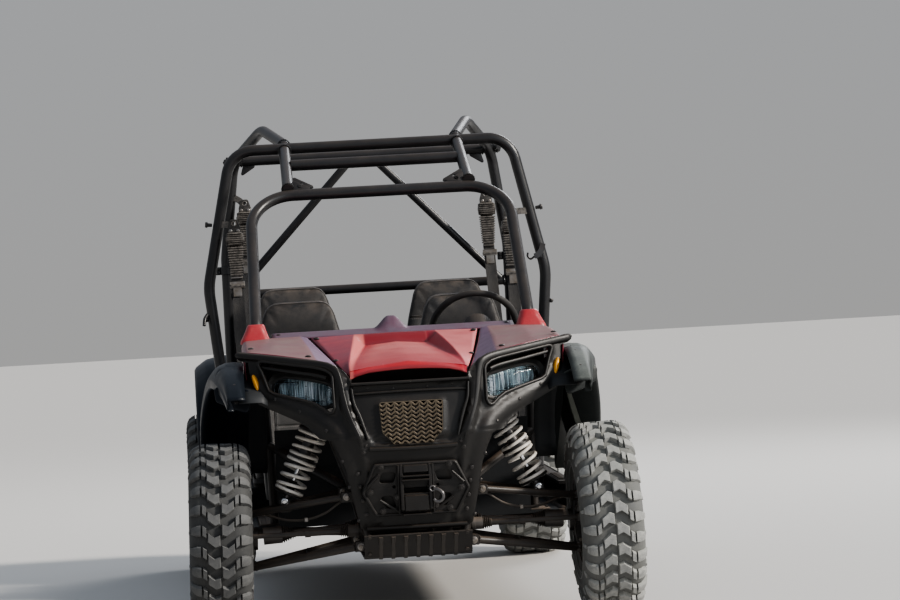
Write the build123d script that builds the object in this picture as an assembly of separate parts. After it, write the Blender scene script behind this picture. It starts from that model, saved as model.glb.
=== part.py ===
"""Four-seat dune buggy of the side-by-side kind: long cage, coil-over suspension, steered front wheels.

Frame: +Z up, ground at z = 0, the front faces -Y, +X is the vehicle's left (driver's) side.
Millimetres. The origin is on the ground, midway between the axles.
"""
from build123d import *
import math
import os

os.makedirs("parts", exist_ok=True)

# ------------------------------------------------------------------ driving dimensions
WHEELBASE = 2728.0
AXLE_F, AXLE_R = -WHEELBASE / 2, WHEELBASE / 2
HALF_WIDTH = 813.0            # over the tyres
TYRE_R = 343.0
BEAD_R = 152.0
TYRE_W_F, TYRE_W_R = 229.0, 279.0
RIM_W_F, RIM_W_R = 178.0, 203.0
CAMBER = 2.0                  # front wheels, bottoms further out
KING_X = 594.0                # vertical steering axis of a front wheel
HUB_Z = 343.0
TUBE_R = 22.2                 # cage tube, 44.5 mm across
RAIL_Z = 305.0                # main frame rails
SKID_Z = 260.0
HOOP_B_Y = 200.0
HOOP_C_Y = 950.0
STEER_HUB = (328.0, -450.0, 1030.0)
STEER_R = 176.0
STEER_TILT = 35.0             # the rim's plane leans back from upright
HINGE = (-1603.0, 897.0)      # hood hinge line, Y and Z
SEAT_X = 325.0
SEAT_W = 450.0

NODES = {}


# ------------------------------------------------------------------ helpers
def rod(p, q, r):
    """Round bar from p to q."""
    p, q = Vector(*p), Vector(*q)
    d = q - p
    return Solid.make_cylinder(r, d.length, Plane(origin=p, z_dir=d))


def pipe(p, q, r_out, r_in):
    return rod(p, q, r_out) - rod(p, q, r_in)


def box(x0, x1, y0, y1, z0, z1):
    return Solid.make_box(x1 - x0, y1 - y0, z1 - z0, Plane(origin=(x0, y0, z0)))


def tube(points, radii, r=TUBE_R):
    """Round tube along straight runs joined by tangent arcs."""
    path = FilletPolyline(*points, radius=radii)
    sec = Plane(origin=path @ 0, z_dir=path % 0) * Circle(r)
    return sweep(sec, path=path)


def mirx(shape):
    return shape.mirror(Plane.YZ)


def both(shapes):
    shapes = shapes if isinstance(shapes, list) else [shapes]
    return shapes + [mirx(s) for s in shapes]


def solids(thing):
    out = []
    for s in (thing if isinstance(thing, (list, tuple, ShapeList)) else [thing]):
        out += list(s.solids())
    return out


def fuse(things):
    s = solids(things)
    if len(s) == 1:
        return s
    r = s[0].fuse(*s[1:])
    return solids(r)


def cut(things, tools):
    tools = solids(tools)
    out = []
    for s in solids(things):
        r = s.cut(*tools)
        out += [q for q in solids(r) if q.volume > 50]
    return out


def poly_yz(points, x0, x1):
    """Outline in the YZ plane, extruded from x0 to x1."""
    w = Wire.make_polygon([(x0, y, z) for y, z in points], close=True)
    return Solid.extrude(Face(w), Vector(x1 - x0, 0, 0))


def poly_xz(points, y0, y1):
    w = Wire.make_polygon([(x, y0, z) for x, z in points], close=True)
    return Solid.extrude(Face(w), Vector(0, y1 - y0, 0))


def poly_xy(points, z0, z1):
    w = Wire.make_polygon([(x, y, z0) for x, y in points], close=True)
    return Solid.extrude(Face(w), Vector(0, 0, z1 - z0))


def sheet(points, shift):
    """A flat panel: polygon of 3-D points, thickened by the shift vector."""
    w = Wire.make_polygon([Vector(*p) for p in points], close=True)
    return Solid.extrude(Face(w), Vector(*shift))


def node(name, things):
    NODES[name] = solids(things)


# ------------------------------------------------------------------ wheels
def ring(profile):
    """Closed (x, r) profile turned about the X axis."""
    w = Wire.make_polygon([(x, 0, r) for x, r in profile], close=True)
    return Solid.revolve(Face(w), 360, Axis.X)


def tyre(w, rim_w):
    h, b, R = w / 2, BEAD_R, TYRE_R
    # column 1: x from the wheel's middle, column 2: radius
    half = [(rim_w / 2, b), (rim_w / 2, b + 17), (h - 3, b + 48), (h, b + 95),
            (h - 5, R - 42), (h - 18, R - 18), (h - 40, R - 4), (h - 62, R)]
    inner = [(rim_w / 2 - 14, b), (rim_w / 2 - 14, b + 22), (h - 20, b + 55), (h - 18, b + 95),
             (h - 24, R - 50), (h - 50, R - 30)]
    prof = half + [(-x, r) for x, r in reversed(half)] + [(-x, r) for x, r in inner] + list(reversed(inner))
    return ring(prof)


def rim(rim_w, dish, hub_in, disc_x):
    """Barrel, lips, spoked disc, hub and brake disc; +x is the outer side."""
    h, b = rim_w / 2, BEAD_R - 0.3
    barrel = ring([(-h - 6, 146), (-h - 6, 165), (-h - 0.4, 165), (-h - 0.4, b), (h + 0.4, b), (h + 0.4, 165),
                   (h + 6, 165), (h + 6, 146), (h - 6, 143.5), (-h + 6, 143.5)])
    face = rod((dish, 0, 0), (dish + 14, 0, 0), 144.5)
    windows = []
    for k in range(5):
        a = math.radians(72 * k + 36)
        pts = []
        for r, da in ((72, -15), (126, -21), (132, 0), (126, 21), (72, 15)):
            t = a + math.radians(da)
            pts.append((dish - 2, r * math.sin(t), r * math.cos(t)))
        w = Wire.make_polygon(pts, close=True)
        windows.append(Solid.extrude(Face(w), Vector(20, 0, 0)))
    face = face.cut(*windows)
    hub = rod((hub_in, 0, 0), (dish + 30, 0, 0), 34)
    flange = rod((disc_x - 3, 0, 0), (disc_x + 5, 0, 0), 104)
    return fuse([barrel] + solids(face) + [hub, flange])


def place_wheel(shapes, x, y, camber):
    """Put a left-side wheel at its hub; a positive camber angle moves its foot outwards."""
    rot = Location((x, y, HUB_Z + LIFT * (1 if camber else 0)), (0, -camber, 0))
    return [s.moved(rot) for s in solids(shapes)]


tyre_f, tyre_r = tyre(TYRE_W_F, RIM_W_F), tyre(TYRE_W_R, RIM_W_R)
rim_f = rim(RIM_W_F, 34, -72, -66)
rim_r = rim(RIM_W_R, 30, -100, -94)

LIFT = 0.0
probe = tyre_f.moved(Location((0, 0, 0), (0, -CAMBER, 0))).bounding_box()
LIFT = -probe.min.Z - HUB_Z                       # a leaning tyre stands a touch higher
WHEEL_X_F = HALF_WIDTH - probe.max.X
WHEEL_X_R = HALF_WIDTH - TYRE_W_R / 2
HUB_ZF = HUB_Z + LIFT

for side, tag in ((1, "left"), (-1, "right")):
    tf = place_wheel(tyre_f, WHEEL_X_F, AXLE_F, CAMBER)
    rf = place_wheel(rim_f, WHEEL_X_F, AXLE_F, CAMBER)
    tr = place_wheel(tyre_r, WHEEL_X_R, AXLE_R, 0)
    rr = place_wheel(rim_r, WHEEL_X_R, AXLE_R, 0)
    if side < 0:
        tf, rf, tr, rr = ([mirx(s) for s in g] for g in (tf, rf, tr, rr))
    node(f"tyre_front_{tag}", tf)
    node(f"rim_front_{tag}", rf)
    node(f"tyre_rear_{tag}", tr)
    node(f"rim_rear_{tag}", rr)

# ------------------------------------------------------------------ steering knuckles
ARM_Y = AXLE_F - 110.0        # tie-rod end, in front of the axle
TIE_Z = 357.0
cam = Location((WHEEL_X_F, AXLE_F, HUB_ZF), (0, -CAMBER, 0))


def knuckle():
    up = box(KING_X - 12, KING_X + 12, AXLE_F - 34, AXLE_F + 34, 262, 412)
    top = rod((KING_X, AXLE_F, 388), (KING_X, AXLE_F, 412), 21)
    low = rod((KING_X, AXLE_F, 256), (KING_X, AXLE_F, 284), 22)
    stud_t = rod((KING_X, AXLE_F, 405), (KING_X, AXLE_F, 444), 7)
    stud_b = rod((KING_X, AXLE_F, 224), (KING_X, AXLE_F, 262), 7)
    inner = rod((-132, 0, 0), (-78, 0, 0), 40).moved(cam)
    arm = box(KING_X - 16, KING_X + 8, ARM_Y - 15, AXLE_F - 20, TIE_Z + 22, TIE_Z + 38)
    # caliper, behind the axle, straddling the disc
    cal = box(-104, -40, 66, 122, -38, 42).moved(cam)
    slot = rod((-78, 0, 0), (-56, 0, 0), 110).moved(cam)
    cal = cut([cal], [slot])
    tab = box(-112, -96, 20, 90, -30, 34).moved(cam)
    return fuse([up, top, low, stud_t, stud_b, inner, arm, tab] + cal)


kn = knuckle()
node("knuckle_left", kn)
node("knuckle_right", [mirx(s) for s in kn])

# ------------------------------------------------------------------ steering
node("tie_rods", fuse([rod((-380, ARM_Y, TIE_Z), (380, ARM_Y, TIE_Z), 11.0)]
                      + both([rod((370, ARM_Y, TIE_Z), (KING_X - 4, ARM_Y, TIE_Z), 9.0),
                              rod((KING_X - 4, ARM_Y, TIE_Z - 13), (KING_X - 4, ARM_Y, TIE_Z + 12), 15.0),
                              rod((372, ARM_Y, TIE_Z), (392, ARM_Y, TIE_Z), 14.0)])))
node("steering_rack", cut(fuse([rod((-235, ARM_Y, TIE_Z), (235, ARM_Y, TIE_Z), 22),
                                box(60, 130, ARM_Y - 28, ARM_Y + 30, TIE_Z - 26, TIE_Z + 48)]),
                          [rod((-400, ARM_Y, TIE_Z), (400, ARM_Y, TIE_Z), 16.5)]))

t = math.radians(STEER_TILT)
COL = Vector(0, -math.cos(t), -math.sin(t))       # from the wheel towards the firewall
UPV = Vector(0, -math.sin(t), math.cos(t))        # up along the rim's plane
HUB = Vector(*STEER_HUB)
wheel_plane = Plane(origin=HUB, x_dir=(1, 0, 0), z_dir=-COL)
grip = Solid.revolve(Face(Wire.make_polygon([(STEER_R - 14 + 14 * math.cos(math.radians(30 * k + 15)), 0, 14 * math.sin(math.radians(30 * k + 15)))
                                             for k in range(12)], close=True)), 360, Axis.Z)
steer = [rod((0, 0, -42), (0, 0, -8), 40)]
for ang in (28, 152, 90):                          # local +y points down the rim
    a = math.radians(ang)
    d = Vector(math.cos(a), math.sin(a), 0)
    steer.append(rod(tuple(Vector(0, 0, -24) + d * 22), tuple(d * (STEER_R - 18)), 11))
steer = fuse(steer + [grip])
node("steering_wheel", [s.moved(wheel_plane.location) for s in steer])
node("steering_column", fuse([rod(tuple(HUB + COL * 50), tuple(HUB + COL * 330), 19),
                              rod(tuple(HUB + COL * 60), tuple(HUB + COL * 190), 34)]))

# ------------------------------------------------------------------ front suspension
UP_IN = (240.0, 482.0)        # X, Z of the upper arm's inner pivot
LOW_IN = (200.0, 305.0)
UP_SPREAD, LOW_SPREAD = 150.0, 170.0
SHOCK_TOP = (325.0, AXLE_F, 737.0)
SHOCK_DIR = Vector(0.436, 0, -0.900)


def a_arm(xin, zin, spread, zring, r, ring_r):
    parts = []
    for s in (-1, 1):
        parts.append(rod((xin, AXLE_F + s * spread, zin), (KING_X - 8, AXLE_F + s * 8, zring), r))
        parts.append(rod((xin, AXLE_F + s * spread - 24, zin), (xin, AXLE_F + s * spread + 24, zin), r + 5))
    parts.append(rod((KING_X, AXLE_F, zring - 10), (KING_X, AXLE_F, zring + 10), ring_r))
    return parts


upper = a_arm(*UP_IN, UP_SPREAD, 428, 12, 21)
k = (463 - UP_IN[0]) / (KING_X - UP_IN[0])
zc = UP_IN[1] + (428 - UP_IN[1]) * k
yc = UP_SPREAD * (1 - k)
upper.append(rod((463, AXLE_F - yc, zc), (463, AXLE_F + yc, zc), 10))
lower = a_arm(*LOW_IN, LOW_SPREAD, 240, 14, 23)
k2 = 0.45
lower.append(rod((LOW_IN[0] + (KING_X - LOW_IN[0]) * k2, AXLE_F - LOW_SPREAD * (1 - k2), LOW_IN[1] - 65 * k2),
                 (LOW_IN[0] + (KING_X - LOW_IN[0]) * k2, AXLE_F + LOW_SPREAD * (1 - k2), LOW_IN[1] - 65 * k2), 11))
stud_hole = rod((KING_X, AXLE_F, 200), (KING_X, AXLE_F, 470), 7.5)
upper = cut(fuse(upper), [stud_hole])
lower = cut(fuse(lower), [stud_hole])
node("front_arms", upper + lower + [mirx(s) for s in upper + lower])


def coil_over(top, bottom, r_body, r_spring, s0, s1, eye_w):
    """Shock with its two eyes and spring seats, and the spring as a plain sleeve. s0, s1: span of the spring."""
    T, B = Vector(*top), Vector(*bottom)
    d = (B - T).normalized()
    L = (B - T).length
    at = lambda s: tuple(T + d * s)
    parts = [rod(at(0), at(s0 + 0.62 * (s1 - s0)), r_body), rod(at(0), at(L), r_body * 0.42),
             rod(at(s0 - 8), at(s0), r_spring + 1), rod(at(s1), at(s1 + 8), r_spring + 1)]
    for s in (0, L):
        c = T + d * s
        parts.append(rod((c.X, c.Y - eye_w / 2, c.Z), (c.X, c.Y + eye_w / 2, c.Z), 15))
    spring = pipe(at(s0), at(s1), r_spring, r_spring - 13)
    return fuse(parts), [spring]


SB = (SHOCK_TOP[0] + SHOCK_DIR.X * 300, AXLE_F, SHOCK_TOP[2] + SHOCK_DIR.Z * 300)
shock_f, spring_f = coil_over(SHOCK_TOP, SB, 22, 55, 34, 262, 30)
shock_f = cut(shock_f, upper)
RS_TOP, RS_BOT = (355.0, 1042.0, 752.0), (468.0, 1218.0, 402.0)
shock_r, spring_r = coil_over(RS_TOP, RS_BOT, 24, 56, 40, 330, 30)

# ------------------------------------------------------------------ rear suspension
trail = [poly_yz([(560, 290), (560, 350), (700, 372), (1300, 384), (1450, 372), (1450, 318), (1300, 304), (760, 292)], 446, 500),
         rod((430, 575, 320), (516, 575, 320), 34),
         rod((478, AXLE_R, HUB_Z), (556, AXLE_R, HUB_Z), 46),
         box(540, 556, AXLE_R - 20, AXLE_R + 92, HUB_Z - 30, HUB_Z + 34)]
cal_r = cut([box(544, 606, AXLE_R + 66, AXLE_R + 122, HUB_Z - 38, HUB_Z + 42)],
            [rod((568, AXLE_R, HUB_Z), (592, AXLE_R, HUB_Z), 112)])
trail = fuse(trail + cal_r)
rods_r = []
for z0, z1 in ((425, 356), (306, 328)):
    rods_r.append(fuse([rod((206, 1470, z0), (446, 1425, z1), 12),
                        rod((206, 1456, z0), (206, 1484, z0), 17)]))
rods_r = solids([s for g in rods_r for s in g])
rods_r = cut(rods_r, trail)
shock_r = cut(shock_r, trail)
node("rear_arms", trail + rods_r + [mirx(s) for s in trail + rods_r])
node("shock_absorbers", both(shock_f) + both(shock_r))
node("coil_springs", both(spring_f) + both(spring_r))

# ------------------------------------------------------------------ driveline
front_case = fuse([box(-92, 92, AXLE_F - 62, AXLE_F + 76, 330, 420), rod((-118, AXLE_F, 368), (118, AXLE_F, 368), 42)])
rear_case = fuse([box(-105, 105, AXLE_R - 50, AXLE_R + 84, 330, 450), rod((-122, AXLE_R, 366), (122, AXLE_R, 366), 44)])
shafts = []
for x0, x1, y, z0, z1 in ((122, 538, AXLE_F, 368, 348), (126, 441, AXLE_R, 366, 346)):
    L = lambda t: (x0 + (x1 - x0) * t, y, z0 + (z1 - z0) * t)
    shafts.append(fuse([rod(L(0), L(1), 13), rod(L(0), L(0.16), 33), rod(L(0.84), L(1), 31)]))
shafts = [s for g in shafts for s in g]
node("driveline", front_case + rear_case + cut(shafts, front_case + rear_case) + cut([mirx(s) for s in shafts], front_case + rear_case))

engine = fuse([box(-175, 175, 1022, 1290, 345, 690), box(-120, 120, 1060, 1240, 690, 745)])
exhaust = fuse([rod((-215, 1560, 640), (215, 1560, 640), 70), rod((150, 1560, 640), (150, 1690, 640), 26),
                rod((-120, 1292, 620), (-120, 1500, 640), 21)])

# ------------------------------------------------------------------ chassis frame
R1, R2 = 19.0, 16.0
# columns: part (m main, f front, r rear), start X, Y, Z, end X, Y, Z, radius (all mirrored)
FRAME = [
    ("m", 165, -1560, RAIL_Z, 165, 1530, RAIL_Z, R1),
    ("f", 204, -1545, 480, 204, -1170, 480, R2),
    ("f", 165, -1545, RAIL_Z, 204, -1545, 480, R2),
    ("f", 165, -1180, RAIL_Z, 204, -1180, 480, R2),
    ("f", 204, AXLE_F - 120, 480, 292, AXLE_F - 34, 742, R2),
    ("f", 204, AXLE_F + 120, 480, 292, AXLE_F + 34, 742, R2),
    ("f", 292, AXLE_F - 34, 742, 292, AXLE_F + 34, 742, R2),
    ("f", 204, -1180, 480, 488, -840, 640, R2),
    ("m", 488, -840, 640, 486, -840, RAIL_Z + 25, R2),
    ("f", 292, AXLE_F + 34, 742, 500, -805, 832, R2),
    ("m", 165, -840, RAIL_Z, 600, -840, RAIL_Z + 25, R2),
    ("m", 600, -840, RAIL_Z + 25, 600, 540, RAIL_Z + 25, R1),
    ("m", 600, 540, RAIL_Z + 25, 600, 900, 400, R2),
    ("m", 600, 900, 400, 600, 988, 812, R2),
    ("m", 165, 530, RAIL_Z, 600, 530, RAIL_Z + 25, R2),
    ("m", 165, 200, RAIL_Z, 600, 200, RAIL_Z + 25, R2),
    ("r", 165, 1000, RAIL_Z, 330, 1000, 770, R2),
    ("r", 165, 1522, RAIL_Z, 300, 1580, 770, R2),
    ("r", 330, 1000, 770, 330, 1640, 770, R2),
    ("r", 560, 1000, 770, 330, 1000, 770, R2),
]
parts_of = {"m": [], "f": [], "r": []}
for g, x0, y0, z0, x1, y1, z1, r in FRAME:
    parts_of[g] += both(rod((x0, y0, z0), (x1, y1, z1), r))
# columns: part, Y, Z, half width, radius: tubes straight across
CROSS = [("m", -1555, RAIL_Z, 165, R2), ("f", -1545, 480, 204, R2), ("m", -1180, RAIL_Z, 165, R2), ("f", AXLE_F - 34, 742, 292, R2),
         ("f", AXLE_F + 34, 742, 292, R2), ("m", -840, RAIL_Z, 165, R2), ("m", 200, RAIL_Z, 165, R2), ("m", 960, RAIL_Z, 165, R2),
         ("m", 1522, RAIL_Z, 165, R2), ("r", 1000, 770, 330, R2), ("r", 1640, 770, 330, R2), ("f", -805, 832, 500, R2)]
for g, y, z, h, r in CROSS:
    parts_of[g].append(rod((-h, y, z), (h, y, z), r))
# pivot brackets: columns part, X of the tube, Z, X of the pivot, Y of the pivot
for g, xt, z, xp, y in [("f", 204, 480, UP_IN[0], AXLE_F - UP_SPREAD), ("f", 204, 480, UP_IN[0], AXLE_F + UP_SPREAD),
                        ("m", 165, 305, LOW_IN[0], AXLE_F - LOW_SPREAD), ("m", 165, 305, LOW_IN[0], AXLE_F + LOW_SPREAD)]:
    for s in (-1, 1):
        parts_of[g] += both(box(xt - 4, xp + 18, y + s * 28 - 3, y + s * 28 + 3, z - 17, z + 17))
for s in (-1, 1):
    parts_of["m"] += both(box(158, 224, 1470 + s * 18 - 3, 1470 + s * 18 + 3, 288, 445))
for xa, xb in ((424, 430), (516, 522)):
    parts_of["m"] += both(box(xa, xb, 528, 596, 302, 342))
shocks = both(shock_f) + both(shock_r)
main_frame = cut(fuse(parts_of["m"]), shocks)
front_frame = cut(fuse(parts_of["f"]), shocks + main_frame)
rear_frame = cut(fuse(parts_of["r"]), shocks + main_frame)
node("chassis_frame", [s for s in main_frame if s.volume > 20000])
node("front_frame", [s for s in front_frame if s.volume > 20000])
node("rear_frame", [s for s in rear_frame if s.volume > 20000])
frame = NODES["chassis_frame"] + NODES["front_frame"] + NODES["rear_frame"]

node("engine", cut(engine, frame))
node("exhaust", [max(cut(exhaust, frame), key=lambda s: s.volume)])
NODES["front_arms"] = [s for s in cut(NODES["front_arms"], frame) if s.volume > 20000]
NODES["rear_arms"] = [s for s in cut(NODES["rear_arms"], frame) if s.volume > 20000]

# skid plate, turned up at its nose and cut narrow there
skid = poly_yz([(-1652, 345), (-1592, 268), (-1566, SKID_Z), (1490, SKID_Z), (1570, 284), (1567, 291), (1488, SKID_Z + 7),
                (-1563, SKID_Z + 7), (-1588, 274), (-1647, 350)], -190, 190)
node("skid_plate", skid)

# floor pan with the risers under the seats; hollow below
FLOOR_Z = 336.0
floor = [box(-575, 575, -880, 380, FLOOR_Z, FLOOR_Z + 10),
         poly_yz([(-880, FLOOR_Z + 10), (-880, 560), (-905, 700), (-895, 700), (-868, 562), (-868, FLOOR_Z + 10)], -470, 470),
         box(-575, 575, 370, 382, FLOOR_Z + 10, 420), box(-575, 575, 370, 985, 410, 422),
         box(-575, 575, 975, 987, 422, 700)]
for x0, x1 in ((-560, -90), (90, 560)):
    floor.append(box(x0, x1, -270, 150, FLOOR_Z + 10, 452) - box(x0 + 10, x1 - 10, -260, 160, FLOOR_Z + 5, 442))
    floor.append(box(x0, x1, 440, 870, 422, 505) - box(x0 + 10, x1 - 10, 450, 880, 415, 495))
node("floor_pan", cut(fuse(floor), frame))

sill = [box(624, 640, -760, 965, 300, 440), box(590, 640, -760, 965, 430, 442)]
sill = fuse(sill)
sill_pair = both(sill)

# front brake hoses, clipped to the frame at one end and to the upper arm at the other
HOSE = [(216, -1496, 486), (262, -1492, 462), (318, -1474, 424), (384, -1450, 404), (450, -1426, 404), (508, -1402, 420), (546, -1388, 431)]
HOSE_RADII = [60, 120, 160, 160, 120]
hose = solids(tube(HOSE, HOSE_RADII, 5))
hose = cut(hose, frame + NODES["front_arms"])
node("brake_hoses", both([max(hose, key=lambda s: s.volume)]))

# ------------------------------------------------------------------ roll cage
front_hoop = solids(tube([(-490, -800, 440), (-513, -745, 1075), (-500, -262, 1579), (500, -262, 1579), (513, -745, 1075),
                          (490, -800, 440)], [150, 170, 170, 150]))
main_hoop = solids(tube([(-596, HOOP_B_Y, 345), (-680, HOOP_B_Y, 1235), (-562, HOOP_B_Y, 1776), (562, HOOP_B_Y, 1776),
                         (680, HOOP_B_Y, 1235), (596, HOOP_B_Y, 345)], [260, 110, 110, 260]))
roof = []
for s in (-1, 1):
    roof += solids(tube([(s * 352, -262, 1600), (s * 346, 250, 1796), (s * 424, 640, 1874), (s * 545, 945, 1755),
                         (s * 598, 965, 1350), (s * 600, 990, 820)], [260, 200, 110, 300]))
roof.append(rod((-330, 0, 1702), (330, 0, 1702), TUBE_R))
roof = fuse(roof)
roof = cut(roof, front_hoop + main_hoop)
roof = [s for s in roof if s.volume > 20000]
rear = [rod((-535, HOOP_C_Y, 1757), (535, HOOP_C_Y, 1757), TUBE_R - 1.5), rod((-600, 975, 1195), (600, 975, 1195), 19)]
for s in (-1, 1):
    rear.append(rod((s * 45, HOOP_C_Y + 4, 1745), (s * 560, 973, 1205), 17))
rear = cut(fuse(rear), roof)
rear = [s for s in rear if s.volume > 20000]
front_hoop = cut(front_hoop, frame)
front_hoop = [s for s in front_hoop if s.volume > 20000]
main_hoop = cut(main_hoop, frame)
main_hoop = [s for s in main_hoop if s.volume > 20000]
node("side_sills", [s for s in cut(sill_pair, frame + main_hoop) if s.volume > 20000])
roof = cut(roof, frame)
roof = [s for s in roof if s.volume > 20000]
node("front_hoop", front_hoop)
node("main_hoop", main_hoop)
node("roof_rails", roof)
node("rear_brace", rear)
side = []
for s in (-1, 1):
    side += solids(tube([(s * 503, -770, 700), (s * 640, -500, 560), (s * 655, -60, 560), (s * 640, 215, 720)], [120, 160], 16))
    side += solids(tube([(s * 645, 215, 760), (s * 655, 480, 600), (s * 640, 760, 600), (s * 604, 978, 880)], [120, 120], 16))
side = cut(side, front_hoop + main_hoop + roof + frame)
side = [s for s in side if s.volume > 20000]
node("side_bars", side)

# ------------------------------------------------------------------ body panels, front
# outline points of the hood and the quarter panels, right half: X, Y, Z
RIDGE_R = (150, -800, 1036)
RIDGE_F = (208, -1545, 930)
WALL_R = (118, -884, 994)
WALL_C = (0, -884, 1003)
FLOOR_C = (0, -1580, 943)
FOOT_F = (198, -1576, 924)
FRONT_C = (0, -1600, 925)
FRONT_E = (140, -1600, 918)
CORNER = (203, -1590, 905)
LINE_R = (312, -790, 1034)
LINE_M = (245, -1350, 951)
T_H = (0, 0, -11)
hood = []
for s in (-1, 1):
    m = lambda p: (p[0] * s, p[1], p[2])
    faces = [(RIDGE_R, LINE_R, LINE_M), (RIDGE_R, LINE_M, RIDGE_F), (RIDGE_F, LINE_M, CORNER),
             (RIDGE_R, RIDGE_F, WALL_R), (WALL_R, RIDGE_F, FOOT_F), (RIDGE_F, CORNER, FOOT_F),
             (WALL_R, FOOT_F, FLOOR_C), (WALL_R, FLOOR_C, WALL_C),
             (FLOOR_C, FOOT_F, FRONT_E), (FLOOR_C, FRONT_E, FRONT_C), (FOOT_F, CORNER, FRONT_E),
             (RIDGE_R, WALL_R, WALL_C), (RIDGE_R, WALL_C, (0, -800, 1040)),
             (RIDGE_R, (0, -800, 1040), (0, -790, 1040)), (RIDGE_R, (0, -790, 1040), LINE_R)]
    for f in faces:
        hood.append(sheet([m(p) for p in f], T_H))
hood = fuse(hood)
node("hood", hood)

GAP = 7.0
q = []
QA, QB = (LINE_R[0] + GAP + 1, -780, 1035), (573, -762, 1034)
QC, QD = (572, -1395, 1006), (318, -1545, 966)
QE, QF = (LINE_M[0] + GAP + 1, -1350, 951), (214, -1548, 908)
for s in (-1, 1):
    m = lambda p: (p[0] * s, p[1], p[2])
    g = [sheet([m(p) for p in f], (0, 0, -12)) for f in ((QA, QB, QC), (QA, QC, QD), (QA, QD, QE), (QE, QD, QF))]
    # outer skirt, below the panel's outer edge
    g.append(poly_yz([(-762, 1026), (-1395, 998), (-1415, 940), (-1380, 872), (-1000, 850), (-800, 800), (-762, 812)],
                     s * 561, s * 573))
    # boot round the foot of the cage
    lo = [(s * 462, -800), (s * 573, -800), (s * 573, -690), (s * 462, -690)]
    hi = [(s * 482, -770), (s * 546, -770), (s * 546, -690), (s * 482, -690)]
    w0 = Wire.make_polygon([(x, y, 1024) for x, y in lo], close=True)
    w1 = Wire.make_polygon([(x, y, 1094) for x, y in hi], close=True)
    g.append(Solid.make_loft([w0, w1], True))
    q += g
q = fuse(q)
q = cut(q, front_hoop)
q = [s for s in q if s.volume > 20000]
node("quarter_panels", q)

cowl = fuse([poly_yz([(-776, 1036), (-690, 1056), (-640, 1050), (-600, 985), (-612, 980), (-648, 1038), (-690, 1044), (-776, 1024)],
                     -455, 455)]
            + [Solid.make_loft([Wire.make_polygon([(-92, -740, 1040), (92, -740, 1040), (92, -610, 1012), (-92, -610, 1012)], close=True),
                                Wire.make_polygon([(-24, -690, 1116), (24, -690, 1116), (30, -630, 1104), (-30, -630, 1104)], close=True)], True)])
node("cowl_panel", cut(cowl, q))
dash = poly_yz([(-770, 1022), (-700, 1040), (-655, 1032), (-615, 968), (-640, 840), (-700, 780), (-712, 788), (-654, 848),
                (-628, 966), (-663, 1020), (-702, 1027), (-770, 1010)], -455, 455)
dash = fuse([dash, box(-560, -462, -762, -640, 800, 1000), box(462, 560, -762, -640, 800, 1000), box(-470, 470, -762, -750, 790, 1000)])
dash = cut(dash, cowl + q + front_hoop + frame + NODES["steering_column"])
dash = cut(dash, [rod(tuple(HUB + COL * 50), tuple(HUB + COL * 420), 40)])
node("dashboard", [s for s in dash if s.volume > 20000])
node("grab_bar", solids(tube([(-480, -640, 900), (-480, -560, 960), (-180, -560, 960), (-180, -640, 900)], [35, 35], 13)))
node("grab_bar", cut(NODES["grab_bar"], NODES["dashboard"] + NODES["cowl_panel"]))
node("grab_bar", [max(NODES["grab_bar"], key=lambda s: s.volume)])

# front fascia: front-view outline, right half, X and Z
OUT = [(0, 884), (205, 884), (214, 902), (252, 946), (320, 970), (572, 1008), (596, 1004), (592, 972), (560, 970),
       (548, 850), (532, 822), (415, 766), (365, 735), (328, 695), (283, 690)]
LOWER = [(283, 690), (241, 586), (221, 485), (197, 373), (150, 356), (0, 356)]
up_out = OUT + [(-x, z) for x, z in reversed(OUT[1:])]
low_out = LOWER + [(-x, z) for x, z in reversed(LOWER[:-1])]
# plan of the shell: X, Y of its front; depth behind it
PLAN = [(0, -1662), (205, -1655), (300, -1616), (620, -1440)]
DEPTH = 62.0
full_band = [(-x, y) for x, y in reversed(PLAN[1:])] + PLAN + [(x, y + DEPTH) for x, y in reversed(PLAN)] + \
            [(-x, y + DEPTH) for x, y in PLAN[1:]]
shell = poly_xy(full_band, -500, 500)
PIVOT = (0, -1662, 690)
shell_up = shell.moved(Location((0, 0, 690))).rotate(Axis(PIVOT, (1, 0, 0)), -11)
shell_low = shell.moved(Location((0, 0, 690))).rotate(Axis(PIVOT, (1, 0, 0)), 10)
fascia = solids(shell_up.intersect(poly_xz(up_out, -1800, -1200))) + solids(shell_low.intersect(poly_xz(low_out, -1800, -1200)))
fascia = fuse(fascia)
LAMP_HOLE = [(268, 916), (292, 933), (325, 943), (522, 974), (508, 928), (486, 866), (335, 818), (284, 780), (264, 800)]
GRILLE = [(-112, 806), (112, 806), (105, 700), (66, 664), (-66, 664), (-105, 700)]
holes = [poly_xz(LAMP_HOLE, -1800, -1300), poly_xz([(-x, z) for x, z in LAMP_HOLE], -1800, -1300), poly_xz(GRILLE, -1800, -1300)]
fascia = cut(fascia, holes + q + frame)
fascia = [s for s in fascia if s.volume > 20000]
node("front_fascia", fascia)
# grille: a thin plate set back in its opening
gr = poly_xz([(x * 0.985, 735 + (z - 735) * 0.985) for x, z in GRILLE], -1800, -1300)
gplate = solids(gr.intersect(poly_xy([(-200, -1640), (200, -1640), (200, -1632), (-200, -1632)], -500, 500)
                             .moved(Location((0, 0, 690))).rotate(Axis((0, -1640, 690), (1, 0, 0)), -11)))
node("front_grille", cut(gplate, fascia))
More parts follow.
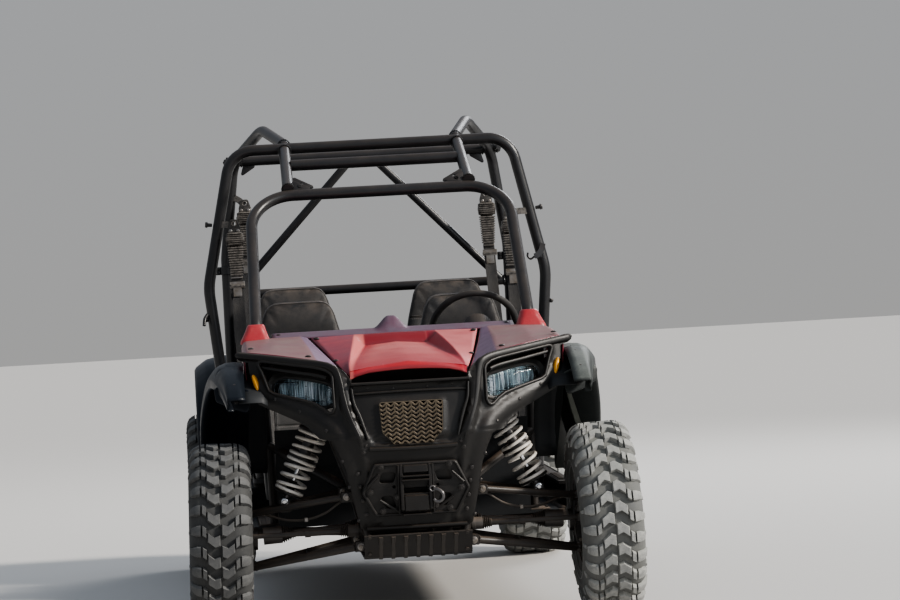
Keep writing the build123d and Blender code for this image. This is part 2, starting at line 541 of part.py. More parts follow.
# lamps: housing and lens in one closed body each, set in the bezels
LENS = [(470, 868), (466, 892), (446, 911), (385, 904), (300, 883), (277, 850), (282, 825), (310, 813), (400, 830), (462, 854)]
lamp_plan = poly_xy([(240, -1640), (300, -1603), (520, -1482), (520, -1385), (300, -1500), (240, -1520)], -500, 500)
lamp = solids(poly_xz(LENS, -1800, -1200).intersect(lamp_plan.moved(Location((0, 12, 690))).rotate(Axis(PIVOT, (1, 0, 0)), -11)))
lamp = cut(lamp, fascia + q)
lamp = [max(lamp, key=lambda s: s.volume)]
node("headlights", both(lamp))

# lower bumper plate, hook block and the fairlead boss on the fascia's nose
SPEC = [(-150, 600), (150, 600), (196, 500), (150, 410), (-150, 410), (-196, 500)]
plate = solids(poly_xz(SPEC, -1800, -1300).intersect(
    poly_xy([(-260, -1684), (260, -1684), (260, -1664), (-260, -1664)], -500, 500).moved(Location((0, 0, 690))).rotate(Axis(PIVOT, (1, 0, 0)), 10)))
boss = fuse([box(-52, 52, -1682, -1640, 540, 566), box(-48, 48, -1672, -1632, 424, 492)])
bump = cut(fuse(plate + boss), fascia)
bump = [max(bump, key=lambda s: s.volume)]
PATT_Z, PATT_X = 515.0, 76.2
bump = cut(bump, [rod((sx * PATT_X, -1720, PATT_Z), (sx * PATT_X, -1560, PATT_Z), 5.25) for sx in (-1, 1)])
node("front_bumper", bump)
NODES["front_fascia"] = cut(NODES["front_fascia"], [rod((sx * PATT_X, -1720, PATT_Z), (sx * PATT_X, -1500, PATT_Z), 5.25) for sx in (-1, 1)])
node("radiator", box(-180, 180, -1556, -1532, 520, 830))

# ------------------------------------------------------------------ wings
def arch(centre, table, x_in, t=13.0):
    """Wheel-arch flare from radial stations. Columns: angle (0 = rearwards, 90 = up), radius, outer X, drop of the edge."""
    wires = []
    for ang, r, xo, drop in table:
        a = math.radians(ang)
        cy, cz = centre
        f = lambda x, rr: (x, cy + rr * math.cos(a), cz + rr * math.sin(a))
        prof = [(x_in, r), (x_in + 50, r), (xo, r - drop * 0.62), (xo, r - drop), (xo - t, r - drop), (xo - t, r - drop * 0.62 - t * 0.4),
                (x_in + 48, r - t), (x_in, r - t)]
        wires.append(Wire.make_polygon([f(x, rr) for x, rr in prof], close=True))
    segs = [Solid.make_loft([wires[i], wires[i + 1]], True) for i in range(len(wires) - 1)]
    return fuse(segs)


FF = arch((-1250, 480), [(136, 530, 640, 56), (108, 492, 676, 78), (76, 486, 708, 88), (42, 452, 738, 80), (2, 452, 744, 60)], 576)
RF = arch((AXLE_R - 10, 470), [(176, 428, 757, 60), (138, 452, 757, 80), (100, 462, 757, 90), (64, 456, 757, 90), (36, 430, 750, 70)], 586)
node("front_fenders", cut(FF + [mirx(s) for s in FF], q + fascia + sill + [mirx(s) for s in sill]))
node("rear_fenders", cut(RF + [mirx(s) for s in RF], sill + [mirx(s) for s in sill] + side + frame + roof))

# ------------------------------------------------------------------ rear body
bed = box(-560, 560, 1050, 1690, 800, 985) - box(-548, 548, 1062, 1678, 812, 1100)
node("cargo_bed", cut(solids(bed), frame))
panel = [poly_yz([(1022, 800), (1015, 1010), (1120, 1020), (1690, 985), (1690, 830), (1560, 905), (1200, 925), (1080, 860)], 572, 584)]
panel = cut(panel, RF + roof)
node("rear_side_panels", both(panel))
tl = [box(430, 545, 1690.2, 1706, 850, 920)]
node("tail_lights", both(tl))
rb = solids(tube([(-250, 1655, 770), (-330, 1688, 700), (-330, 1688, 560), (330, 1688, 560), (330, 1688, 700), (250, 1655, 770)], [25, 60, 60, 25], 16))
TOW_Y, TOW_Z, TOW_R = 1676.0, 470.0, 8.2           # pin hole in the tow plate
tongue = poly_xy([(-60, 1540), (60, 1540), (34, 1668), (30, 1690), (18, 1702), (-18, 1702), (-30, 1690), (-34, 1668)], TOW_Z, TOW_Z + 10)
webs = [poly_yz([(1560, TOW_Z + 10), (1660, TOW_Z + 10), (1686, 548), (1672, 556), (1560, TOW_Z + 34)], s * 26 - 4, s * 26 + 4) for s in (-1, 1)]
props = both(rod((120, 1515, RAIL_Z + 12), (44, 1552, TOW_Z + 4), 12))
hb = fuse([tongue] + webs + rb + props)
hb = cut(hb, [rod((0, TOW_Y, TOW_Z - 20), (0, TOW_Y, TOW_Z + 30), TOW_R)])
node("rear_bumper", [s for s in cut(hb, frame + NODES["exhaust"] + NODES["rear_arms"]) if s.volume > 20000])

# ------------------------------------------------------------------ cabin
# columns: Y of the cushion's front and back, Z of its underside and top, top of the backrest
SEATS = {"front_seats": (-275, 170, 456, 590, 1170, 150), "rear_seats": (395, 840, 508, 642, 1222, 820)}
for name, (y0, y1, z0, z1, zt, yb) in SEATS.items():
    g = []
    for cx in (-SEAT_X, SEAT_X):
        x0, x1 = cx - SEAT_W / 2, cx + SEAT_W / 2
        base = poly_yz([(y0, z0), (y0 - 8, z1 - 30), (y0 + 30, z1 + 16), (y1 - 150, z1 - 8), (y1 - 60, z1 - 6), (y1 - 60, z0)], x0, x1)
        lean = (zt - z1) * 0.13
        back = poly_yz([(yb - 22, z1 + 2), (yb + lean - 36, zt - 20), (yb + lean - 10, zt), (yb + lean + 50, zt - 6),
                        (yb + lean + 56, zt - 60), (yb + 70, z0 + 70), (yb + 40, z0 + 10), (yb - 30, z0 + 10)], x0 + 5, x1 - 5)
        taper = poly_xz([(x0, z0), (x0, z0 + 330), (cx - 135, zt + 5), (cx + 135, zt + 5), (x1, z0 + 330), (x1, z0)], yb - 100, yb + 260)
        back = solids(back.intersect(taper))
        base = cut([base], back)
        base = [max(base, key=lambda s: s.volume)]
        g += base + back
    g = cut(g, main_hoop + roof + rear + NODES["floor_pan"])
    node(name, [s for s in g if s.volume > 100000])

belts = []
# columns: X, Y, Z of the retractor's top, then of the lower anchor
for x, y, z, xa, ya, za in ((556, 196, 1650, 566, 190, 560), (545, 905, 1620, 560, 880, 600)):
    g = [box(x - 28, x + 28, y - 62, y - 24, z - 150, z), box(x - 24, x + 24, y - 46, y - 43.5, za, z - 150),
         box(xa - 30, xa + 18, y - 52, y - 40, za - 40, za)]
    g = fuse(g)
    belts += g
belts = cut(belts + [mirx(s) for s in belts], main_hoop + roof + rear + NODES["front_seats"] + NODES["rear_seats"] + NODES["floor_pan"] + side)
node("seat_belts", [s for s in belts if s.volume > 5000])

console = fuse([poly_yz([(-640, FLOOR_Z + 10), (-640, 640), (-560, 690), (-430, 640), (-300, 560), (100, 540), (100, FLOOR_Z + 10)], -80, 80),
                rod((0, -540, 640), (0, -520, 800), 9), Solid.make_sphere(24).moved(Location((0, -518, 815)))])
node("centre_console", cut(console, NODES["floor_pan"] + NODES["front_seats"] + NODES["dashboard"]))
ped = []
for x in (250, 395):
    ped.append(fuse([box(x - 32, x + 32, -800, -792, 430, 530), rod((x, -800, 500), (x, -862, 640), 8), rod((x - 20, -862, 640), (x + 20, -862, 640), 12)]))
ped = [s for g in ped for s in g]
ped = cut(ped, NODES["floor_pan"] + frame)
node("pedals", [s for s in ped if s.volume > 5000])

# ------------------------------------------------------------------ write
for name, group in NODES.items():
    group = [s for s in group if s.volume > 1]
    shape = group[0] if len(group) == 1 else Compound(group)
    export_step(shape, f"parts/{name}.step")
print(len(NODES), "nodes; front wheel X", round(WHEEL_X_F, 2), "hub Z", round(HUB_ZF, 2), "rear wheel X", WHEEL_X_R)
print("steering column direction", tuple(round(v, 4) for v in COL))
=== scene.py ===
"""Looks of a four-seat dune buggy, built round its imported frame.

Lengths in the tables are millimetres; +X is the vehicle's left, the front faces -Y, the ground is z = 0.
"""
import bpy
import bmesh
import math
import random
from math import radians, sin, cos, tan, pi
import numpy as np
from mathutils import Vector, Matrix, Quaternion


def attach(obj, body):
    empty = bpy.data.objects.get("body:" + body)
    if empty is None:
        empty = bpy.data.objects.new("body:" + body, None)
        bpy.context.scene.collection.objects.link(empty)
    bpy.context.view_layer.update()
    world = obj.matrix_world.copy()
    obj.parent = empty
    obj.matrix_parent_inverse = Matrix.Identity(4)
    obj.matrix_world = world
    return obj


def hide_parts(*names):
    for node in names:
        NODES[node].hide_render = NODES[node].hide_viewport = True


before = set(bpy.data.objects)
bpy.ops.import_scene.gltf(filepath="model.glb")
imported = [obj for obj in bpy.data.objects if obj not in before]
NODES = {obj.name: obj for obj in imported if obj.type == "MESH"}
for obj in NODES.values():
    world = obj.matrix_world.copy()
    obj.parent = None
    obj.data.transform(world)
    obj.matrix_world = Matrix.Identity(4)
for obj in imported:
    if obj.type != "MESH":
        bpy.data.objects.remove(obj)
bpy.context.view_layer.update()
MM = 0.001


# ------------------------------------------------------------------ mesh helpers
def basis(n, up=None):
    n = Vector(n).normalized()
    if up is None:
        up = (0, 0, 1) if abs(n.z) < 0.9 else (0, 1, 0)
    a = Vector(up).cross(n).normalized()
    return a, n.cross(a), n


def smooth01(t):
    t = max(0.0, min(1.0, t))
    return t * t * (3 - 2 * t)


def interp(x, xs, ys):
    return float(np.interp(x, xs, ys))


class Kit:
    """Vertices and faces in millimetres, gathered for one joined piece."""

    def __init__(self):
        self.v, self.f, self.m = [], [], []
        self.mi = 0

    def add(self, verts, faces, M=None):
        n = len(self.v)
        if M is not None:
            verts = [M @ Vector(p) for p in verts]
        self.v += [tuple(p) for p in verts]
        self.f += [tuple(i + n for i in f) for f in faces]
        self.m += [self.mi] * len(faces)
        return self

    def mirror(self):
        """Adds the mirror image across X = 0."""
        n = len(self.v)
        self.v += [(-x, y, z) for x, y, z in self.v[:n]]
        m = len(self.f)
        self.f += [tuple(i + n for i in reversed(f)) for f in self.f[:m]]
        self.m += self.m[:m]
        return self

    # turned shapes
    def lathe(self, prof, o, n, segs=32, closed=False, up=None, a0=0.0):
        o = Vector(o)
        a, b, n = basis(n, up)
        verts, faces, rings = [], [], []
        for t, r in prof:
            if r < 1e-6:
                rings.append([len(verts)])
                verts.append(o + n * t)
            else:
                ring = []
                for k in range(segs):
                    th = a0 + 2 * pi * k / segs
                    ring.append(len(verts))
                    verts.append(o + n * t + a * (r * cos(th)) + b * (r * sin(th)))
                rings.append(ring)
        m = len(rings)
        for i in range(m if closed else m - 1):
            A, B = rings[i], rings[(i + 1) % m]
            if len(A) == 1 and len(B) == 1:
                continue
            for k in range(segs):
                k2 = (k + 1) % segs
                if len(A) == 1:
                    faces.append((A[0], B[k2], B[k]))
                elif len(B) == 1:
                    faces.append((A[k], A[k2], B[0]))
                else:
                    faces.append((A[k], A[k2], B[k2], B[k]))
        return self.add(verts, faces)

    def rod(self, p, q, r, r2=None, segs=20, ch=1.0):
        p, q = Vector(p), Vector(q)
        L = (q - p).length
        r2 = r if r2 is None else r2
        ch = min(ch, r * 0.4, r2 * 0.4, L * 0.2)
        return self.lathe([(0, 0), (0, r - ch), (ch, r), (L - ch, r2), (L, r2 - ch), (L, 0)], p, q - p, segs)

    def ring(self, o, n, R, r, t0, t1, segs=32, ch=1.0):
        """Annular block between radii r and R, from t0 to t1 along n."""
        return self.lathe([(t0, r + ch), (t0, R - ch), (t0 + ch, R), (t1 - ch, R), (t1, R - ch), (t1, r + ch), (t1 - ch, r), (t0 + ch, r)],
                          o, n, segs, closed=True)

    def torus(self, o, n, R, r, segs=48, rs=12, up=None):
        prof = [(r * sin(2 * pi * k / rs), R + r * cos(2 * pi * k / rs)) for k in range(rs)]
        return self.lathe(prof, o, n, segs, closed=True, up=up)

    def ball(self, o, r, segs=20, rings=10, n=(0, 0, 1), squash=1.0):
        prof = [(-r * squash * cos(pi * k / rings), r * sin(pi * k / rings) if 0 < k < rings else 0) for k in range(rings + 1)]
        return self.lathe(prof, o, n, segs)

    # swept shapes
    def sweep(self, pts, r=1.0, segs=12, closed=False, sect=None, ref=None, rs=None):
        """Tube or section along points. sect: (side, out) offsets; ref: direction kept as out; rs: scale at each point."""
        P = [Vector(p) for p in pts]
        n = len(P)
        T = []
        for i in range(n):
            if closed:
                t = (P[(i + 1) % n] - P[i]).normalized() + (P[i] - P[i - 1]).normalized()
            elif i == 0:
                t = P[1] - P[0]
            elif i == n - 1:
                t = P[-1] - P[-2]
            else:
                t = (P[i + 1] - P[i]).normalized() + (P[i] - P[i - 1]).normalized()
            T.append(t.normalized())
        if ref is None:
            out = [basis(T[0])[0]]
            for i in range(1, n):
                o = out[-1] - T[i] * out[-1].dot(T[i])
                out.append(o.normalized())
        else:
            refs = ref if isinstance(ref, list) else [ref] * n
            out = []
            for i in range(n):
                o = Vector(refs[i])
                o = o - T[i] * o.dot(T[i])
                out.append(o.normalized())
        if sect is None:
            sect = [(cos(2 * pi * k / segs), sin(2 * pi * k / segs)) for k in range(segs)]
        m = len(sect)
        verts, faces = [], []
        for i in range(n):
            side = T[i].cross(out[i])
            s = r * (rs[i] if rs else 1.0)
            sc = sect[i] if isinstance(sect[0][0], (tuple, list)) else sect
            m = len(sc)
            for a, b in sc:
                verts.append(P[i] + side * (a * s) + out[i] * (b * s))
        for i in range(n if closed else n - 1):
            j = (i + 1) % n
            for k in range(m):
                k2 = (k + 1) % m
                faces.append((i * m + k, i * m + k2, j * m + k2, j * m + k))
        if not closed:
            faces.append(tuple(range(m - 1, -1, -1)))
            faces.append(tuple((n - 1) * m + k for k in range(m)))
        return self.add(verts, faces)

    def loft(self, rings, cap=True, closed=False):
        """Closed cross-sections with the same number of points."""
        m = len(rings[0])
        verts = [p for r in rings for p in r]
        faces = []
        n = len(rings)
        for i in range(n if closed else n - 1):
            j = (i + 1) % n
            for k in range(m):
                k2 = (k + 1) % m
                faces.append((i * m + k, i * m + k2, j * m + k2, j * m + k))
        if cap and not closed:
            faces.append(tuple(range(m - 1, -1, -1)))
            faces.append(tuple((n - 1) * m + k for k in range(m)))
        return self.add(verts, faces)

    def box(self, x0, x1, y0, y1, z0, z1, c=1.5, M=None):
        """Block with chamfered edges."""
        hx, hy, hz = (x1 - x0) / 2, (y1 - y0) / 2, (z1 - z0) / 2
        c = min(c, hx * 0.45, hy * 0.45, hz * 0.45)
        mx, my, mz = (x0 + x1) / 2, (y0 + y1) / 2, (z0 + z1) / 2
        rings = []
        for z, i in ((-hz, c), (-hz + c, 0), (hz - c, 0), (hz, c)):
            k = c
            pts = [(-hx + i + k, -hy + i), (hx - i - k, -hy + i), (hx - i, -hy + i + k), (hx - i, hy - i - k),
                   (hx - i - k, hy - i), (-hx + i + k, hy - i), (-hx + i, hy - i - k), (-hx + i, -hy + i + k)]
            rings.append([Vector((mx + x, my + y, mz + z)) for x, y in pts])
        if M is not None:
            rings = [[M @ p for p in r] for r in rings]
        return self.loft(rings)

    def bolt(self, p, n, r=7.0, h=5.0, washer=True):
        """Hex head on a washer, sitting on p and pointing along n."""
        p = Vector(p)
        n = Vector(n).normalized()
        t = 0.0
        if washer:
            self.lathe([(-1.0, 0), (-1.0, r * 1.5), (1.0, r * 1.5), (1.6, r * 1.35), (1.6, 0)], p, n, 18)
            t = 1.5
        self.lathe([(t - 0.5, 0), (t - 0.5, r), (t + h * 0.8, r), (t + h, r * 0.84), (t + h, 0)], p, n, 6)
        return self

    def rivet(self, p, n, r=6.0, h=2.6):
        return self.lathe([(-1.5, 0), (-1.5, r), (0.4, r), (h * 0.75, r * 0.75), (h, r * 0.35), (h, 0)], Vector(p), n, 14)

    def plate(self, outer, holes=(), t=6.0, bevel=1.0, M=None, res=1):
        """Flat plate with holes, from local z = -t/2 to t/2."""
        cu = bpy.data.curves.new("tmp", "CURVE")
        cu.dimensions = "2D"
        cu.fill_mode = "BOTH"
        bevel = min(bevel, t * 0.45)
        cu.extrude = (t / 2 - bevel) if bevel > 0 else t / 2
        cu.bevel_depth = max(bevel, 0)
        cu.bevel_resolution = res
        cu.offset = -bevel if bevel > 0 else 0
        for loop in [outer, *holes]:
            sp = cu.splines.new("POLY")
            sp.points.add(len(loop) - 1)
            for i, (x, y) in enumerate(loop):
                sp.points[i].co = (x, y, 0, 1)
            sp.use_cyclic_u = True
        ob = bpy.data.objects.new("tmp", cu)
        me = bpy.data.meshes.new_from_object(ob)
        bm = bmesh.new()
        bm.from_mesh(me)
        bmesh.ops.remove_doubles(bm, verts=bm.verts, dist=0.01)
        bmesh.ops.dissolve_degenerate(bm, dist=0.005, edges=bm.edges)
        verts = [v.co.copy() for v in bm.verts]
        bm.verts.index_update()
        faces = [tuple(v.index for v in f.verts) for f in bm.faces]
        bm.free()
        bpy.data.meshes.remove(me)
        bpy.data.objects.remove(ob)
        bpy.data.curves.remove(cu)
        return self.add(verts, faces, M)


def circle(x, y, r, n=20):
    return [(x + r * cos(2 * pi * k / n), y + r * sin(2 * pi * k / n)) for k in range(n)]


def rounded_poly(pts, r, n=4):
    """Closed 2-D outline with rounded corners."""
    out = []
    m = len(pts)
    for i in range(m):
        A, B, C = Vector(pts[i - 1]), Vector(pts[i]), Vector(pts[(i + 1) % m])
        u, w = (A - B).normalized(), (C - B).normalized()
        ang = u.angle(w)
        if pi - ang < 0.03:
            out.append(tuple(B))
            continue
        rr = r[i] if isinstance(r, (list, tuple)) else r
        d = min(rr / tan(ang / 2), (A - B).length * 0.45, (C - B).length * 0.45)
        re = d * tan(ang / 2)
        c = B + (u + w).normalized() * (re / sin(ang / 2))
        s, e = B + u * d - c, B + w * d - c
        a0, a1 = math.atan2(s.y, s.x), math.atan2(e.y, e.x)
        da = (a1 - a0 + pi) % (2 * pi) - pi
        for k in range(n + 1):
            t = a0 + da * k / n
            out.append((c.x + re * cos(t), c.y + re * sin(t)))
    return out


def rounded_path(pts, radii, n=8):
    """Open 3-D line with rounded corners."""
    P = [Vector(p) for p in pts]
    out = [P[0]]
    for i in range(1, len(P) - 1):
        A, B, C = P[i - 1], P[i], P[i + 1]
        r = radii[i - 1] if isinstance(radii, (list, tuple)) else radii
        u, w = (A - B).normalized(), (C - B).normalized()
        ang = u.angle(w)
        if pi - ang < 0.01:
            out.append(B)
            continue
        d = min(r / tan(ang / 2), (A - B).length * 0.48, (C - B).length * 0.48)
        re = d * tan(ang / 2)
        c = B + (u + w).normalized() * (re / sin(ang / 2))
        v0, v1 = B + u * d - c, B + w * d - c
        tot = v0.angle(v1)
        ax = v0.cross(v1).normalized()
        for k in range(n + 1):
            out.append(c + Quaternion(ax, tot * k / n) @ v0)
    out.append(P[-1])
    return out


def bezier(P, n=24):
    """Catmull-Rom line through the points."""
    P = [Vector(p) for p in P]
    Q = [P[0] * 2 - P[1]] + P + [P[-1] * 2 - P[-2]]
    out = []
    per = max(2, n // (len(P) - 1))
    for i in range(1, len(Q) - 2):
        p0, p1, p2, p3 = Q[i - 1], Q[i], Q[i + 1], Q[i + 2]
        for k in range(per):
            t = k / per
            out.append(0.5 * ((2 * p1) + (p2 - p0) * t + (2 * p0 - 5 * p1 + 4 * p2 - p3) * t * t + (3 * p1 - p0 - 3 * p2 + p3) * t ** 3))
    out.append(P[-1])
    return out


def frame_matrix(o, x, y, z):
    M = Matrix.Identity(4)
    for i, c in enumerate((x, y, z)):
        for j in range(3):
            M[j][i] = c[j]
    for j in range(3):
        M[j][3] = o[j]
    return M


def look(o, n, up=None):
    a, b, n = basis(n, up)
    return frame_matrix(Vector(o), a, b, n)


def make(kit, name, mats, body="root", slot=None, angle=38, bevel=0.0, bang=35, subsurf=0, recalc=True, weld=0.0, solid=0.0, tri=False):
    """Turns a kit into a piece: shading, materials, modifiers and body. The slot argument is not used."""
    me = bpy.data.meshes.new(name)
    me.from_pydata([(x * MM, y * MM, z * MM) for x, y, z in kit.v], [], kit.f)
    me.validate()
    mats = mats if isinstance(mats, (list, tuple)) else [mats]
    for m in mats:
        me.materials.append(m)
    if len(kit.m) == len(me.polygons):
        me.polygons.foreach_set("material_index", kit.m)
    bm = bmesh.new()
    bm.from_mesh(me)
    if weld:
        bmesh.ops.remove_doubles(bm, verts=bm.verts, dist=weld * MM)
    if recalc:
        bmesh.ops.recalc_face_normals(bm, faces=bm.faces)
    bm.to_mesh(me)
    bm.free()
    me.shade_smooth()
    me.set_sharp_from_angle(angle=radians(angle))
    ob = bpy.data.objects.new(name, me)
    bpy.context.scene.collection.objects.link(ob)
    if solid:
        m = ob.modifiers.new("thick", "SOLIDIFY")
        m.thickness = solid * MM
        m.offset = -1
        m.use_even_offset = True
        m.use_quality_normals = True
    if subsurf:
        m = ob.modifiers.new("sub", "SUBSURF")
        m.levels = m.render_levels = subsurf
    if bevel:
        m = ob.modifiers.new("bev", "BEVEL")
        m.width = bevel * MM
        m.segments = 2
        m.limit_method = "ANGLE"
        m.angle_limit = radians(bang)
        m.harden_normals = False
        m.use_clamp_overlap = True
    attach(ob, body)
    return ob


def apply_mods(ob):
    dg = bpy.context.evaluated_depsgraph_get()
    me = bpy.data.meshes.new_from_object(ob.evaluated_get(dg))
    old = ob.data
    ob.modifiers.clear()
    ob.data = me
    if old.users == 0:
        bpy.data.meshes.remove(old)
    return ob


# ------------------------------------------------------------------ materials
class Nodes:
    """Short names for the shader nodes used below."""

    def __init__(self, name):
        self.mat = bpy.data.materials.new(name)
        self.mat.use_nodes = True
        self.nt = self.mat.node_tree
        self.nt.nodes.clear()
        self.out = self.nt.nodes.new("ShaderNodeOutputMaterial")
        self.bsdf = self.nt.nodes.new("ShaderNodeBsdfPrincipled")
        self.nt.links.new(self.bsdf.outputs[0], self.out.inputs[0])
        self.tc = self.nt.nodes.new("ShaderNodeTexCoord")
        self.pos = self.tc.outputs["Object"]

    def link(self, a, b):
        self.nt.links.new(a, b)

    def put(self, sock, v):
        if isinstance(v, bpy.types.NodeSocket):
            self.link(v, sock)
        else:
            sock.default_value = (*v, 1.0) if isinstance(v, (tuple, list)) and len(v) == 3 and len(sock.default_value) == 4 else v

    def noise(self, scale, detail=4.0, rough=0.55, vec=None, dist=0.0):
        n = self.nt.nodes.new("ShaderNodeTexNoise")
        self.link(vec or self.pos, n.inputs["Vector"])
        n.inputs["Scale"].default_value = scale
        n.inputs["Detail"].default_value = detail
        n.inputs["Roughness"].default_value = rough
        n.inputs["Distortion"].default_value = dist
        return n.outputs["Fac"]

    def voronoi(self, scale, feature="F1", vec=None, out="Distance", rand=1.0):
        n = self.nt.nodes.new("ShaderNodeTexVoronoi")
        n.feature = feature
        self.link(vec or self.pos, n.inputs["Vector"])
        n.inputs["Scale"].default_value = scale
        n.inputs["Randomness"].default_value = rand
        return n.outputs[out]

    def wave(self, scale, direction="X", vec=None, dist=0.0, profile="SIN", kind="BANDS"):
        n = self.nt.nodes.new("ShaderNodeTexWave")
        n.wave_type = kind
        n.bands_direction = direction
        n.wave_profile = profile
        self.link(vec or self.pos, n.inputs["Vector"])
        n.inputs["Scale"].default_value = scale
        n.inputs["Distortion"].default_value = dist
        return n.outputs["Fac"]

    def math(self, op, a, b=0.0, clamp=False):
        n = self.nt.nodes.new("ShaderNodeMath")
        n.operation = op
        n.use_clamp = clamp
        self.put(n.inputs[0], a)
        self.put(n.inputs[1], b)
        return n.outputs[0]

    def rng(self, v, a, b, c=0.0, d=1.0):
        n = self.nt.nodes.new("ShaderNodeMapRange")
        self.put(n.inputs["Value"], v)
        for k, x in zip(("From Min", "From Max", "To Min", "To Max"), (a, b, c, d)):
            n.inputs[k].default_value = x
        return n.outputs["Result"]

    def mix(self, f, a, b):
        n = self.nt.nodes.new("ShaderNodeMix")
        n.data_type = "RGBA"
        self.put(n.inputs[0], f)
        self.put(n.inputs[6], a)
        self.put(n.inputs[7], b)
        return n.outputs[2]

    def sep(self, v):
        n = self.nt.nodes.new("ShaderNodeSeparateXYZ")
        self.link(v, n.inputs[0])
        return n.outputs

    def stretch(self, sx, sy, sz):
        n = self.nt.nodes.new("ShaderNodeMapping")
        self.link(self.pos, n.inputs["Vector"])
        n.inputs["Scale"].default_value = (sx, sy, sz)
        return n.outputs[0]

    def bump(self, h, strength, dist, prev=None):
        n = self.nt.nodes.new("ShaderNodeBump")
        n.inputs["Strength"].default_value = strength
        n.inputs["Distance"].default_value = dist
        self.link(h, n.inputs["Height"])
        if prev is not None:
            self.link(prev, n.inputs["Normal"])
        return n.outputs[0]

    def point(self):
        return self.nt.nodes.new("ShaderNodeNewGeometry").outputs["Pointiness"]


SAND = (0.43, 0.315, 0.225)


def material(name, c0, c1=None, rough=0.5, metal=0.0, dust=0.4, sand=SAND, big=3.0, grain=260.0, bump=0.25, depth=0.0005,
             coat=0.0, edge=0.0, edgec=(0.3, 0.29, 0.28), low=0.35, scratch=0.0, pattern=None, spec=0.5, sheen=0.0, film=0.0, rvar=0.12, level=(0.15, 1.0), zone=None, coat_rough=0.12):
    """Base colour with variation, dust by slope, height and patches, worn edges, grain in the bump."""
    N = Nodes(name)
    b = N.bsdf
    c1 = c1 or tuple(min(1.0, x * 1.35 + 0.006) for x in c0)
    n1 = N.noise(big, 5, 0.6)
    col = N.mix(N.rng(n1, 0.35, 0.65), c0, c1)
    if scratch:
        s = N.noise(90, 3, 0.7, vec=N.stretch(1.0, 0.05, 0.3), dist=0.6)
        sm = N.math("MULTIPLY", N.rng(s, 0.62, 0.72), scratch)
        col = N.mix(sm, col, tuple(min(1.0, x * 2.0 + 0.10) for x in c0))
    if pattern:
        col = pattern(N, col)
    if edge:
        e = N.rng(N.point(), 0.515, 0.60)
        e = N.math("MULTIPLY", e, N.rng(N.noise(70, 4, 0.7), 0.35, 0.6))
        col = N.mix(N.math("MULTIPLY", e, edge, True), col, edgec)
    up = N.rng(N.sep(N.tc.outputs["Normal"])[2], *level)
    lowz = N.rng(N.sep(N.pos)[2], 1.05, 0.15)
    patches = N.rng(N.noise(big * 4.5, 8, 0.66), 0.30, 0.72)
    fine = N.rng(N.noise(big * 60, 3, 0.6), 0.3, 0.7, 0.75, 1.2)
    m = N.math("ADD", N.math("ADD", 0.08 + film, N.math("MULTIPLY", up, 0.9)), N.math("MULTIPLY", lowz, low * 0.5))
    m = N.math("MULTIPLY", m, N.math("ADD", 0.6, N.math("MULTIPLY", patches, 0.7)))
    m = N.math("MULTIPLY", N.math("MULTIPLY", m, fine), dust, True)
    sandc = N.mix(n1, sand, tuple(x * 0.78 for x in sand))
    if zone:
        col, m, sandc = zone(N, col, m, sandc)
    N.link(N.mix(m, col, sandc), b.inputs["Base Color"])
    r = N.math("ADD", rough - rvar / 2, N.math("MULTIPLY", patches, rvar))
    r = N.math("ADD", r, N.math("MULTIPLY", m, N.math("SUBTRACT", 0.92, r)), True)
    N.link(r, b.inputs["Roughness"])
    if metal:
        N.link(N.math("MULTIPLY", metal, N.math("SUBTRACT", 1.0, m), True), b.inputs["Metallic"])
    b.inputs["Specular IOR Level"].default_value = spec
    if coat:
        b.inputs["Coat Weight"].default_value = coat
        b.inputs["Coat Roughness"].default_value = coat_rough
    if sheen:
        b.inputs["Sheen Weight"].default_value = sheen
        b.inputs["Sheen Roughness"].default_value = 0.5
    h = N.math("ADD", N.noise(grain, 3, 0.6), N.math("MULTIPLY", m, 0.8))
    N.link(N.bump(h, bump, depth), b.inputs["Normal"])
    N.mat.diffuse_color = (*c0, 1)
    return N.mat


MAT = {}
MAT["frame_black"] = material("frame_paint", (0.010, 0.010, 0.0104), rough=0.42, spec=0.42, dust=0.17, grain=180, bump=0.15, low=0.55)
MAT["nose_black"] = material("nose_paint", (0.0062, 0.0062, 0.0066), rough=0.5, spec=0.34, dust=0.09, grain=180, bump=0.15, low=0.3)
MAT["cage_black"] = material("cage_paint", (0.0085, 0.009, 0.0105), (0.013, 0.014, 0.0165), rough=0.36, dust=0.10, grain=140, bump=0.08, low=0.1, rvar=0.08)
MAT["plastic_black"] = material("black_plastic", (0.0065, 0.007, 0.0074), (0.011, 0.0112, 0.0115), rough=0.42, spec=0.36, dust=0.10, grain=420, bump=0.30, depth=0.0004, low=0.3)


def wing_painted_light_zone(N, col, m, sandc):
    """Painted light and shade: the flares on the +X side are lightened with extra pale dust as if sunlit, while those
    on the -X side are painted a darker bluish black as if in shade and carry almost no dust.
    """
    side = N.rng(N.sep(N.pos)[0], -0.2, 0.2)
    return N.mix(side, (0.007, 0.0095, 0.014), col), N.math("MULTIPLY", m, N.rng(side, 0.0, 1.0, 0.06, 1.7), True), sandc


# painted light and shade: pale dust heaped on the +X flares as if sunlit, darker -X flares as if shaded
MAT["wing_plastic"] = material("wing_plastic", (0.012, 0.0145, 0.0155), (0.020, 0.023, 0.024), rough=0.38, dust=0.26, grain=420, bump=0.25, depth=0.0004,
                               low=0.2, sand=(0.31, 0.33, 0.30), zone=wing_painted_light_zone, spec=0.2)
MAT["body_red"] = material("red_bodywork", (0.40, 0.006, 0.012), (0.33, 0.005, 0.014), rough=0.36, dust=0.42, film=0.30, sand=(0.60, 0.26, 0.24), grain=90, bump=0.04,
                           coat=0.20, coat_rough=0.2, scratch=0.2, low=0.05, rvar=0.10, level=(0.90, 0.985))


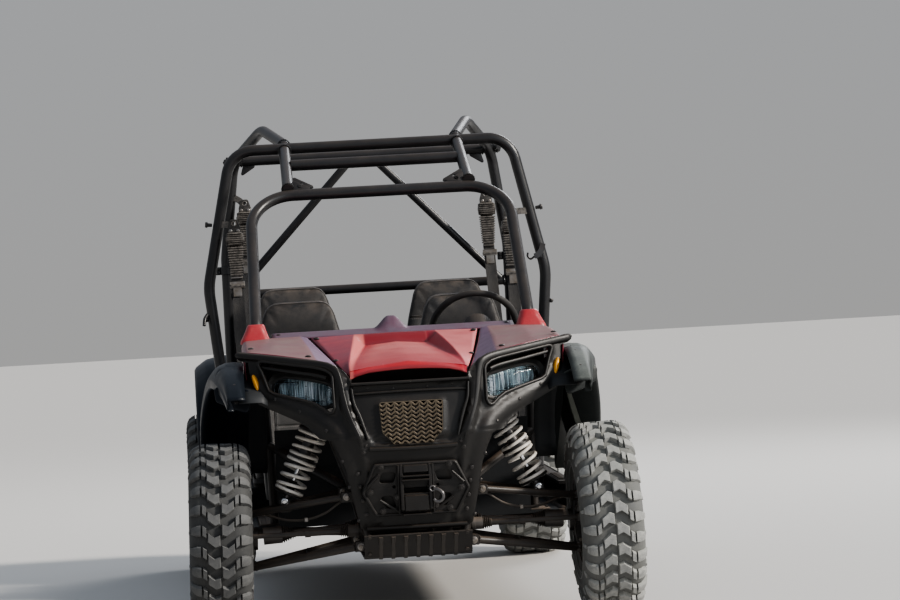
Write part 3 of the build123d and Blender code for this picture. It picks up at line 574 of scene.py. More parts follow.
def hood_dust_and_painted_light_zone(N, col, m, sandc):
    """Dust lies on the recessed floor and on the outer slopes, and the lip stays clean. Painted light and shade: the
    dust on the -X outer slope is painted dark as if shaded, the -X inner wall is painted salmon as if sunlit, the +X
    inner wall is painted dark as if shaded, and the back wall and the lip rolled under the front edge are darkened as
    painted shade.
    """
    p = N.sep(N.pos)
    ax = N.math("ABSOLUTE", p[0])
    wob = N.math("MULTIPLY", N.math("SUBTRACT", N.noise(14, 4, 0.6), 0.5), 0.05)
    outer = N.rng(N.math("SUBTRACT", ax, N.rng(p[1], -1.576, -0.80, 0.2085, 0.151)), -0.002, 0.002)
    foot = N.math("SUBTRACT", ax, N.rng(p[1], -1.576, -0.884, 0.190, 0.112))
    floor_ = N.math("MULTIPLY", N.rng(N.math("ADD", foot, wob), -0.045, 0.004, 1.0, 0.0), N.rng(N.math("ADD", p[1], wob), -1.585, -1.12, 0.06, 1.0))
    floor_ = N.math("MULTIPLY", floor_, N.rng(p[1], -0.880, -0.895, 0.0, 1.0))
    patch = N.rng(N.noise(9, 6, 0.62), 0.30, 0.70, 0.55, 1.15)
    fine_ = N.rng(N.noise(240, 3, 0.6), 0.3, 0.7, 0.82, 1.12)
    amt = N.math("ADD", N.math("MULTIPLY", floor_, 0.62), N.math("MULTIPLY", outer, 0.60))
    wall = N.math("MULTIPLY", N.math("SUBTRACT", 1.0, outer), N.rng(foot, 0.0, 0.008))
    amt = N.math("MULTIPLY", N.math("MULTIPLY", N.math("ADD", amt, 0.05), patch), fine_, True)
    side = N.rng(p[0], -0.02, 0.02)
    amt = N.math("ADD", amt, N.math("MULTIPLY", wall, N.rng(side, 0.0, 1.0, 0.62, 0.45)), True)
    # painted light and shade in the dust colour: dark on the -X outer slope and on the +X inner wall as if shaded,
    # salmon on the -X inner wall as if sunlit
    tint = N.mix(outer, (0.62, 0.215, 0.19), N.mix(side, (0.15, 0.058, 0.085), (0.60, 0.205, 0.19)))
    # painted shade: the back wall and the lip rolled under the front edge are darkened
    back = N.math("MULTIPLY", N.rng(p[1], -0.892, -0.880), N.math("SUBTRACT", 1.0, outer))
    return N.mix(N.math("MAXIMUM", back, N.rng(p[1], -1.590, -1.600)), col, (0.19, 0.004, 0.010)), amt, N.mix(wall, tint, N.mix(side, (0.62, 0.17, 0.15), (0.30, 0.018, 0.035)))


MAT["hood_red"] = material("hood_bodywork", (0.40, 0.006, 0.012), (0.33, 0.005, 0.014), rough=0.36, dust=0.5, grain=90, bump=0.04,
                           coat=0.12, coat_rough=0.25, scratch=0.2, low=0.05, rvar=0.10, zone=hood_dust_and_painted_light_zone)


def quarter_dust_and_painted_reflection_zone(N, col, m, sandc):
    """The strip inside the crease is cleaner and glossier, and it is painted a dark bluish purple as painted shade with
    a painted sky reflection; the broad top carries beige dust.
    """
    p = N.sep(N.pos)
    ax = N.math("ABSOLUTE", p[0])
    front_ = N.rng(p[1], -0.70, -0.74, 0.0, 1.0)
    inner = N.math("MULTIPLY", N.rng(N.math("SUBTRACT", ax, N.rng(p[1], -1.54, -0.78, 0.318, 0.352)), -0.006, 0.004, 1.0, 0.0), front_)
    # painted shade with a painted sky reflection: the inner strip is tinted dark bluish purple
    col = N.mix(inner, col, (0.135, 0.050, 0.115))
    m = N.math("MULTIPLY", m, N.rng(inner, 0.0, 1.0, 1.0, 0.42))
    return col, m, N.mix(inner, sandc, (0.20, 0.165, 0.23))


MAT["quarter_red"] = material("quarter_bodywork", (0.20, 0.012, 0.028), (0.15, 0.012, 0.036), rough=0.34, dust=0.70, sand=(0.245, 0.180, 0.16), grain=90, bump=0.04,
                              coat=0.18, coat_rough=0.2, scratch=0.3, low=0.1, level=(0.80, 0.99), zone=quarter_dust_and_painted_reflection_zone)
MAT["grille_metal"] = material("grille_mesh", (0.108, 0.089, 0.060), (0.076, 0.060, 0.041), rough=0.5, metal=0.35, dust=0.35, grain=300, bump=0.2)
MAT["bare_aluminium"] = material("bare_aluminium", (0.40, 0.40, 0.41), (0.30, 0.30, 0.31), rough=0.42, metal=0.9, dust=0.25, grain=200, bump=0.2)
MAT["engine_metal"] = material("cast_metal", (0.085, 0.085, 0.087), (0.05, 0.05, 0.049), rough=0.52, metal=0.6, dust=0.38, grain=170, bump=0.5, depth=0.0007)
MAT["exhaust_steel"] = material("exhaust_steel", (0.28, 0.25, 0.215), (0.16, 0.12, 0.09), rough=0.42, metal=0.9, dust=0.3, grain=120, bump=0.2, big=7)
MAT["shock_metal"] = material("shock_steel", (0.16, 0.16, 0.165), (0.11, 0.11, 0.115), rough=0.33, metal=0.85, dust=0.25, grain=120, bump=0.1)
MAT["chrome"] = material("chrome_rod", (0.72, 0.72, 0.73), (0.62, 0.62, 0.63), rough=0.14, metal=1.0, dust=0.1, grain=60, bump=0.03, rvar=0.05)
MAT["bolt_steel"] = material("bolt_steel", (0.32, 0.31, 0.30), (0.18, 0.155, 0.13), rough=0.36, metal=0.9, dust=0.2, grain=300, bump=0.2, big=25)
MAT["dark_bolt"] = material("dark_bolt", (0.045, 0.045, 0.047), (0.03, 0.03, 0.03), rough=0.34, metal=0.7, dust=0.15, grain=300, bump=0.2, big=25)
MAT["spring_white"] = material("spring_enamel", (0.78, 0.75, 0.70), (0.62, 0.58, 0.52), rough=0.34, dust=0.30, grain=160, bump=0.12, big=9, sand=(0.36, 0.28, 0.21))
MAT["grip_rubber"] = material("grip_rubber", (0.011, 0.011, 0.011), rough=0.66, dust=0.12, grain=700, bump=0.5, depth=0.0005, low=0.0)
MAT["liner_black"] = material("liner_plastic", (0.0075, 0.009, 0.011), rough=0.6, dust=0.10, grain=300, bump=0.3, sand=(0.14, 0.14, 0.135))
MAT["boot_rubber"] = material("boot_rubber", (0.014, 0.0135, 0.013), rough=0.62, dust=0.3, grain=300, bump=0.3)
MAT["rim_alloy"] = material("rim_alloy", (0.05, 0.051, 0.054), (0.034, 0.034, 0.036), rough=0.36, metal=0.75, dust=0.30, grain=200, bump=0.15, edge=0.6, edgec=(0.36, 0.36, 0.37))
MAT["disc_steel"] = material("disc_steel", (0.38, 0.37, 0.36), (0.26, 0.24, 0.22), rough=0.30, metal=1.0, dust=0.2, grain=500, bump=0.15, scratch=0.3)
# painted light: the tyres on the +X side get a lighter carcass and lugs and paler dust, a sunlit copy of the rubber,
# while those on the other side stay darker as if in shade
for side_, k0, k1 in (("", 1.0, 1.0), ("_painted_sunlit", 3.8, 2.15)):
    MAT["tyre_rubber" + side_] = material("tyre_carcass" + side_, (0.015 * k0, 0.016 * k0, 0.017 * k0), (0.023 * k0, 0.024 * k0, 0.025 * k0), rough=0.74, dust=0.46, grain=260, bump=0.5,
                                          depth=0.0009, big=6, sand=(0.135 * k1, 0.134 * k1, 0.128 * k1 * (0.93 if side_ else 1.0)), film=0.45)
    MAT["tyre_lug" + side_] = material("tyre_lug" + side_, (0.032 * k0, 0.033 * k0, 0.035 * k0), (0.048 * k0, 0.049 * k0, 0.051 * k0), rough=0.66, dust=0.46, grain=330, bump=0.5,
                                       depth=0.0010, big=9, sand=(0.20 * k1, 0.20 * k1, 0.195 * k1 * (0.92 if side_ else 1.0)), film=0.42, edge=0.6,
                                       edgec=(0.105 * k0, 0.105 * k0, 0.10 * k0))
MAT["belt_dark"] = material("reel_plastic", (0.016, 0.0155, 0.015), (0.030, 0.028, 0.026), rough=0.55, dust=0.22, grain=300, bump=0.3, sand=(0.30, 0.25, 0.20), low=0.0, edge=0.8, edgec=(0.17, 0.155, 0.14))
MAT["dash_plastic"] = material("dash_plastic", (0.013, 0.013, 0.0135), rough=0.5, dust=0.16, grain=520, bump=0.4, depth=0.0004, low=0.0)
MAT["amber"] = material("amber_lens", (0.80, 0.36, 0.01), (0.70, 0.29, 0.008), rough=0.18, dust=0.12, grain=300, bump=0.05, coat=0.5)
MAT["red_lens"] = material("red_lens", (0.50, 0.012, 0.012), (0.40, 0.008, 0.01), rough=0.16, dust=0.2, grain=300, bump=0.05, coat=0.5)
MAT["switch_plastic"] = material("switch_plastic", (0.025, 0.025, 0.027), rough=0.35, dust=0.1, grain=300, bump=0.1, low=0.0)


def vinyl(name, c0, c1, dust):
    """Grained seat vinyl: cells of leather grain, soft creases, dust on the upper side."""
    N = Nodes(name)
    b = N.bsdf
    cells = N.voronoi(520, "DISTANCE_TO_EDGE")
    cre = N.noise(14, 6, 0.65, dist=0.7)
    col = N.mix(N.rng(N.noise(4, 4, 0.6), 0.35, 0.65), c0, c1)
    col = N.mix(N.math("MULTIPLY", N.rng(cells, 0.0, 0.12, 1.0, 0.0), 0.35), col, tuple(x * 0.4 for x in c0))
    up = N.rng(N.sep(N.tc.outputs["Normal"])[2], 0.1, 0.95)
    m = N.math("MULTIPLY", N.math("MULTIPLY", N.math("ADD", 0.2, up), N.rng(N.noise(16, 8, 0.7), 0.35, 0.7)), dust, True)
    N.link(N.mix(m, col, (0.40, 0.31, 0.24)), b.inputs["Base Color"])
    N.link(N.math("ADD", N.math("MULTIPLY", m, 0.35), N.rng(cre, 0.3, 0.7, 0.42, 0.58), True), b.inputs["Roughness"])
    h = N.math("ADD", N.rng(cells, 0.0, 0.25), N.math("MULTIPLY", cre, 1.5))
    N.link(N.bump(h, 0.35, 0.0006), b.inputs["Normal"])
    b.inputs["Specular IOR Level"].default_value = 0.45
    return N.mat


def webbing(name, c0):
    """Woven strap: twill ribs across fine lengthwise cords."""
    N = Nodes(name)
    b = N.bsdf
    w1 = N.wave(420, "Z")
    w2 = N.wave(300, "DIAGONAL")
    col = N.mix(N.math("MULTIPLY", w1, w2), c0, tuple(x * 2.2 + 0.01 for x in c0))
    m = N.math("MULTIPLY", N.rng(N.noise(12, 7, 0.7), 0.38, 0.7), 0.16, True)
    N.link(N.mix(m, col, (0.20, 0.17, 0.14)), b.inputs["Base Color"])
    b.inputs["Roughness"].default_value = 0.8
    b.inputs["Sheen Weight"].default_value = 0.25
    N.link(N.bump(N.math("ADD", w1, w2), 0.5, 0.0005), b.inputs["Normal"])
    return N.mat


MAT["seat_vinyl"] = vinyl("seat_vinyl", (0.016, 0.016, 0.017), (0.027, 0.0265, 0.0265), 0.26)
MAT["seat_panel"] = vinyl("seat_panel", (0.060, 0.059, 0.058), (0.085, 0.083, 0.08), 0.28)
MAT["piping"] = material("seat_piping", (0.030, 0.030, 0.031), rough=0.45, dust=0.2, grain=500, bump=0.3, low=0.0)
MAT["thread"] = material("seat_thread", (0.17, 0.165, 0.16), rough=0.8, dust=0.2, grain=900, bump=0.4, low=0.0)
MAT["belt_webbing"] = webbing("belt_webbing", (0.014, 0.014, 0.015))


def clear(name, tint, rough=0.04):
    """Clear lens plastic with a little dust on it."""
    N = Nodes(name)
    b = N.bsdf
    b.inputs["Transmission Weight"].default_value = 1.0
    b.inputs["IOR"].default_value = 1.25
    m = N.math("MULTIPLY", N.rng(N.noise(22, 7, 0.7), 0.40, 0.75), 0.22, True)
    N.link(N.mix(m, tint, (0.62, 0.55, 0.48)), b.inputs["Base Color"])
    N.link(N.math("ADD", rough, N.math("MULTIPLY", m, 0.45), True), b.inputs["Roughness"])
    N.link(N.bump(N.noise(60, 2, 0.5), 0.06, 0.0005), b.inputs["Normal"])
    return N.mat


MAT["lamp_glass"] = clear("lamp_lens", (0.97, 0.99, 1.0))


def painted_reflection_streaks(N, col):
    """Painted reflections along the reflector's upright flutes: bright, teal and dark bands of uneven width."""
    a = N.rng(N.noise(1.0, 3, 0.55, vec=N.stretch(105, 30, 7)), 0.40, 0.60)
    b = N.rng(N.noise(1.0, 2, 0.5, vec=N.stretch(52, 16, 5)), 0.42, 0.62)
    col = N.mix(a, (0.055, 0.105, 0.13), (0.42, 0.56, 0.62))
    return N.mix(N.math("MULTIPLY", a, b), col, (0.93, 0.97, 1.0))


# painted reflections: the reflector's colour carries bright, teal and dark upright bands
MAT["reflector"] = material("lamp_reflector", (0.62, 0.74, 0.78), (0.40, 0.54, 0.60), rough=0.30, metal=0.25, dust=0.03, grain=60, bump=0.04, big=16, rvar=0.06, low=0.0, pattern=painted_reflection_streaks)
MAT["gauge_face"] = material("gauge_face", (0.02, 0.021, 0.023), rough=0.25, dust=0.2, grain=60, bump=0.03, low=0.0, coat=0.6)
MAT["gauge_mark"] = material("gauge_mark", (0.70, 0.70, 0.66), rough=0.4, dust=0.1, grain=60, bump=0.02, low=0.0)


# ------------------------------------------------------------------ camera, floor and lights
ROLL, YAW, PITCH, FOCAL, DIST = radians(3.2), radians(4.07), radians(0.49), 3490.0, 12500.0
W0 = Vector((sin(ROLL), 0, cos(ROLL)))
R0 = Vector((cos(ROLL), 0, -sin(ROLL)))
F0 = Vector((0, cos(YAW), 0)) + R0 * sin(YAW)
RIGHT = R0 * cos(YAW) - Vector((0, sin(YAW), 0))
FWD = F0 * cos(PITCH) - W0 * sin(PITCH)
UP = F0 * sin(PITCH) + W0 * cos(PITCH)
EYE = Vector((0, -1364, 0)) - (FWD + RIGHT * ((419 - 450) / FOCAL) - UP * ((624 - 300) / FOCAL)) * DIST

cd = bpy.data.cameras.new("camera")
cam = bpy.data.objects.new("camera", cd)
bpy.context.scene.collection.objects.link(cam)
cam.matrix_world = frame_matrix(EYE * MM, RIGHT, UP, -FWD)
cd.sensor_fit = "HORIZONTAL"
cd.sensor_width = 36.0
cd.lens = FOCAL / 900 * 36.0
cd.clip_start, cd.clip_end = 0.5, 120.0
bpy.context.scene.camera = cam

fm = bpy.data.meshes.new("floor")
S = 40.0
fm.from_pydata([(-S, -S, 0), (S, -S, 0), (S, S, 0), (-S, S, 0)], [], [(0, 1, 2, 3)])
floor = bpy.data.objects.new("floor", fm)
bpy.context.scene.collection.objects.link(floor)
fN = Nodes("floor")
fN.bsdf.inputs["Base Color"].default_value = (0.62, 0.60, 0.57, 1)
fN.bsdf.inputs["Roughness"].default_value = 0.85
fm.materials.append(fN.mat)

world = bpy.data.worlds.new("world")
bpy.context.scene.world = world
world.use_nodes = True
wn = world.node_tree
bg = wn.nodes["Background"]
sky = wn.nodes.new("ShaderNodeTexGradient")
tc = wn.nodes.new("ShaderNodeTexCoord")
mp = wn.nodes.new("ShaderNodeMapping")
mp.inputs["Rotation"].default_value = (0, radians(90), 0)
mp.inputs["Location"].default_value = (0.15, 0, 0)
ramp = wn.nodes.new("ShaderNodeValToRGB")
ramp.color_ramp.elements[0].position = 0.0
ramp.color_ramp.elements[0].color = (0.62, 0.60, 0.57, 1)
ramp.color_ramp.elements[1].position = 0.75
ramp.color_ramp.elements[1].color = (0.62, 0.70, 0.82, 1)
wn.links.new(tc.outputs["Generated"], mp.inputs["Vector"])
wn.links.new(mp.outputs[0], sky.inputs["Vector"])
wn.links.new(sky.outputs["Fac"], ramp.inputs["Fac"])
wn.links.new(ramp.outputs[0], bg.inputs["Color"])
bg.inputs["Strength"].default_value = 0.56


def area(name, loc, target, size, power, colour):
    d = bpy.data.lights.new(name, "AREA")
    d.shape = "DISK"
    d.size = size
    d.energy = power
    d.color = colour
    o = bpy.data.objects.new(name, d)
    bpy.context.scene.collection.objects.link(o)
    o.location = loc
    o.rotation_mode = "QUATERNION"
    o.rotation_quaternion = (Vector(loc) - Vector(target)).to_track_quat("Z", "Y")
    return o


def sun(name, direction, power, angle, colour):
    """Soft parallel light travelling along direction."""
    d = bpy.data.lights.new(name, "SUN")
    d.energy = power
    d.angle = radians(angle)
    d.color = colour
    o = bpy.data.objects.new(name, d)
    bpy.context.scene.collection.objects.link(o)
    o.rotation_mode = "QUATERNION"
    o.rotation_quaternion = (-Vector(direction)).to_track_quat("Z", "Y")
    return o


sun("key", (-0.80, 0.36, -0.48), 4.3, 7, (1.0, 0.95, 0.88))
area("fill", (5.0, -8.5, 4.2), (0, -0.6, 0.8), 5.0, 130, (0.92, 0.95, 1.0))
area("rim", (4.5, 7.0, 6.0), (0, 0.4, 1.0), 4.0, 300, (0.95, 0.97, 1.0))
bpy.context.scene.view_settings.view_transform = "AgX"
bpy.context.scene.view_settings.look = "AgX - Medium High Contrast"
bpy.context.scene.view_settings.exposure = 0.0

# ------------------------------------------------------------------ materials of the carried-over nodes
NODE_MATS = {
    "chassis_frame": "frame_black", "front_frame": "frame_black", "rear_frame": "frame_black", "skid_plate": "nose_black",
    "front_hoop": "cage_black", "main_hoop": "cage_black", "roof_rails": "cage_black", "rear_brace": "cage_black",
    "side_bars": "cage_black", "grab_bar": "grip_rubber", "front_bumper": "frame_black", "rear_bumper": "frame_black",
    "floor_pan": "liner_black", "side_sills": "plastic_black", "centre_console": "dash_plastic", "dashboard": "dash_plastic",
    "cowl_panel": "plastic_black", "quarter_panels": "quarter_red", "hood": "hood_red", "front_fascia": "plastic_black",
    "front_grille": "grille_metal", "headlights": "lamp_glass", "tail_lights": "red_lens", "front_fenders": "wing_plastic",
    "rear_fenders": "wing_plastic", "cargo_bed": "plastic_black", "rear_side_panels": "quarter_red", "front_arms": "frame_black",
    "rear_arms": "frame_black", "knuckle_left": "dark_bolt", "knuckle_right": "dark_bolt", "tie_rods": "frame_black",
    "steering_rack": "engine_metal", "shock_absorbers": "shock_metal", "coil_springs": "spring_white", "driveline": "engine_metal",
    "engine": "engine_metal", "exhaust": "exhaust_steel", "radiator": "bare_aluminium", "pedals": "frame_black",
    "steering_column": "plastic_black", "steering_wheel": "grip_rubber", "front_seats": "seat_vinyl", "rear_seats": "seat_vinyl",
    "seat_belts": "belt_webbing", "brake_hoses": "boot_rubber",
    "rim_front_left": "rim_alloy", "rim_front_right": "rim_alloy", "rim_rear_left": "rim_alloy", "rim_rear_right": "rim_alloy",
    "tyre_front_left": "tyre_rubber", "tyre_front_right": "tyre_rubber", "tyre_rear_left": "tyre_rubber", "tyre_rear_right": "tyre_rubber",
}
for n, o in NODES.items():
    o.data.materials.clear()
    o.data.materials.append(MAT[NODE_MATS[n]])
    o.data.polygons.foreach_set("material_index", [0] * len(o.data.polygons))
for n in ("chassis_frame", "front_frame", "rear_frame", "skid_plate", "side_sills", "centre_console", "floor_pan", "cargo_bed", "rear_arms", "front_bumper"):
    m = NODES[n].modifiers.new("bev", "BEVEL")
    m.width = 0.0022
    m.segments = 2
    m.limit_method = "ANGLE"
    m.angle_limit = radians(45)


# ------------------------------------------------------------------ wheels
CAMBER = 2.0
WHEELS = {
    # name: centre, side (+1 left), tyre half width, rim half, dish of the face, camber
    "front_left": ((689.95, -1364, 344.62), 1, 114.5, 89, 34, CAMBER),
    "front_right": ((-689.95, -1364, 344.62), -1, 114.5, 89, 34, CAMBER),
    "rear_left": ((673.5, 1364, 343), 1, 139.5, 101.5, 30, 0.0),
    "rear_right": ((-673.5, 1364, 343), -1, 139.5, 101.5, 30, 0.0),
}
R_T, R_BEAD = 343.0, 152.0


def wheel_matrix(c, side, camber):
    """Local frame: z outboard along the axle, x up at angle 0."""
    a = radians(camber)
    ax = Vector((side * cos(a), 0, sin(a)))
    upv = Vector((0, 0, 1))
    upv = (upv - ax * upv.dot(ax)).normalized()
    return frame_matrix(Vector(c), upv, ax.cross(upv), ax)


def tyre_shell(h, rim):
    """Outer line of the CAD tyre as (z, r), outboard half."""
    b = R_BEAD
    return [(rim / 2, b), (rim / 2, b + 17), (h - 3, b + 48), (h, b + 95), (h - 5, R_T - 42), (h - 18, R_T - 18), (h - 40, R_T - 4), (h - 62, R_T)]




def make_tyre(name, c, side, h, rimh, camber):
    M = wheel_matrix(c, side, camber)
    k = Kit()
    b = R_BEAD
    deep = 17.0
    # carcass, outboard half profile then mirrored
    half = [(0, R_T - deep), (h * 0.45, R_T - deep), (h - 58, R_T - deep - 1), (h - 38, R_T - 22), (h - 22, R_T - 36), (h - 12, R_T - 54),
            (h - 7, R_T - 74), (h - 4.5, b + 100), (h - 4.5, b + 84), (h - 3, b + 80), (h - 3, b + 73), (h - 5, b + 69), (h - 6, b + 52), (h - 10, b + 42),
            (h - 16, b + 33), (rimh + 9, b + 26), (rimh + 4, b + 19), (rimh + 1, b + 12), (rimh, b + 2), (rimh - 4, b)]
    inner = [(rimh - 12, b + 1), (rimh - 8, b + 20), (h - 22, b + 45), (h - 14, b + 95), (h - 26, R_T - 48), (h - 50, R_T - 34), (0, R_T - 32)]
    full = [(-z, r) for z, r in reversed(half[1:])] + half + inner + [(-z, r) for z, r in reversed(inner[:-1])]
    k.lathe(full, (0, 0, 0), (0, 0, 1), 112, closed=True, up=(0, 1, 0))
    n_side = len(k.f)
    # tread
    N = 28
    dth = 2 * pi / N
    RT = R_T

    def surf(z, raise_):
        """Radius of the tyre's outer surface at |z|. The raise_ argument is not used."""
        a = abs(z)
        rr = interp(a, [0, h - 62, h - 40, h - 18, h - 5, h - 1.2], [RT, RT, RT - 4, RT - 18, RT - 42, b + 96])
        return rr

    def block(points, base):
        """points: (z, angle) outline seen from outside; top on the tyre's surface, tapered down to base."""
        zc = sum(p[0] for p in points) / len(points)
        tc_ = sum(p[1] for p in points) / len(points)
        rings = []
        for f, d in ((1.10, None), (1.03, 3.2), (1.0, 1.2), (0.94, 0.0)):
            ring = []
            for z, t in points:
                zz = zc + (z - zc) * f
                tt = tc_ + (t - tc_) * f
                r = surf(zz, 1) - (d if d is not None else 0)
                if d is None:
                    r = base(zz)
                ring.append((r * cos(tt), r * sin(tt), zz))
            rings.append(ring)
        k.loft(rings)

    def base(z):
        return interp(abs(z), [0, h - 58, h - 38, h - 22, h - 12], [RT - deep - 2, RT - deep - 3, RT - 24, RT - 38, RT - 56])

    for i in range(N):
        t0 = i * dth
        for s in (1, -1):
            ph = t0 + (dth / 2 if s < 0 else 0)
            w = dth
            # centre lug: slanted block with a stepped nose
            block([(s * 4, ph + 0.06 * w), (s * 20, ph - 0.02 * w), (s * (h * 0.40), ph + 0.24 * w), (s * (h * 0.40), ph + 0.66 * w),
                   (s * 24, ph + 0.44 * w), (s * 4, ph + 0.54 * w)][::s], base)
            # middle lug
            z1, z2 = h * 0.45, h - 50
            if z2 - z1 > 12:
                block([(s * z1, ph + 0.44 * w), (s * z2, ph + 0.56 * w), (s * z2, ph + 1.0 * w), (s * z1, ph + 0.88 * w)][::s], base)
            # shoulder lug wrapping to the sidewall
            long = i % 2 == 0
            zs = [h - 44, h - 30, h - 18, h - 9, h - 3.5] if long else [h - 44, h - 30, h - 18, h - 10.5]
            rads = [RT - 3.2, RT - 9.5, RT - 18.5, RT - 36, RT - 62] if long else [RT - 3.2, RT - 9.5, RT - 18.5, RT - 33]
            a0, a1 = ph + 0.56 * w, ph + 1.0 * w
            rings = []
            for j, (z, r) in enumerate(zip(zs, rads)):
                sh = 0.0 if j < 2 else 0.03 * w * (j - 1)
                ta, tb = a0 + sh, a1 - sh
                # inner points lie under the carcass surface
                dz = 5 + 5 * j
                dr = 15 if j < 2 else (13 if j < 3 else 7)
                ri, zi = r - dr, z - (0 if j < 2 else dz * 0.7)
                c1 = 0.05 * w
                e = 1.6
                ring = [(ri * cos(ta - c1), ri * sin(ta - c1), s * zi), ((r - e) * cos(ta), (r - e) * sin(ta), s * z),
                        (r * cos(ta + c1), r * sin(ta + c1), s * z), (r * cos(tb - c1), r * sin(tb - c1), s * z),
                        ((r - e) * cos(tb), (r - e) * sin(tb), s * z), (ri * cos(tb + c1), ri * sin(tb + c1), s * zi)]
                rings.append(ring)
            k.loft(rings)
            # small sidewall biters
            if not long:
                za, ra, rb = h - 4.2, RT - 60, RT - 84
                ring = []
                for r, z in ((ra, h - 7.5), (rb, h - 3.6)):
                    ring.append([(r * cos(a0 + 0.1 * w), r * sin(a0 + 0.1 * w), s * (z - 6)), (r * cos(a0 + 0.14 * w), r * sin(a0 + 0.14 * w), s * (z + 1.8)),
                                 (r * cos(a1 - 0.14 * w), r * sin(a1 - 0.14 * w), s * (z + 1.8)), (r * cos(a1 - 0.1 * w), r * sin(a1 - 0.1 * w), s * (z - 6))])
                k.loft(ring)
    # ribs round the sidewall
    for s in (1, -1):
        for rr, zz in ((b + 62, h - 5.2), (b + 40, h - 11.5)):
            k.torus((0, 0, s * zz), (0, 0, 1), rr, 1.8, 96, 6, up=(0, 1, 0))
        for i in range(72):
            t = 2 * pi * i / 72
            r1, r2 = b + 44, b + 58
            z1, z2 = h - 9.2, h - 6.0
            w = 0.012
            k.loft([[(r1 * cos(t - w), r1 * sin(t - w), s * (z1 - 3)), (r1 * cos(t), r1 * sin(t), s * (z1 + 0.8)), (r1 * cos(t + w), r1 * sin(t + w), s * (z1 - 3))],
                    [(r2 * cos(t - w), r2 * sin(t - w), s * (z2 - 3)), (r2 * cos(t), r2 * sin(t), s * (z2 + 0.8)), (r2 * cos(t + w), r2 * sin(t + w), s * (z2 - 3))]])
    k.v = [tuple(M @ Vector(p)) for p in k.v]
    k.m = [0] * n_side + [1] * (len(k.f) - n_side)
    # painted light: the +X tyres take the lighter, sunlit copy of the rubber
    side_ = "_painted_sunlit" if c[0] > 0 else ""
    ob = make(k, "tyre_look_" + name, [MAT["tyre_rubber" + side_], MAT["tyre_lug" + side_]], name + "_wheel", "tyre_rubber", angle=32)
    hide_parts("tyre_" + name)
    return ob


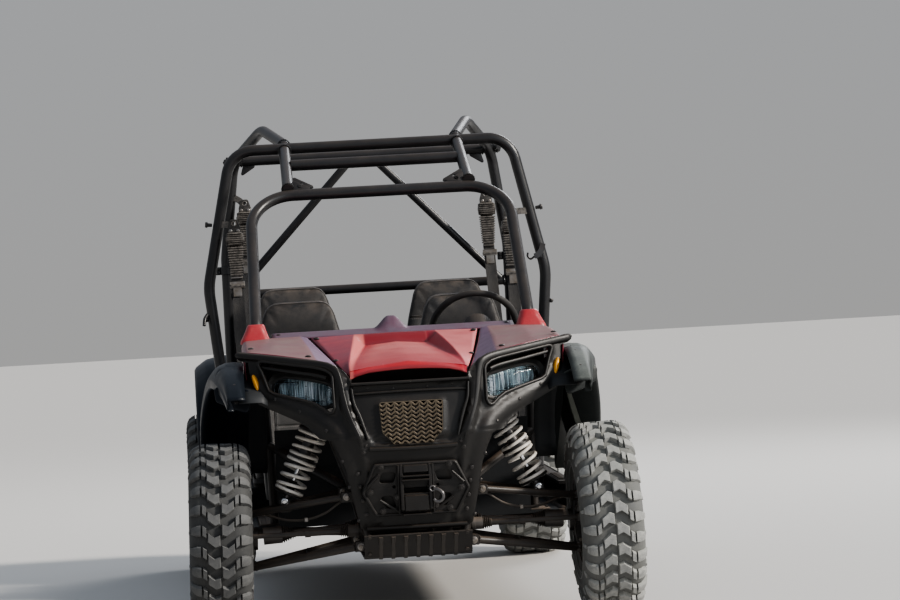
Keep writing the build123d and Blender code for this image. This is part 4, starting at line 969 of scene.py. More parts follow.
def make_rim(name, c, side, h, rimh, dish, camber):
    M = wheel_matrix(c, side, camber)
    k = Kit()
    lip = rimh + 5.5
    b = R_BEAD
    # barrel, outer and inner sides
    prof = [(lip, 161), (lip, 164.5), (lip - 3, 165), (rimh - 2, 163), (rimh - 6, 156), (rimh - 9, 151.5), (rimh - 24, 150.5), (rimh - 40, 146.8), (-rimh + 30, 146.8), (-rimh + 12, 150.5),
            (-rimh + 9, 151.5), (-rimh + 6, 156), (-rimh + 2, 163), (-lip + 3, 165), (-lip, 164.5), (-lip, 161), (-rimh + 4, 157), (-rimh + 9, 147), (-rimh + 14, 144),
            (rimh - 40, 143.8), (rimh - 26, 145.2), (rimh - 12, 147), (rimh - 6, 152), (rimh - 1, 158)]
    k.lathe(prof, (0, 0, 0), (0, 0, 1), 96, closed=True, up=(0, 1, 0))
    # beadlock style bolts round the outer lip
    for i in range(16):
        t = 2 * pi * (i + 0.5) / 16
        k.bolt((155.5 * cos(t), 155.5 * sin(t), rimh - 5), (0, 0, 1), 4.2, 5.5, washer=False)
    k.lathe([(rimh - 8, 149), (rimh - 8, 162), (rimh - 2, 162.4), (rimh - 0.5, 160), (rimh - 0.5, 150.5), (rimh - 2, 149)], (0, 0, 0), (0, 0, 1), 96, closed=True, up=(0, 1, 0))
    # face: windows between five twin spokes
    outer = circle(0, 0, 144.0, 90)
    holes = []
    for q in range(5):
        a = radians(72 * q + 36)
        pts = []
        for r, w in ((73, 12), (88, 15.5), (106, 18.5), (124, 20.5), (131, 20)):
            pts.append((r * cos(a + radians(w)), r * sin(a + radians(w))))
        for r, w in ((131, 20), (124, 20.5), (106, 18.5), (88, 15.5), (73, 12)):
            pts.append((r * cos(a - radians(w)), r * sin(a - radians(w))))
        holes.append(rounded_poly(pts[::1], 7, 3))
    k.plate(outer, holes, 13, 2.6, Matrix.Translation((0, 0, dish)), res=2)
    # raised ribs on the spokes, hub boss, cap and nuts
    for q in range(5):
        for da in (-10.5, 10.5):
            a = radians(72 * q + da)
            a2 = radians(72 * q + da * 1.18)
            p = Vector((52 * cos(a * 0.0 + radians(72 * q + da * 0.9)), 52 * sin(radians(72 * q + da * 0.9)), dish + 6))
            e = Vector((138 * cos(a2), 138 * sin(a2), dish + 4.5))
            k.sweep([p, p.lerp(e, 0.35) + Vector((0, 0, 2.5)), p.lerp(e, 0.7) + Vector((0, 0, 1.5)), e], 1.0, sect=[(-6, -4), (-4.5, 3.2), (-2, 5), (2, 5), (4.5, 3.2), (6, -4)], ref=(0, 0, 1))
        a = radians(72 * q)
        k.rod((118 * cos(a), 118 * sin(a), dish + 4), (118 * cos(a), 118 * sin(a), dish + 9), 7.5, 5.5, 12)
    k.lathe([(dish + 4, 0), (dish + 4, 66), (dish + 7, 66), (dish + 10.5, 60), (dish + 12, 50), (dish + 8, 44), (dish + 8, 0)], (0, 0, 0), (0, 0, 1), 60, up=(0, 1, 0))
    k.lathe([(dish - 34, 34), (dish - 34, 70), (dish - 6, 76), (dish - 6, 34)], (0, 0, 0), (0, 0, 1), 48, closed=True, up=(0, 1, 0))
    k.mi = 1
    k.lathe([(dish + 6, 0), (dish + 6, 31), (dish + 22, 30), (dish + 27, 26), (dish + 29, 18), (dish + 29.6, 0)], (0, 0, 0), (0, 0, 1), 40, up=(0, 1, 0))
    k.mi = 2
    for q in range(4):
        a = radians(90 * q + 45)
        p = Vector((55 * cos(a), 55 * sin(a), dish + 8.0))
        k.lathe([(0, 0), (0, 9.5), (2.5, 9.8), (4, 8.2), (15, 8.0), (17.5, 6.5), (18.5, 0)], p, (0, 0, 1), 6)
        k.lathe([(0, 0), (0, 12.5), (1.6, 12.5), (2.6, 10.5), (2.6, 0)], p, (0, 0, 1), 16)
    for q in range(16):
        t = 2 * pi * (q + 0.5) / 16
    # valve
    k.mi = 1
    a = radians(18)
    k.rod((140 * cos(a), 140 * sin(a), dish + 14), (133 * cos(a), 133 * sin(a), dish + 42), 4.5, 3.6, 12)
    # hub and disc behind the face
    hub0 = -66 - 6 if dish == 34 else -94 - 6
    k.mi = 3
    k.lathe([(hub0 - 0, 0), (hub0, 34), (dish - 6, 34), (dish - 6, 0)], (0, 0, 0), (0, 0, 1), 32, up=(0, 1, 0))
    k.mi = 4
    d0 = -66 if dish == 34 else -94
    holes = [circle(r * cos(radians(20 * i + o)), r * sin(radians(20 * i + o)), 3.6, 10) for i in range(18) for r, o in ((92, 0), (78, 7), (64, 14))]
    k.plate(circle(0, 0, 104, 72), [circle(0, 0, 33, 32)] + holes, 7.5, 0.8, Matrix.Translation((0, 0, d0 + 1)))
    k.v = [tuple(M @ Vector(p)) for p in k.v]
    ob = make(k, "rim_look_" + name, [MAT["rim_alloy"], MAT["plastic_black"], MAT["bolt_steel"], MAT["engine_metal"], MAT["disc_steel"]], name + "_wheel", "rim_alloy", angle=34)
    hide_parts("rim_" + name)
    return ob


for wname, (c, side, h, rimh, dish, camber) in WHEELS.items():
    make_tyre(wname, c, side, h, rimh, camber)
    make_rim(wname, c, side, h, rimh, dish, camber)


# ------------------------------------------------------------------ hood
def table_x(tab, y):
    ys = [r[0] for r in tab][::-1]
    return [interp(y, ys, [r[i] for r in tab][::-1]) for i in range(1, len(tab[0]))]


HOOD_FOOT = [(-800, 124, 1036), (-884, 118, 995), (-1150, 152, 972), (-1400, 182, 951), (-1500, 191, 940), (-1576, 198, 926)]
HOOD_RIDGE = [(-800, 150, 1036.5), (-1000, 160, 1018), (-1250, 183, 985), (-1450, 203, 950), (-1545, 208, 932), (-1576, 207, 924)]
HOOD_LINE = [(-790, 312, 1034), (-1100, 277, 992), (-1350, 246, 953), (-1500, 221, 922), (-1590, 204, 905)]


def hood_section(y):
    """Half section of the hood's outer skin at y, from the middle outwards: (x, z) corners."""
    fx, fz = table_x(HOOD_FOOT, y)
    rx, rz = table_x(HOOD_RIDGE, y)
    lx, lz = table_x(HOOD_LINE, y)
    if y > -884:
        t = smooth01((-y - 806) / 74.0)
        zc = 1036.5 + (1003 - 1036.5) * t
        fz = 1036.4 + (995 - 1036.4) * t
        rz = max(rz, fz + 0.4)
    else:
        zc = interp(y, [-1580, -884], [944, 1003])
    return [(0, zc + 1.5), (fx * 0.5, zc + 0.3 * (fz - zc) + 1.5), (fx, fz), (rx, rz), (lx, lz)]


def section_points(y, n=(7, 7, 6, 12)):
    c = hood_section(y)
    crown = 5.0 * smooth01((-y - 880) / 200)
    pts = []
    # floor from the middle to near the foot
    f0, fm, ft, rg, ln = [Vector((p[0], 0, p[1])) for p in c]
    line = rounded_path([f0, ft, rg, ln], [16, 9], 6)
    # resample to a fixed count along the line
    d = [0.0]
    for a, b in zip(line, line[1:]):
        d.append(d[-1] + (b - a).length)
    corner1 = (ft - f0).length
    corner2 = corner1 + (rg - ft).length
    stops = list(np.linspace(0, corner1 - 14, 10)) + list(np.linspace(corner1 - 8, corner1 + 4, 4)) + list(np.linspace(corner1 + 7, corner2 - 6, 5)) \
        + list(np.linspace(corner2 - 3, corner2 + 8, 5)) + list(np.linspace(corner2 + 14, d[-1], 8))
    stops = sorted(min(max(s, 0), d[-1]) for s in stops)
    for s in stops:
        x = interp(s, d, [p.x for p in line])
        z = interp(s, d, [p.z for p in line])
        if x < ft.x:
            z += crown * (1 - (x / max(ft.x, 1)) ** 2) * 1.0
        pts.append(Vector((x, y, z)))
    return pts


ys = [-797, -803, -809, -816, -826, -838, -850, -862, -872, -880, -888, -900, -930, -970, -1020, -1080, -1140, -1200, -1260, -1320, -1380, -1430, -1480, -1520, -1548, -1566, -1576]
rows = [section_points(y) for y in ys]
# band along the front edge and the lip rolled round the hinge line
last = rows[-1]
edge = [(0, 931), (70, 929), (140, 924), (185, 913), (204, 904)]
for yy, f, drop in ((-1580, 0.08, 0.0), (-1586, 0.32, 0.0), (-1594, 0.68, 0.0), (-1600, 0.94, 0.0), (-1604.5, 1.0, 2.0), (-1606.5, 1.0, 4.5), (-1606.5, 1.0, 7.5)):
    row = []
    for p in last:
        ze = interp(min(abs(p.x), 204), [e[0] for e in edge], [e[1] for e in edge])
        bow = (abs(p.x) / 204.0) ** 2 * 7.0
        row.append(Vector((min(p.x, 206) if f > 0.5 else p.x, yy + bow, p.z + (ze - p.z) * f - drop)))
    rows.append(row)
k = Kit()
nr, nc = len(rows), len(rows[0])
full = [[Vector((-p.x, p.y, p.z)) for p in reversed(r[1:])] + r for r in rows]
mcol = len(full[0])
k.add([p for r in full for p in r], [(i * mcol + j, i * mcol + j + 1, (i + 1) * mcol + j + 1, (i + 1) * mcol + j) for i in range(nr - 1) for j in range(mcol - 1)])
hood = make(k, "hood_skin", MAT["hood_red"], "hood_panel", "body_red", angle=60, weld=0.05, solid=9.0)
hood.modifiers["thick"].use_even_offset = False
hood.modifiers["thick"].use_quality_normals = False
if (hood.data.polygons[len(hood.data.polygons) // 2].normal.z) < 0:
    hood.data.flip_normals()
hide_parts("hood")
k = Kit()
for s in (1, -1):
    for x, y, z in ((s * 293, -845, 1031), (s * 243, -1330, 958)):
        k.lathe([(-3, 0), (-3, 11), (0.5, 11), (2.5, 9), (3.2, 4), (3.2, 0)], (x, y, z), (-s * 0.12, -0.12, 1), 20)
        k.lathe([(2.4, 0), (2.4, 4.5), (4.6, 4.0), (4.6, 0)], (x, y, z), (-s * 0.12, -0.12, 1), 6)
make(k, "hood_fasteners", MAT["plastic_black"], "hood_panel", "plastic_black")

# ------------------------------------------------------------------ quarter panels, boots and fasteners
def lerp3(pts, t):
    """Point at share t of a polyline given as (share, x, y, z)."""
    T = [p[0] for p in pts]
    return Vector([interp(t, T, [p[i] for p in pts]) for i in (1, 2, 3)])


k = Kit()
Q_IN = [(0, 322, -782, 1034), (0.37, 289, -1086, 995), (0.74, 252, -1350, 953), (1, 216, -1548, 909)]
Q_CR = [(0, 352, -780, 1041), (0.5, 340, -1160, 1012), (1, 318, -1540, 968)]
Q_OUT = [(0, 566, -764, 1035), (0.5, 567, -1080, 1027), (1, 566, -1392, 1008)]
rows = []
for i in range(41):
    t = i / 40
    a, b, c = lerp3(Q_IN, t), lerp3(Q_CR, t), lerp3(Q_OUT, t)
    b2 = b.lerp(c, 0.55) + Vector((0, 0, 5.0 * sin(pi * min(1, t * 1.1)) + 2))
    d = c + Vector((7, 4, -30))
    e = Vector((569, c.y + 6, interp(t, [0, 0.35, 0.7, 1], [812, 806, 850, 905])))
    line = rounded_path([a + Vector((0, 0, -14)), a, b, b2, c, d, e], [5, 26, 160, 16, 30], 7)
    # even the count by resampling
    dd = [0.0]
    for p, q in zip(line, line[1:]):
        dd.append(dd[-1] + (q - p).length)
    n = 56
    out = []
    keys = list(np.linspace(0, dd[-1], n))
    for s in keys:
        out.append(Vector([interp(s, dd, [p[j] for p in line]) for j in range(3)]))
    rows.append(out)
n = len(rows[0])
k.add([p for r in rows for p in r], [(i * n + j, i * n + j + 1, (i + 1) * n + j + 1, (i + 1) * n + j) for i in range(len(rows) - 1) for j in range(n - 1)])
k.mirror()
quarters = make(k, "quarter_skins", MAT["quarter_red"], "root", "body_red", angle=60, solid=5.0, recalc=True)
quarters.modifiers["thick"].use_even_offset = False
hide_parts("quarter_panels")

k = Kit()
for s in (1, -1):
    rings = []
    for z, x0, x1, y0, y1 in ((1022, 460, 574, -803, -686), (1034, 461, 573, -802, -687), (1046, 467, 566, -795, -694), (1070, 475, 554, -786, -702), (1088, 480, 547, -780, -708), (1094, 485, 541, -775, -713)):
        x0 += 1.5
        out = rounded_poly([(x0, y0), (x1, y0), (x1, y1), (x0, y1)], 22, 5)
        rings.append([Vector((s * x, y, z)) for x, y in out])
    k.loft(rings)
make(k, "pillar_boots", MAT["body_red"], "root", "body_red", angle=50)

k = Kit()
for s in (1, -1):
    for x, y, z in ((s * 545, -1330, 1018), (s * 345, -1450, 983)):
        k.lathe([(-2, 0), (-2, 10.5), (1, 10.5), (2.6, 8.5), (3.0, 0)], (x, y, z), (0, -0.05, 1), 18)
        k.box(x - 5, x + 5, y - 1, y + 1, z + 2, z + 3.6, 0.3)
    for y, z in ((-850, 1000), (-1100, 990), (-1330, 975), (-900, 850)):
        k.rivet((s * 573, y, z), (s, 0, 0), 6, 2.6)
make(k, "panel_fasteners", MAT["dark_bolt"], "root", "plastic_black")


# ------------------------------------------------------------------ front fascia
PLAN = [(0, -1662), (120, -1660), (205, -1654), (260, -1636), (300, -1614), (400, -1562), (500, -1508), (620, -1440)]
OUT = [(0, 884), (205, 884), (212, 902), (228, 925), (252, 946), (282, 961), (320, 970), (572, 1008), (590, 1010), (601, 1001), (600, 989), (590, 980), (562, 971), (560, 940), (548, 850), (532, 822),
       (415, 766), (385, 750), (365, 735), (346, 714), (328, 696), (304, 688), (283, 682), (262, 640), (241, 586), (221, 485), (197, 373), (185, 362), (150, 356), (0, 356)]
LAMP = [(267, 908), (273, 921), (292, 934), (325, 943), (506, 972), (518, 972), (522, 962), (508, 926), (490, 868), (476, 858), (380, 832), (335, 818), (308, 800), (288, 782), (274, 782), (266, 800)]
GRILLE = [(-112, 806), (-104, 810), (104, 810), (112, 806), (106, 706), (70, 668), (64, 664), (-64, 664), (-70, 668), (-106, 706)]
RIDGE_A = [(594, 999), (560, 993), (440, 975), (325, 957), (284, 946), (262, 930), (247, 903), (238, 868), (229, 815), (213, 755), (193, 700), (180, 640), (168, 560), (156, 470), (140, 392)]
RIDGE_B = [(536, 868), (500, 846), (400, 801), (338, 770), (296, 740), (268, 700), (252, 640), (232, 560), (216, 480), (196, 400)]
PANEL = [(0, 872), (236, 872), (226, 800), (206, 740), (176, 690), (0, 690)]


def fas_plan(x):
    return interp(abs(x), [p[0] for p in PLAN], [p[1] for p in PLAN])


def seg_dist(p, line):
    best, side = 1e9, 0
    for (ax, ay), (bx, by) in zip(line, line[1:]):
        dx, dy = bx - ax, by - ay
        t = max(0, min(1, ((p[0] - ax) * dx + (p[1] - ay) * dy) / (dx * dx + dy * dy)))
        ex, ey = p[0] - ax - t * dx, p[1] - ay - t * dy
        d = math.hypot(ex, ey)
        if d < best:
            best, side = d, (dx * ey - dy * ex)
    return best, side


def relief(x, z):
    """How far the moulded fascia stands out of its plain surface, in mm."""
    p = (abs(x), z)
    h = 0.0
    d, side = seg_dist(p, RIDGE_A)
    w = interp(z, [900, 945], [21, 14]) if z > 690 else 15
    if d < w:
        h = max(h, 13 * (1 - (d / w) ** 2) ** 0.6 if z > 690 else 8 * (1 - (d / w) ** 2) ** 0.7)
    d2, _ = seg_dist(p, RIDGE_B)
    if d2 < 34:
        h = max(h, (11 if z > 700 else 7) * (1 - (d2 / 34) ** 2) ** 0.8)
    dl, _ = seg_dist(p, LAMP + LAMP[:1])
    if dl < 9:
        h = max(h, 7.5 * (1 - (dl / 9) ** 2) ** 0.5)
    inside = p[0] < interp(z, [655, 690, 740, 800, 872], [140, 160, 190, 208, 214])
    if 658 < z < 876 and inside:
        edge_d = min(interp(z, [655, 690, 740, 800, 872], [140, 160, 190, 208, 214]) - p[0], z - 658, 876 - z)
        h -= 13 * smooth01(edge_d / 10.0)
        dg, _ = seg_dist((x, z), GRILLE + GRILLE[:1])
        if dg < 10:
            h += 6 * (1 - (dg / 10) ** 2) ** 0.6
    if z >= 876 and p[0] < 212:
        h += 5 * smooth01((z - 875) / 4)
    return h


def fas(x, z, off=0.0):
    lean = (z - 690) * 0.194 if z > 690 else (690 - z) * 0.176
    n = Vector((0, -1, 0.15 if z > 690 else -0.1)).normalized()
    a = fas_plan(abs(x) + 4) - fas_plan(abs(x) - 4)
    nx = math.copysign(a / 8, x) if abs(x) > 4 else 0.0
    n = Vector((nx, -1, 0.19 if z > 690 else -0.17)).normalized()
    p = Vector((x, fas_plan(x) + lean, z))
    return p + n * off


def fas_n(x, z):
    return (fas(x, z, 1.0) - fas(x, z, 0.0)).normalized()


def grid_sheet(outer, holes, step, fn, tiny=0.05):
    """Flat outline with holes, cut into a fine grid, then mapped by fn(x, z) to 3-D."""
    k0 = Kit()
    k0.plate(outer, holes, 4.0, 0.0)
    me = bpy.data.meshes.new("tmp")
    me.from_pydata(k0.v, [], k0.f)
    bm = bmesh.new()
    bm.from_mesh(me)
    bpy.data.meshes.remove(me)
    bmesh.ops.remove_doubles(bm, verts=bm.verts, dist=tiny)
    top = [f for f in bm.faces if f.calc_center_median().z < 1.9]
    bmesh.ops.delete(bm, geom=top, context="FACES")
    xs = [v.co.x for v in bm.verts]
    zs = [v.co.y for v in bm.verts]
    x = math.floor(min(xs) / step) * step + step
    while x < max(xs):
        bmesh.ops.bisect_plane(bm, geom=bm.verts[:] + bm.edges[:] + bm.faces[:], plane_co=(x + 0.013, 0, 0), plane_no=(1, 0, 0), dist=0.001)
        x += step
    z = math.floor(min(zs) / step) * step + step
    while z < max(zs):
        bmesh.ops.bisect_plane(bm, geom=bm.verts[:] + bm.edges[:] + bm.faces[:], plane_co=(0, z + 0.017, 0), plane_no=(0, 1, 0), dist=0.001)
        z += step
    bmesh.ops.dissolve_limit(bm, angle_limit=0.001, verts=[v for v in bm.verts if False], edges=[])
    bm.verts.index_update()
    verts = [fn(v.co.x, v.co.y) for v in bm.verts]
    faces = [tuple(v.index for v in f.verts) for f in bm.faces]
    bm.free()
    return verts, faces


k = Kit()
outer = [(x, z) for x, z in OUT[1:-1]] + [(-x, z) for x, z in reversed(OUT[1:-1])]
holes = [LAMP, [(-x, z) for x, z in reversed(LAMP)], GRILLE]
verts, faces = grid_sheet(outer, holes, 10.5, lambda x, z: fas(x, z, relief(x, z) - 6.0))
k.add(verts, faces)
fascia = make(k, "fascia_skin", MAT["plastic_black"], "root", "plastic_black", angle=44, solid=13.0)
if sum(p.normal.y * p.area for p in fascia.data.polygons) > 0:
    fascia.data.flip_normals()
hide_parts("front_fascia")
m = fascia.modifiers.new("bev", "BEVEL")
m.width = 0.0022
m.segments = 2
m.limit_method = "ANGLE"
m.angle_limit = radians(58)


def moulding(k, pts, w, h, closed=False, lift=0.0, n=10, prof=None):
    """Rounded strip on the fascia along (x, z) points; w and h may be lists."""
    P = []
    m = len(pts)
    W = w if isinstance(w, list) else [w] * m
    H = h if isinstance(h, list) else [h] * m
    ref, sect = [], []
    for (x, z), ww, hh in zip(pts, W, H):
        P.append(fas(x, z, lift))
        ref.append(fas_n(x, z))
        sect.append([(ww / 2 * c, hh * s_) for c, s_ in
                     [(-1, -0.55), (-1, 0.1), (-0.94, 0.55), (-0.78, 0.86), (-0.45, 0.96), (0, 1), (0.45, 0.96), (0.78, 0.86), (0.94, 0.55), (1, 0.1), (1, -0.55)]])
    k.sweep(P, 1.0, closed=closed, sect=sect, ref=ref)
    return k


k = Kit()
for s in (1, -1):
    # brow: thick rounded rail over the lamp with an upturned outer end
    line = [(p.x, p.z) for p in bezier([(594, 0, 999), (582, 0, 996), (540, 0, 990), (440, 0, 975), (330, 0, 958), (284, 0, 948), (256, 0, 930), (243, 0, 885), (236, 0, 840), (224, 0, 785), (206, 0, 735), (190, 0, 696), (182, 0, 662)], 60)]
    nn = len(line)
    ws = [interp(i / (nn - 1), [0, 0.04, 0.2, 0.5, 0.62, 0.8, 1], [14, 22, 23, 23, 22, 18, 12]) for i in range(nn)]
    hs = [interp(i / (nn - 1), [0, 0.06, 0.3, 0.5, 0.7, 0.9, 1], [7, 9, 9, 9, 9, 7, 3]) for i in range(nn)]
    moulding(k, [(s * x, z) for x, z in line], ws, hs)
    # lamp surround
    ring = [(s * x, z) for x, z in rounded_poly(LAMP, 10, 3)]
    moulding(k, ring, 11, 9.5, closed=True)
    # thin slat under the brow
    sl = [(p.x, p.z) for p in bezier([(528, 0, 955), (500, 0, 950), (420, 0, 935), (330, 0, 919), (294, 0, 908)], 20)]
    moulding(k, [(s * x, z) for x, z in sl], 12, 4.5, lift=-8)
    # inner post beside the grille
    ip = [(p.x, p.z) for p in bezier([(206, 0, 868), (200, 0, 815), (183, 0, 768), (168, 0, 720), (158, 0, 684)], 20)]
    moulding(k, [(s * x, z) for x, z in ip], [interp(i / (len(ip) - 1), [0, 0.5, 1], [9, 13, 8]) for i in range(len(ip))], 10, lift=-8)
# ledge over the grille and the sill under it
moulding(k, [(x, 878) for x in range(-204, 205, 24)], 11, 13)
moulding(k, [(x, 846 + 3 * (1 - (x / 190) ** 2)) for x in range(-196, 197, 28)], 8, 5, lift=-12)
moulding(k, [(x, 650 - 3 * (1 - (x / 150) ** 2)) for x in range(-154, 155, 22)], 13, 9)
make(k, "fascia_mouldings", MAT["plastic_black"], "root", "plastic_black", angle=50)

k = Kit()
for s in (1, -1):
    for x, z in ((548, 905), (470, 838), (388, 792), (300, 722), (252, 612), (232, 520), (205, 400), (150, 868), (60, 862)):
        k.rivet(fas(s * x, z, relief(x, z) - 5.5), fas_n(s * x, z), 6.5, 2.8)
for x, z in ((-168, 662), (168, 662), (-176, 640), (176, 640)):
    k.bolt(fas(x, z, relief(x, z) - 6), fas_n(x, z), 5.5, 4.5)
make(k, "fascia_screws", MAT["dark_bolt"], "root", "bare_aluminium")

# amber side markers
k = Kit()
for s in (1, -1):
    rings = []
    for f, out in ((1.0, -6), (1.0, 3), (0.93, 6.0), (0.72, 8.6), (0.4, 10), (0.1, 10.3)):
        ring = []
        for i in range(28):
            t = 2 * pi * i / 28
            x, z = 536 + 8.5 * f * cos(t) + 0.24 * 29 * f * sin(t), 899 + 29 * f * sin(t)
            ring.append(fas(s * x, z, out))
        rings.append(ring)
    k.loft(rings)
make(k, "side_markers", MAT["amber"], "root", "lamp_glass", angle=50)


# ------------------------------------------------------------------ headlamps
LENS = [(488, 870), (484, 894), (473, 908), (447, 913), (402, 908), (359, 900), (324, 892), (305, 886), (288, 870), (280, 852), (281, 837), (290, 824), (316, 815), (359, 820), (413, 831), (456, 844), (479, 856)]


def inset(poly, d):
    """Outline moved inwards by d, corner by corner."""
    out = []
    m = len(poly)
    area_ = sum(poly[i][0] * poly[(i + 1) % m][1] - poly[(i + 1) % m][0] * poly[i][1] for i in range(m))
    sg = 1 if area_ > 0 else -1
    for i in range(m):
        a, b, c = Vector(poly[i - 1]), Vector(poly[i]), Vector(poly[(i + 1) % m])
        e1, e2 = (b - a).normalized(), (c - b).normalized()
        n1, n2 = Vector((-e1.y, e1.x)) * sg, Vector((-e2.y, e2.x)) * sg
        n_ = (n1 + n2).normalized()
        out.append(tuple(b + n_ * (d / max(0.5, n_.dot(n1)))))
    return out


lens_ring = rounded_poly(LENS, 12, 3)
kb, kr, kl = Kit(), Kit(), Kit()
for s in (1, -1):
    def lp(x, z, off):
        q = fas(x, z, off)
        return Vector((s * q.x, q.y, q.z))

    # dark bucket round the lens
    rings = []
    for d, off in ((-20, -14), (-20, -22), (-9, -34), (-2, -36), (0, -44), (0, -92)):
        rings.append([lp(x, z, off) for x, z in inset(lens_ring, d)])
    for a, b in zip(rings, rings[1:]):
        m = len(a)
        kb.add(a + b, [(i, (i + 1) % m, m + (i + 1) % m, m + i) for i in range(m)])
    kb.loft([[lp(x, z, -90) for x, z in inset(lens_ring, -3)], [lp(x, z, -100) for x, z in inset(lens_ring, -3)]])
    # reflector: upright half-round flutes standing in front of a back plate
    ref_ring = inset(lens_ring, 1.5)
    kr.loft([[lp(x, z, -62) for x, z in ref_ring], [lp(x, z, -66) for x, z in ref_ring]])
    zs_of = lambda x: [a_[1] + (b_[1] - a_[1]) * (x - a_[0]) / (b_[0] - a_[0]) for a_, b_ in zip(ref_ring, ref_ring[1:] + ref_ring[:1]) if (a_[0] - x) * (b_[0] - x) < 0]
    pitch, x = 8.6, min(p_[0] for p_ in ref_ring) + 6
    while x < max(p_[0] for p_ in ref_ring) - 4:
        zz = zs_of(x + 0.013)
        if len(zz) >= 2 and max(zz) - min(zz) > 16:
            z0, z1 = min(zz) + 1.5, max(zz) - 1.5
            P = [lp(x, z0 + (z1 - z0) * i_ / 10.0, -62 + 2.0 * sin(pi * i_ / 10.0)) for i_ in range(11)]
            prof_ = [(pitch / 2 * cos(t_), 6.5 * sin(t_)) for t_ in [pi * q_ / 8 for q_ in range(9)]]
            kr.sweep(P, 1.0, sect=[(a_, b_) for a_, b_ in prof_] + [(-pitch / 2, -1.5), (pitch / 2, -1.5)], ref=lp(x, z0, 1) - lp(x, z0, 0))
        x += pitch
    # clear cover: domed sheet cut on a grid, so that it shades evenly
    edge_ring = inset(lens_ring, 0.5)
    closed_ring = edge_ring + edge_ring[:1]

    def dome(x, z):
        d = seg_dist((x, z), closed_ring)[0]
        return lp(x, z, -32 + 16.5 * smooth01(min(1.0, d / 20.0)) ** 0.6)
    verts, faces = grid_sheet(edge_ring, [], 7.0, dome)
    kl.add(verts, faces)
make(kb, "lamp_buckets", MAT["plastic_black"], "root", "plastic_black", angle=50)
make(kr, "lamp_reflectors", MAT["reflector"], "root", "lamp_glass", angle=70)
lens = make(kl, "lamp_covers", MAT["lamp_glass"], "root", "lamp_glass", angle=70, solid=3.0)
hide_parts("headlights")


# ------------------------------------------------------------------ grille mesh
k = Kit()
def gy(z, off):
    return fas(0, z, off).y


rows_n, wl, amp = 10, 29.0, 4.6
for r in range(rows_n):
    z0 = 801 - r * 14.6
    half = interp(z0, [664, 706, 806], [66, 106, 112]) - 1
    pts, x = [], -half
    while x < half:
        pts.append((x, z0))
        x += 2.4
    pts.append((half, z0))
    P = [Vector((x, gy(z, -10), z + amp * cos(2 * pi * x / wl))) for x, z in pts]
    k.sweep(P, 1.0, sect=[(-5.5, -3.4), (-4.6, -3.9), (4.4, -3.2), (5.5, -2.0), (5.5, 2.0), (4.4, 3.2), (-4.6, 3.9), (-5.5, 3.4)], ref=(0, 0, 1))
for c in range(-3, 4):
    k.box(c * wl - 1.5, c * wl + 1.5, gy(740, -19), gy(740, -15), 672, 802, 0.4)
k.plate([(-82, 732), (82, 732), (82, 757), (-82, 757)], [], 4, 1.0, frame_matrix(Vector((0, gy(744, -5), 0)), Vector((1, 0, 0)), Vector((0, 0.19, 1)).normalized(), Vector((0, -1, 0.19)).normalized()) @ Matrix.Translation((0, 0, 0)))
kk = [Vector((x, gy(z, -14), z)) for x, z in rounded_poly([(x * 0.995, 737 + (z - 737) * 0.995) for x, z in GRILLE], 6, 3)]
k.sweep(kk, 1.0, closed=True, sect=[(-1.5, -3), (1.5, -3), (1.5, 3), (-1.5, 3)], ref=(0, -1, 0.19))
grille = make(k, "grille_waves", MAT["grille_metal"], "root", "grille_metal", angle=40)
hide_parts("front_grille")


# ------------------------------------------------------------------ springs and shock absorbers
FS_TOP, FS_DIR, FS_LEN = Vector((325, -1364, 737)), Vector((0.436, 0, -0.9)).normalized(), 300
RS_TOP = Vector((355, 1042, 752))
RS_DIR = (Vector((468, 1218, 402)) - RS_TOP).normalized()
RS_LEN = (Vector((468, 1218, 402)) - RS_TOP).length


def helix(k, o, n, s0, s1, R, wire, turns, flat=0.8, phase=0.0):
    """Coil with closed ends between s0 and s1 along n."""
    a, b, n = basis(n)
    pts = []
    total = turns
    steps = int(total * 22)
    for i in range(steps + 1):
        t = i / steps * total
        # ends lie flat for part of a turn
        if t < flat:
            h = 0.12 * t / flat * wire
        elif t > total - flat:
            h = (s1 - s0 - 2 * wire) - 0.12 * (total - t) / flat * wire
        else:
            u = (t - flat) / (total - 2 * flat)
            h = 0.12 * wire + (s1 - s0 - 2 * wire - 0.24 * wire) * u
        th = 2 * pi * t + phase
        pts.append(o + n * (s0 + wire + h) + a * (R * cos(th)) + b * (R * sin(th)))
    k.sweep(pts, wire, 12)


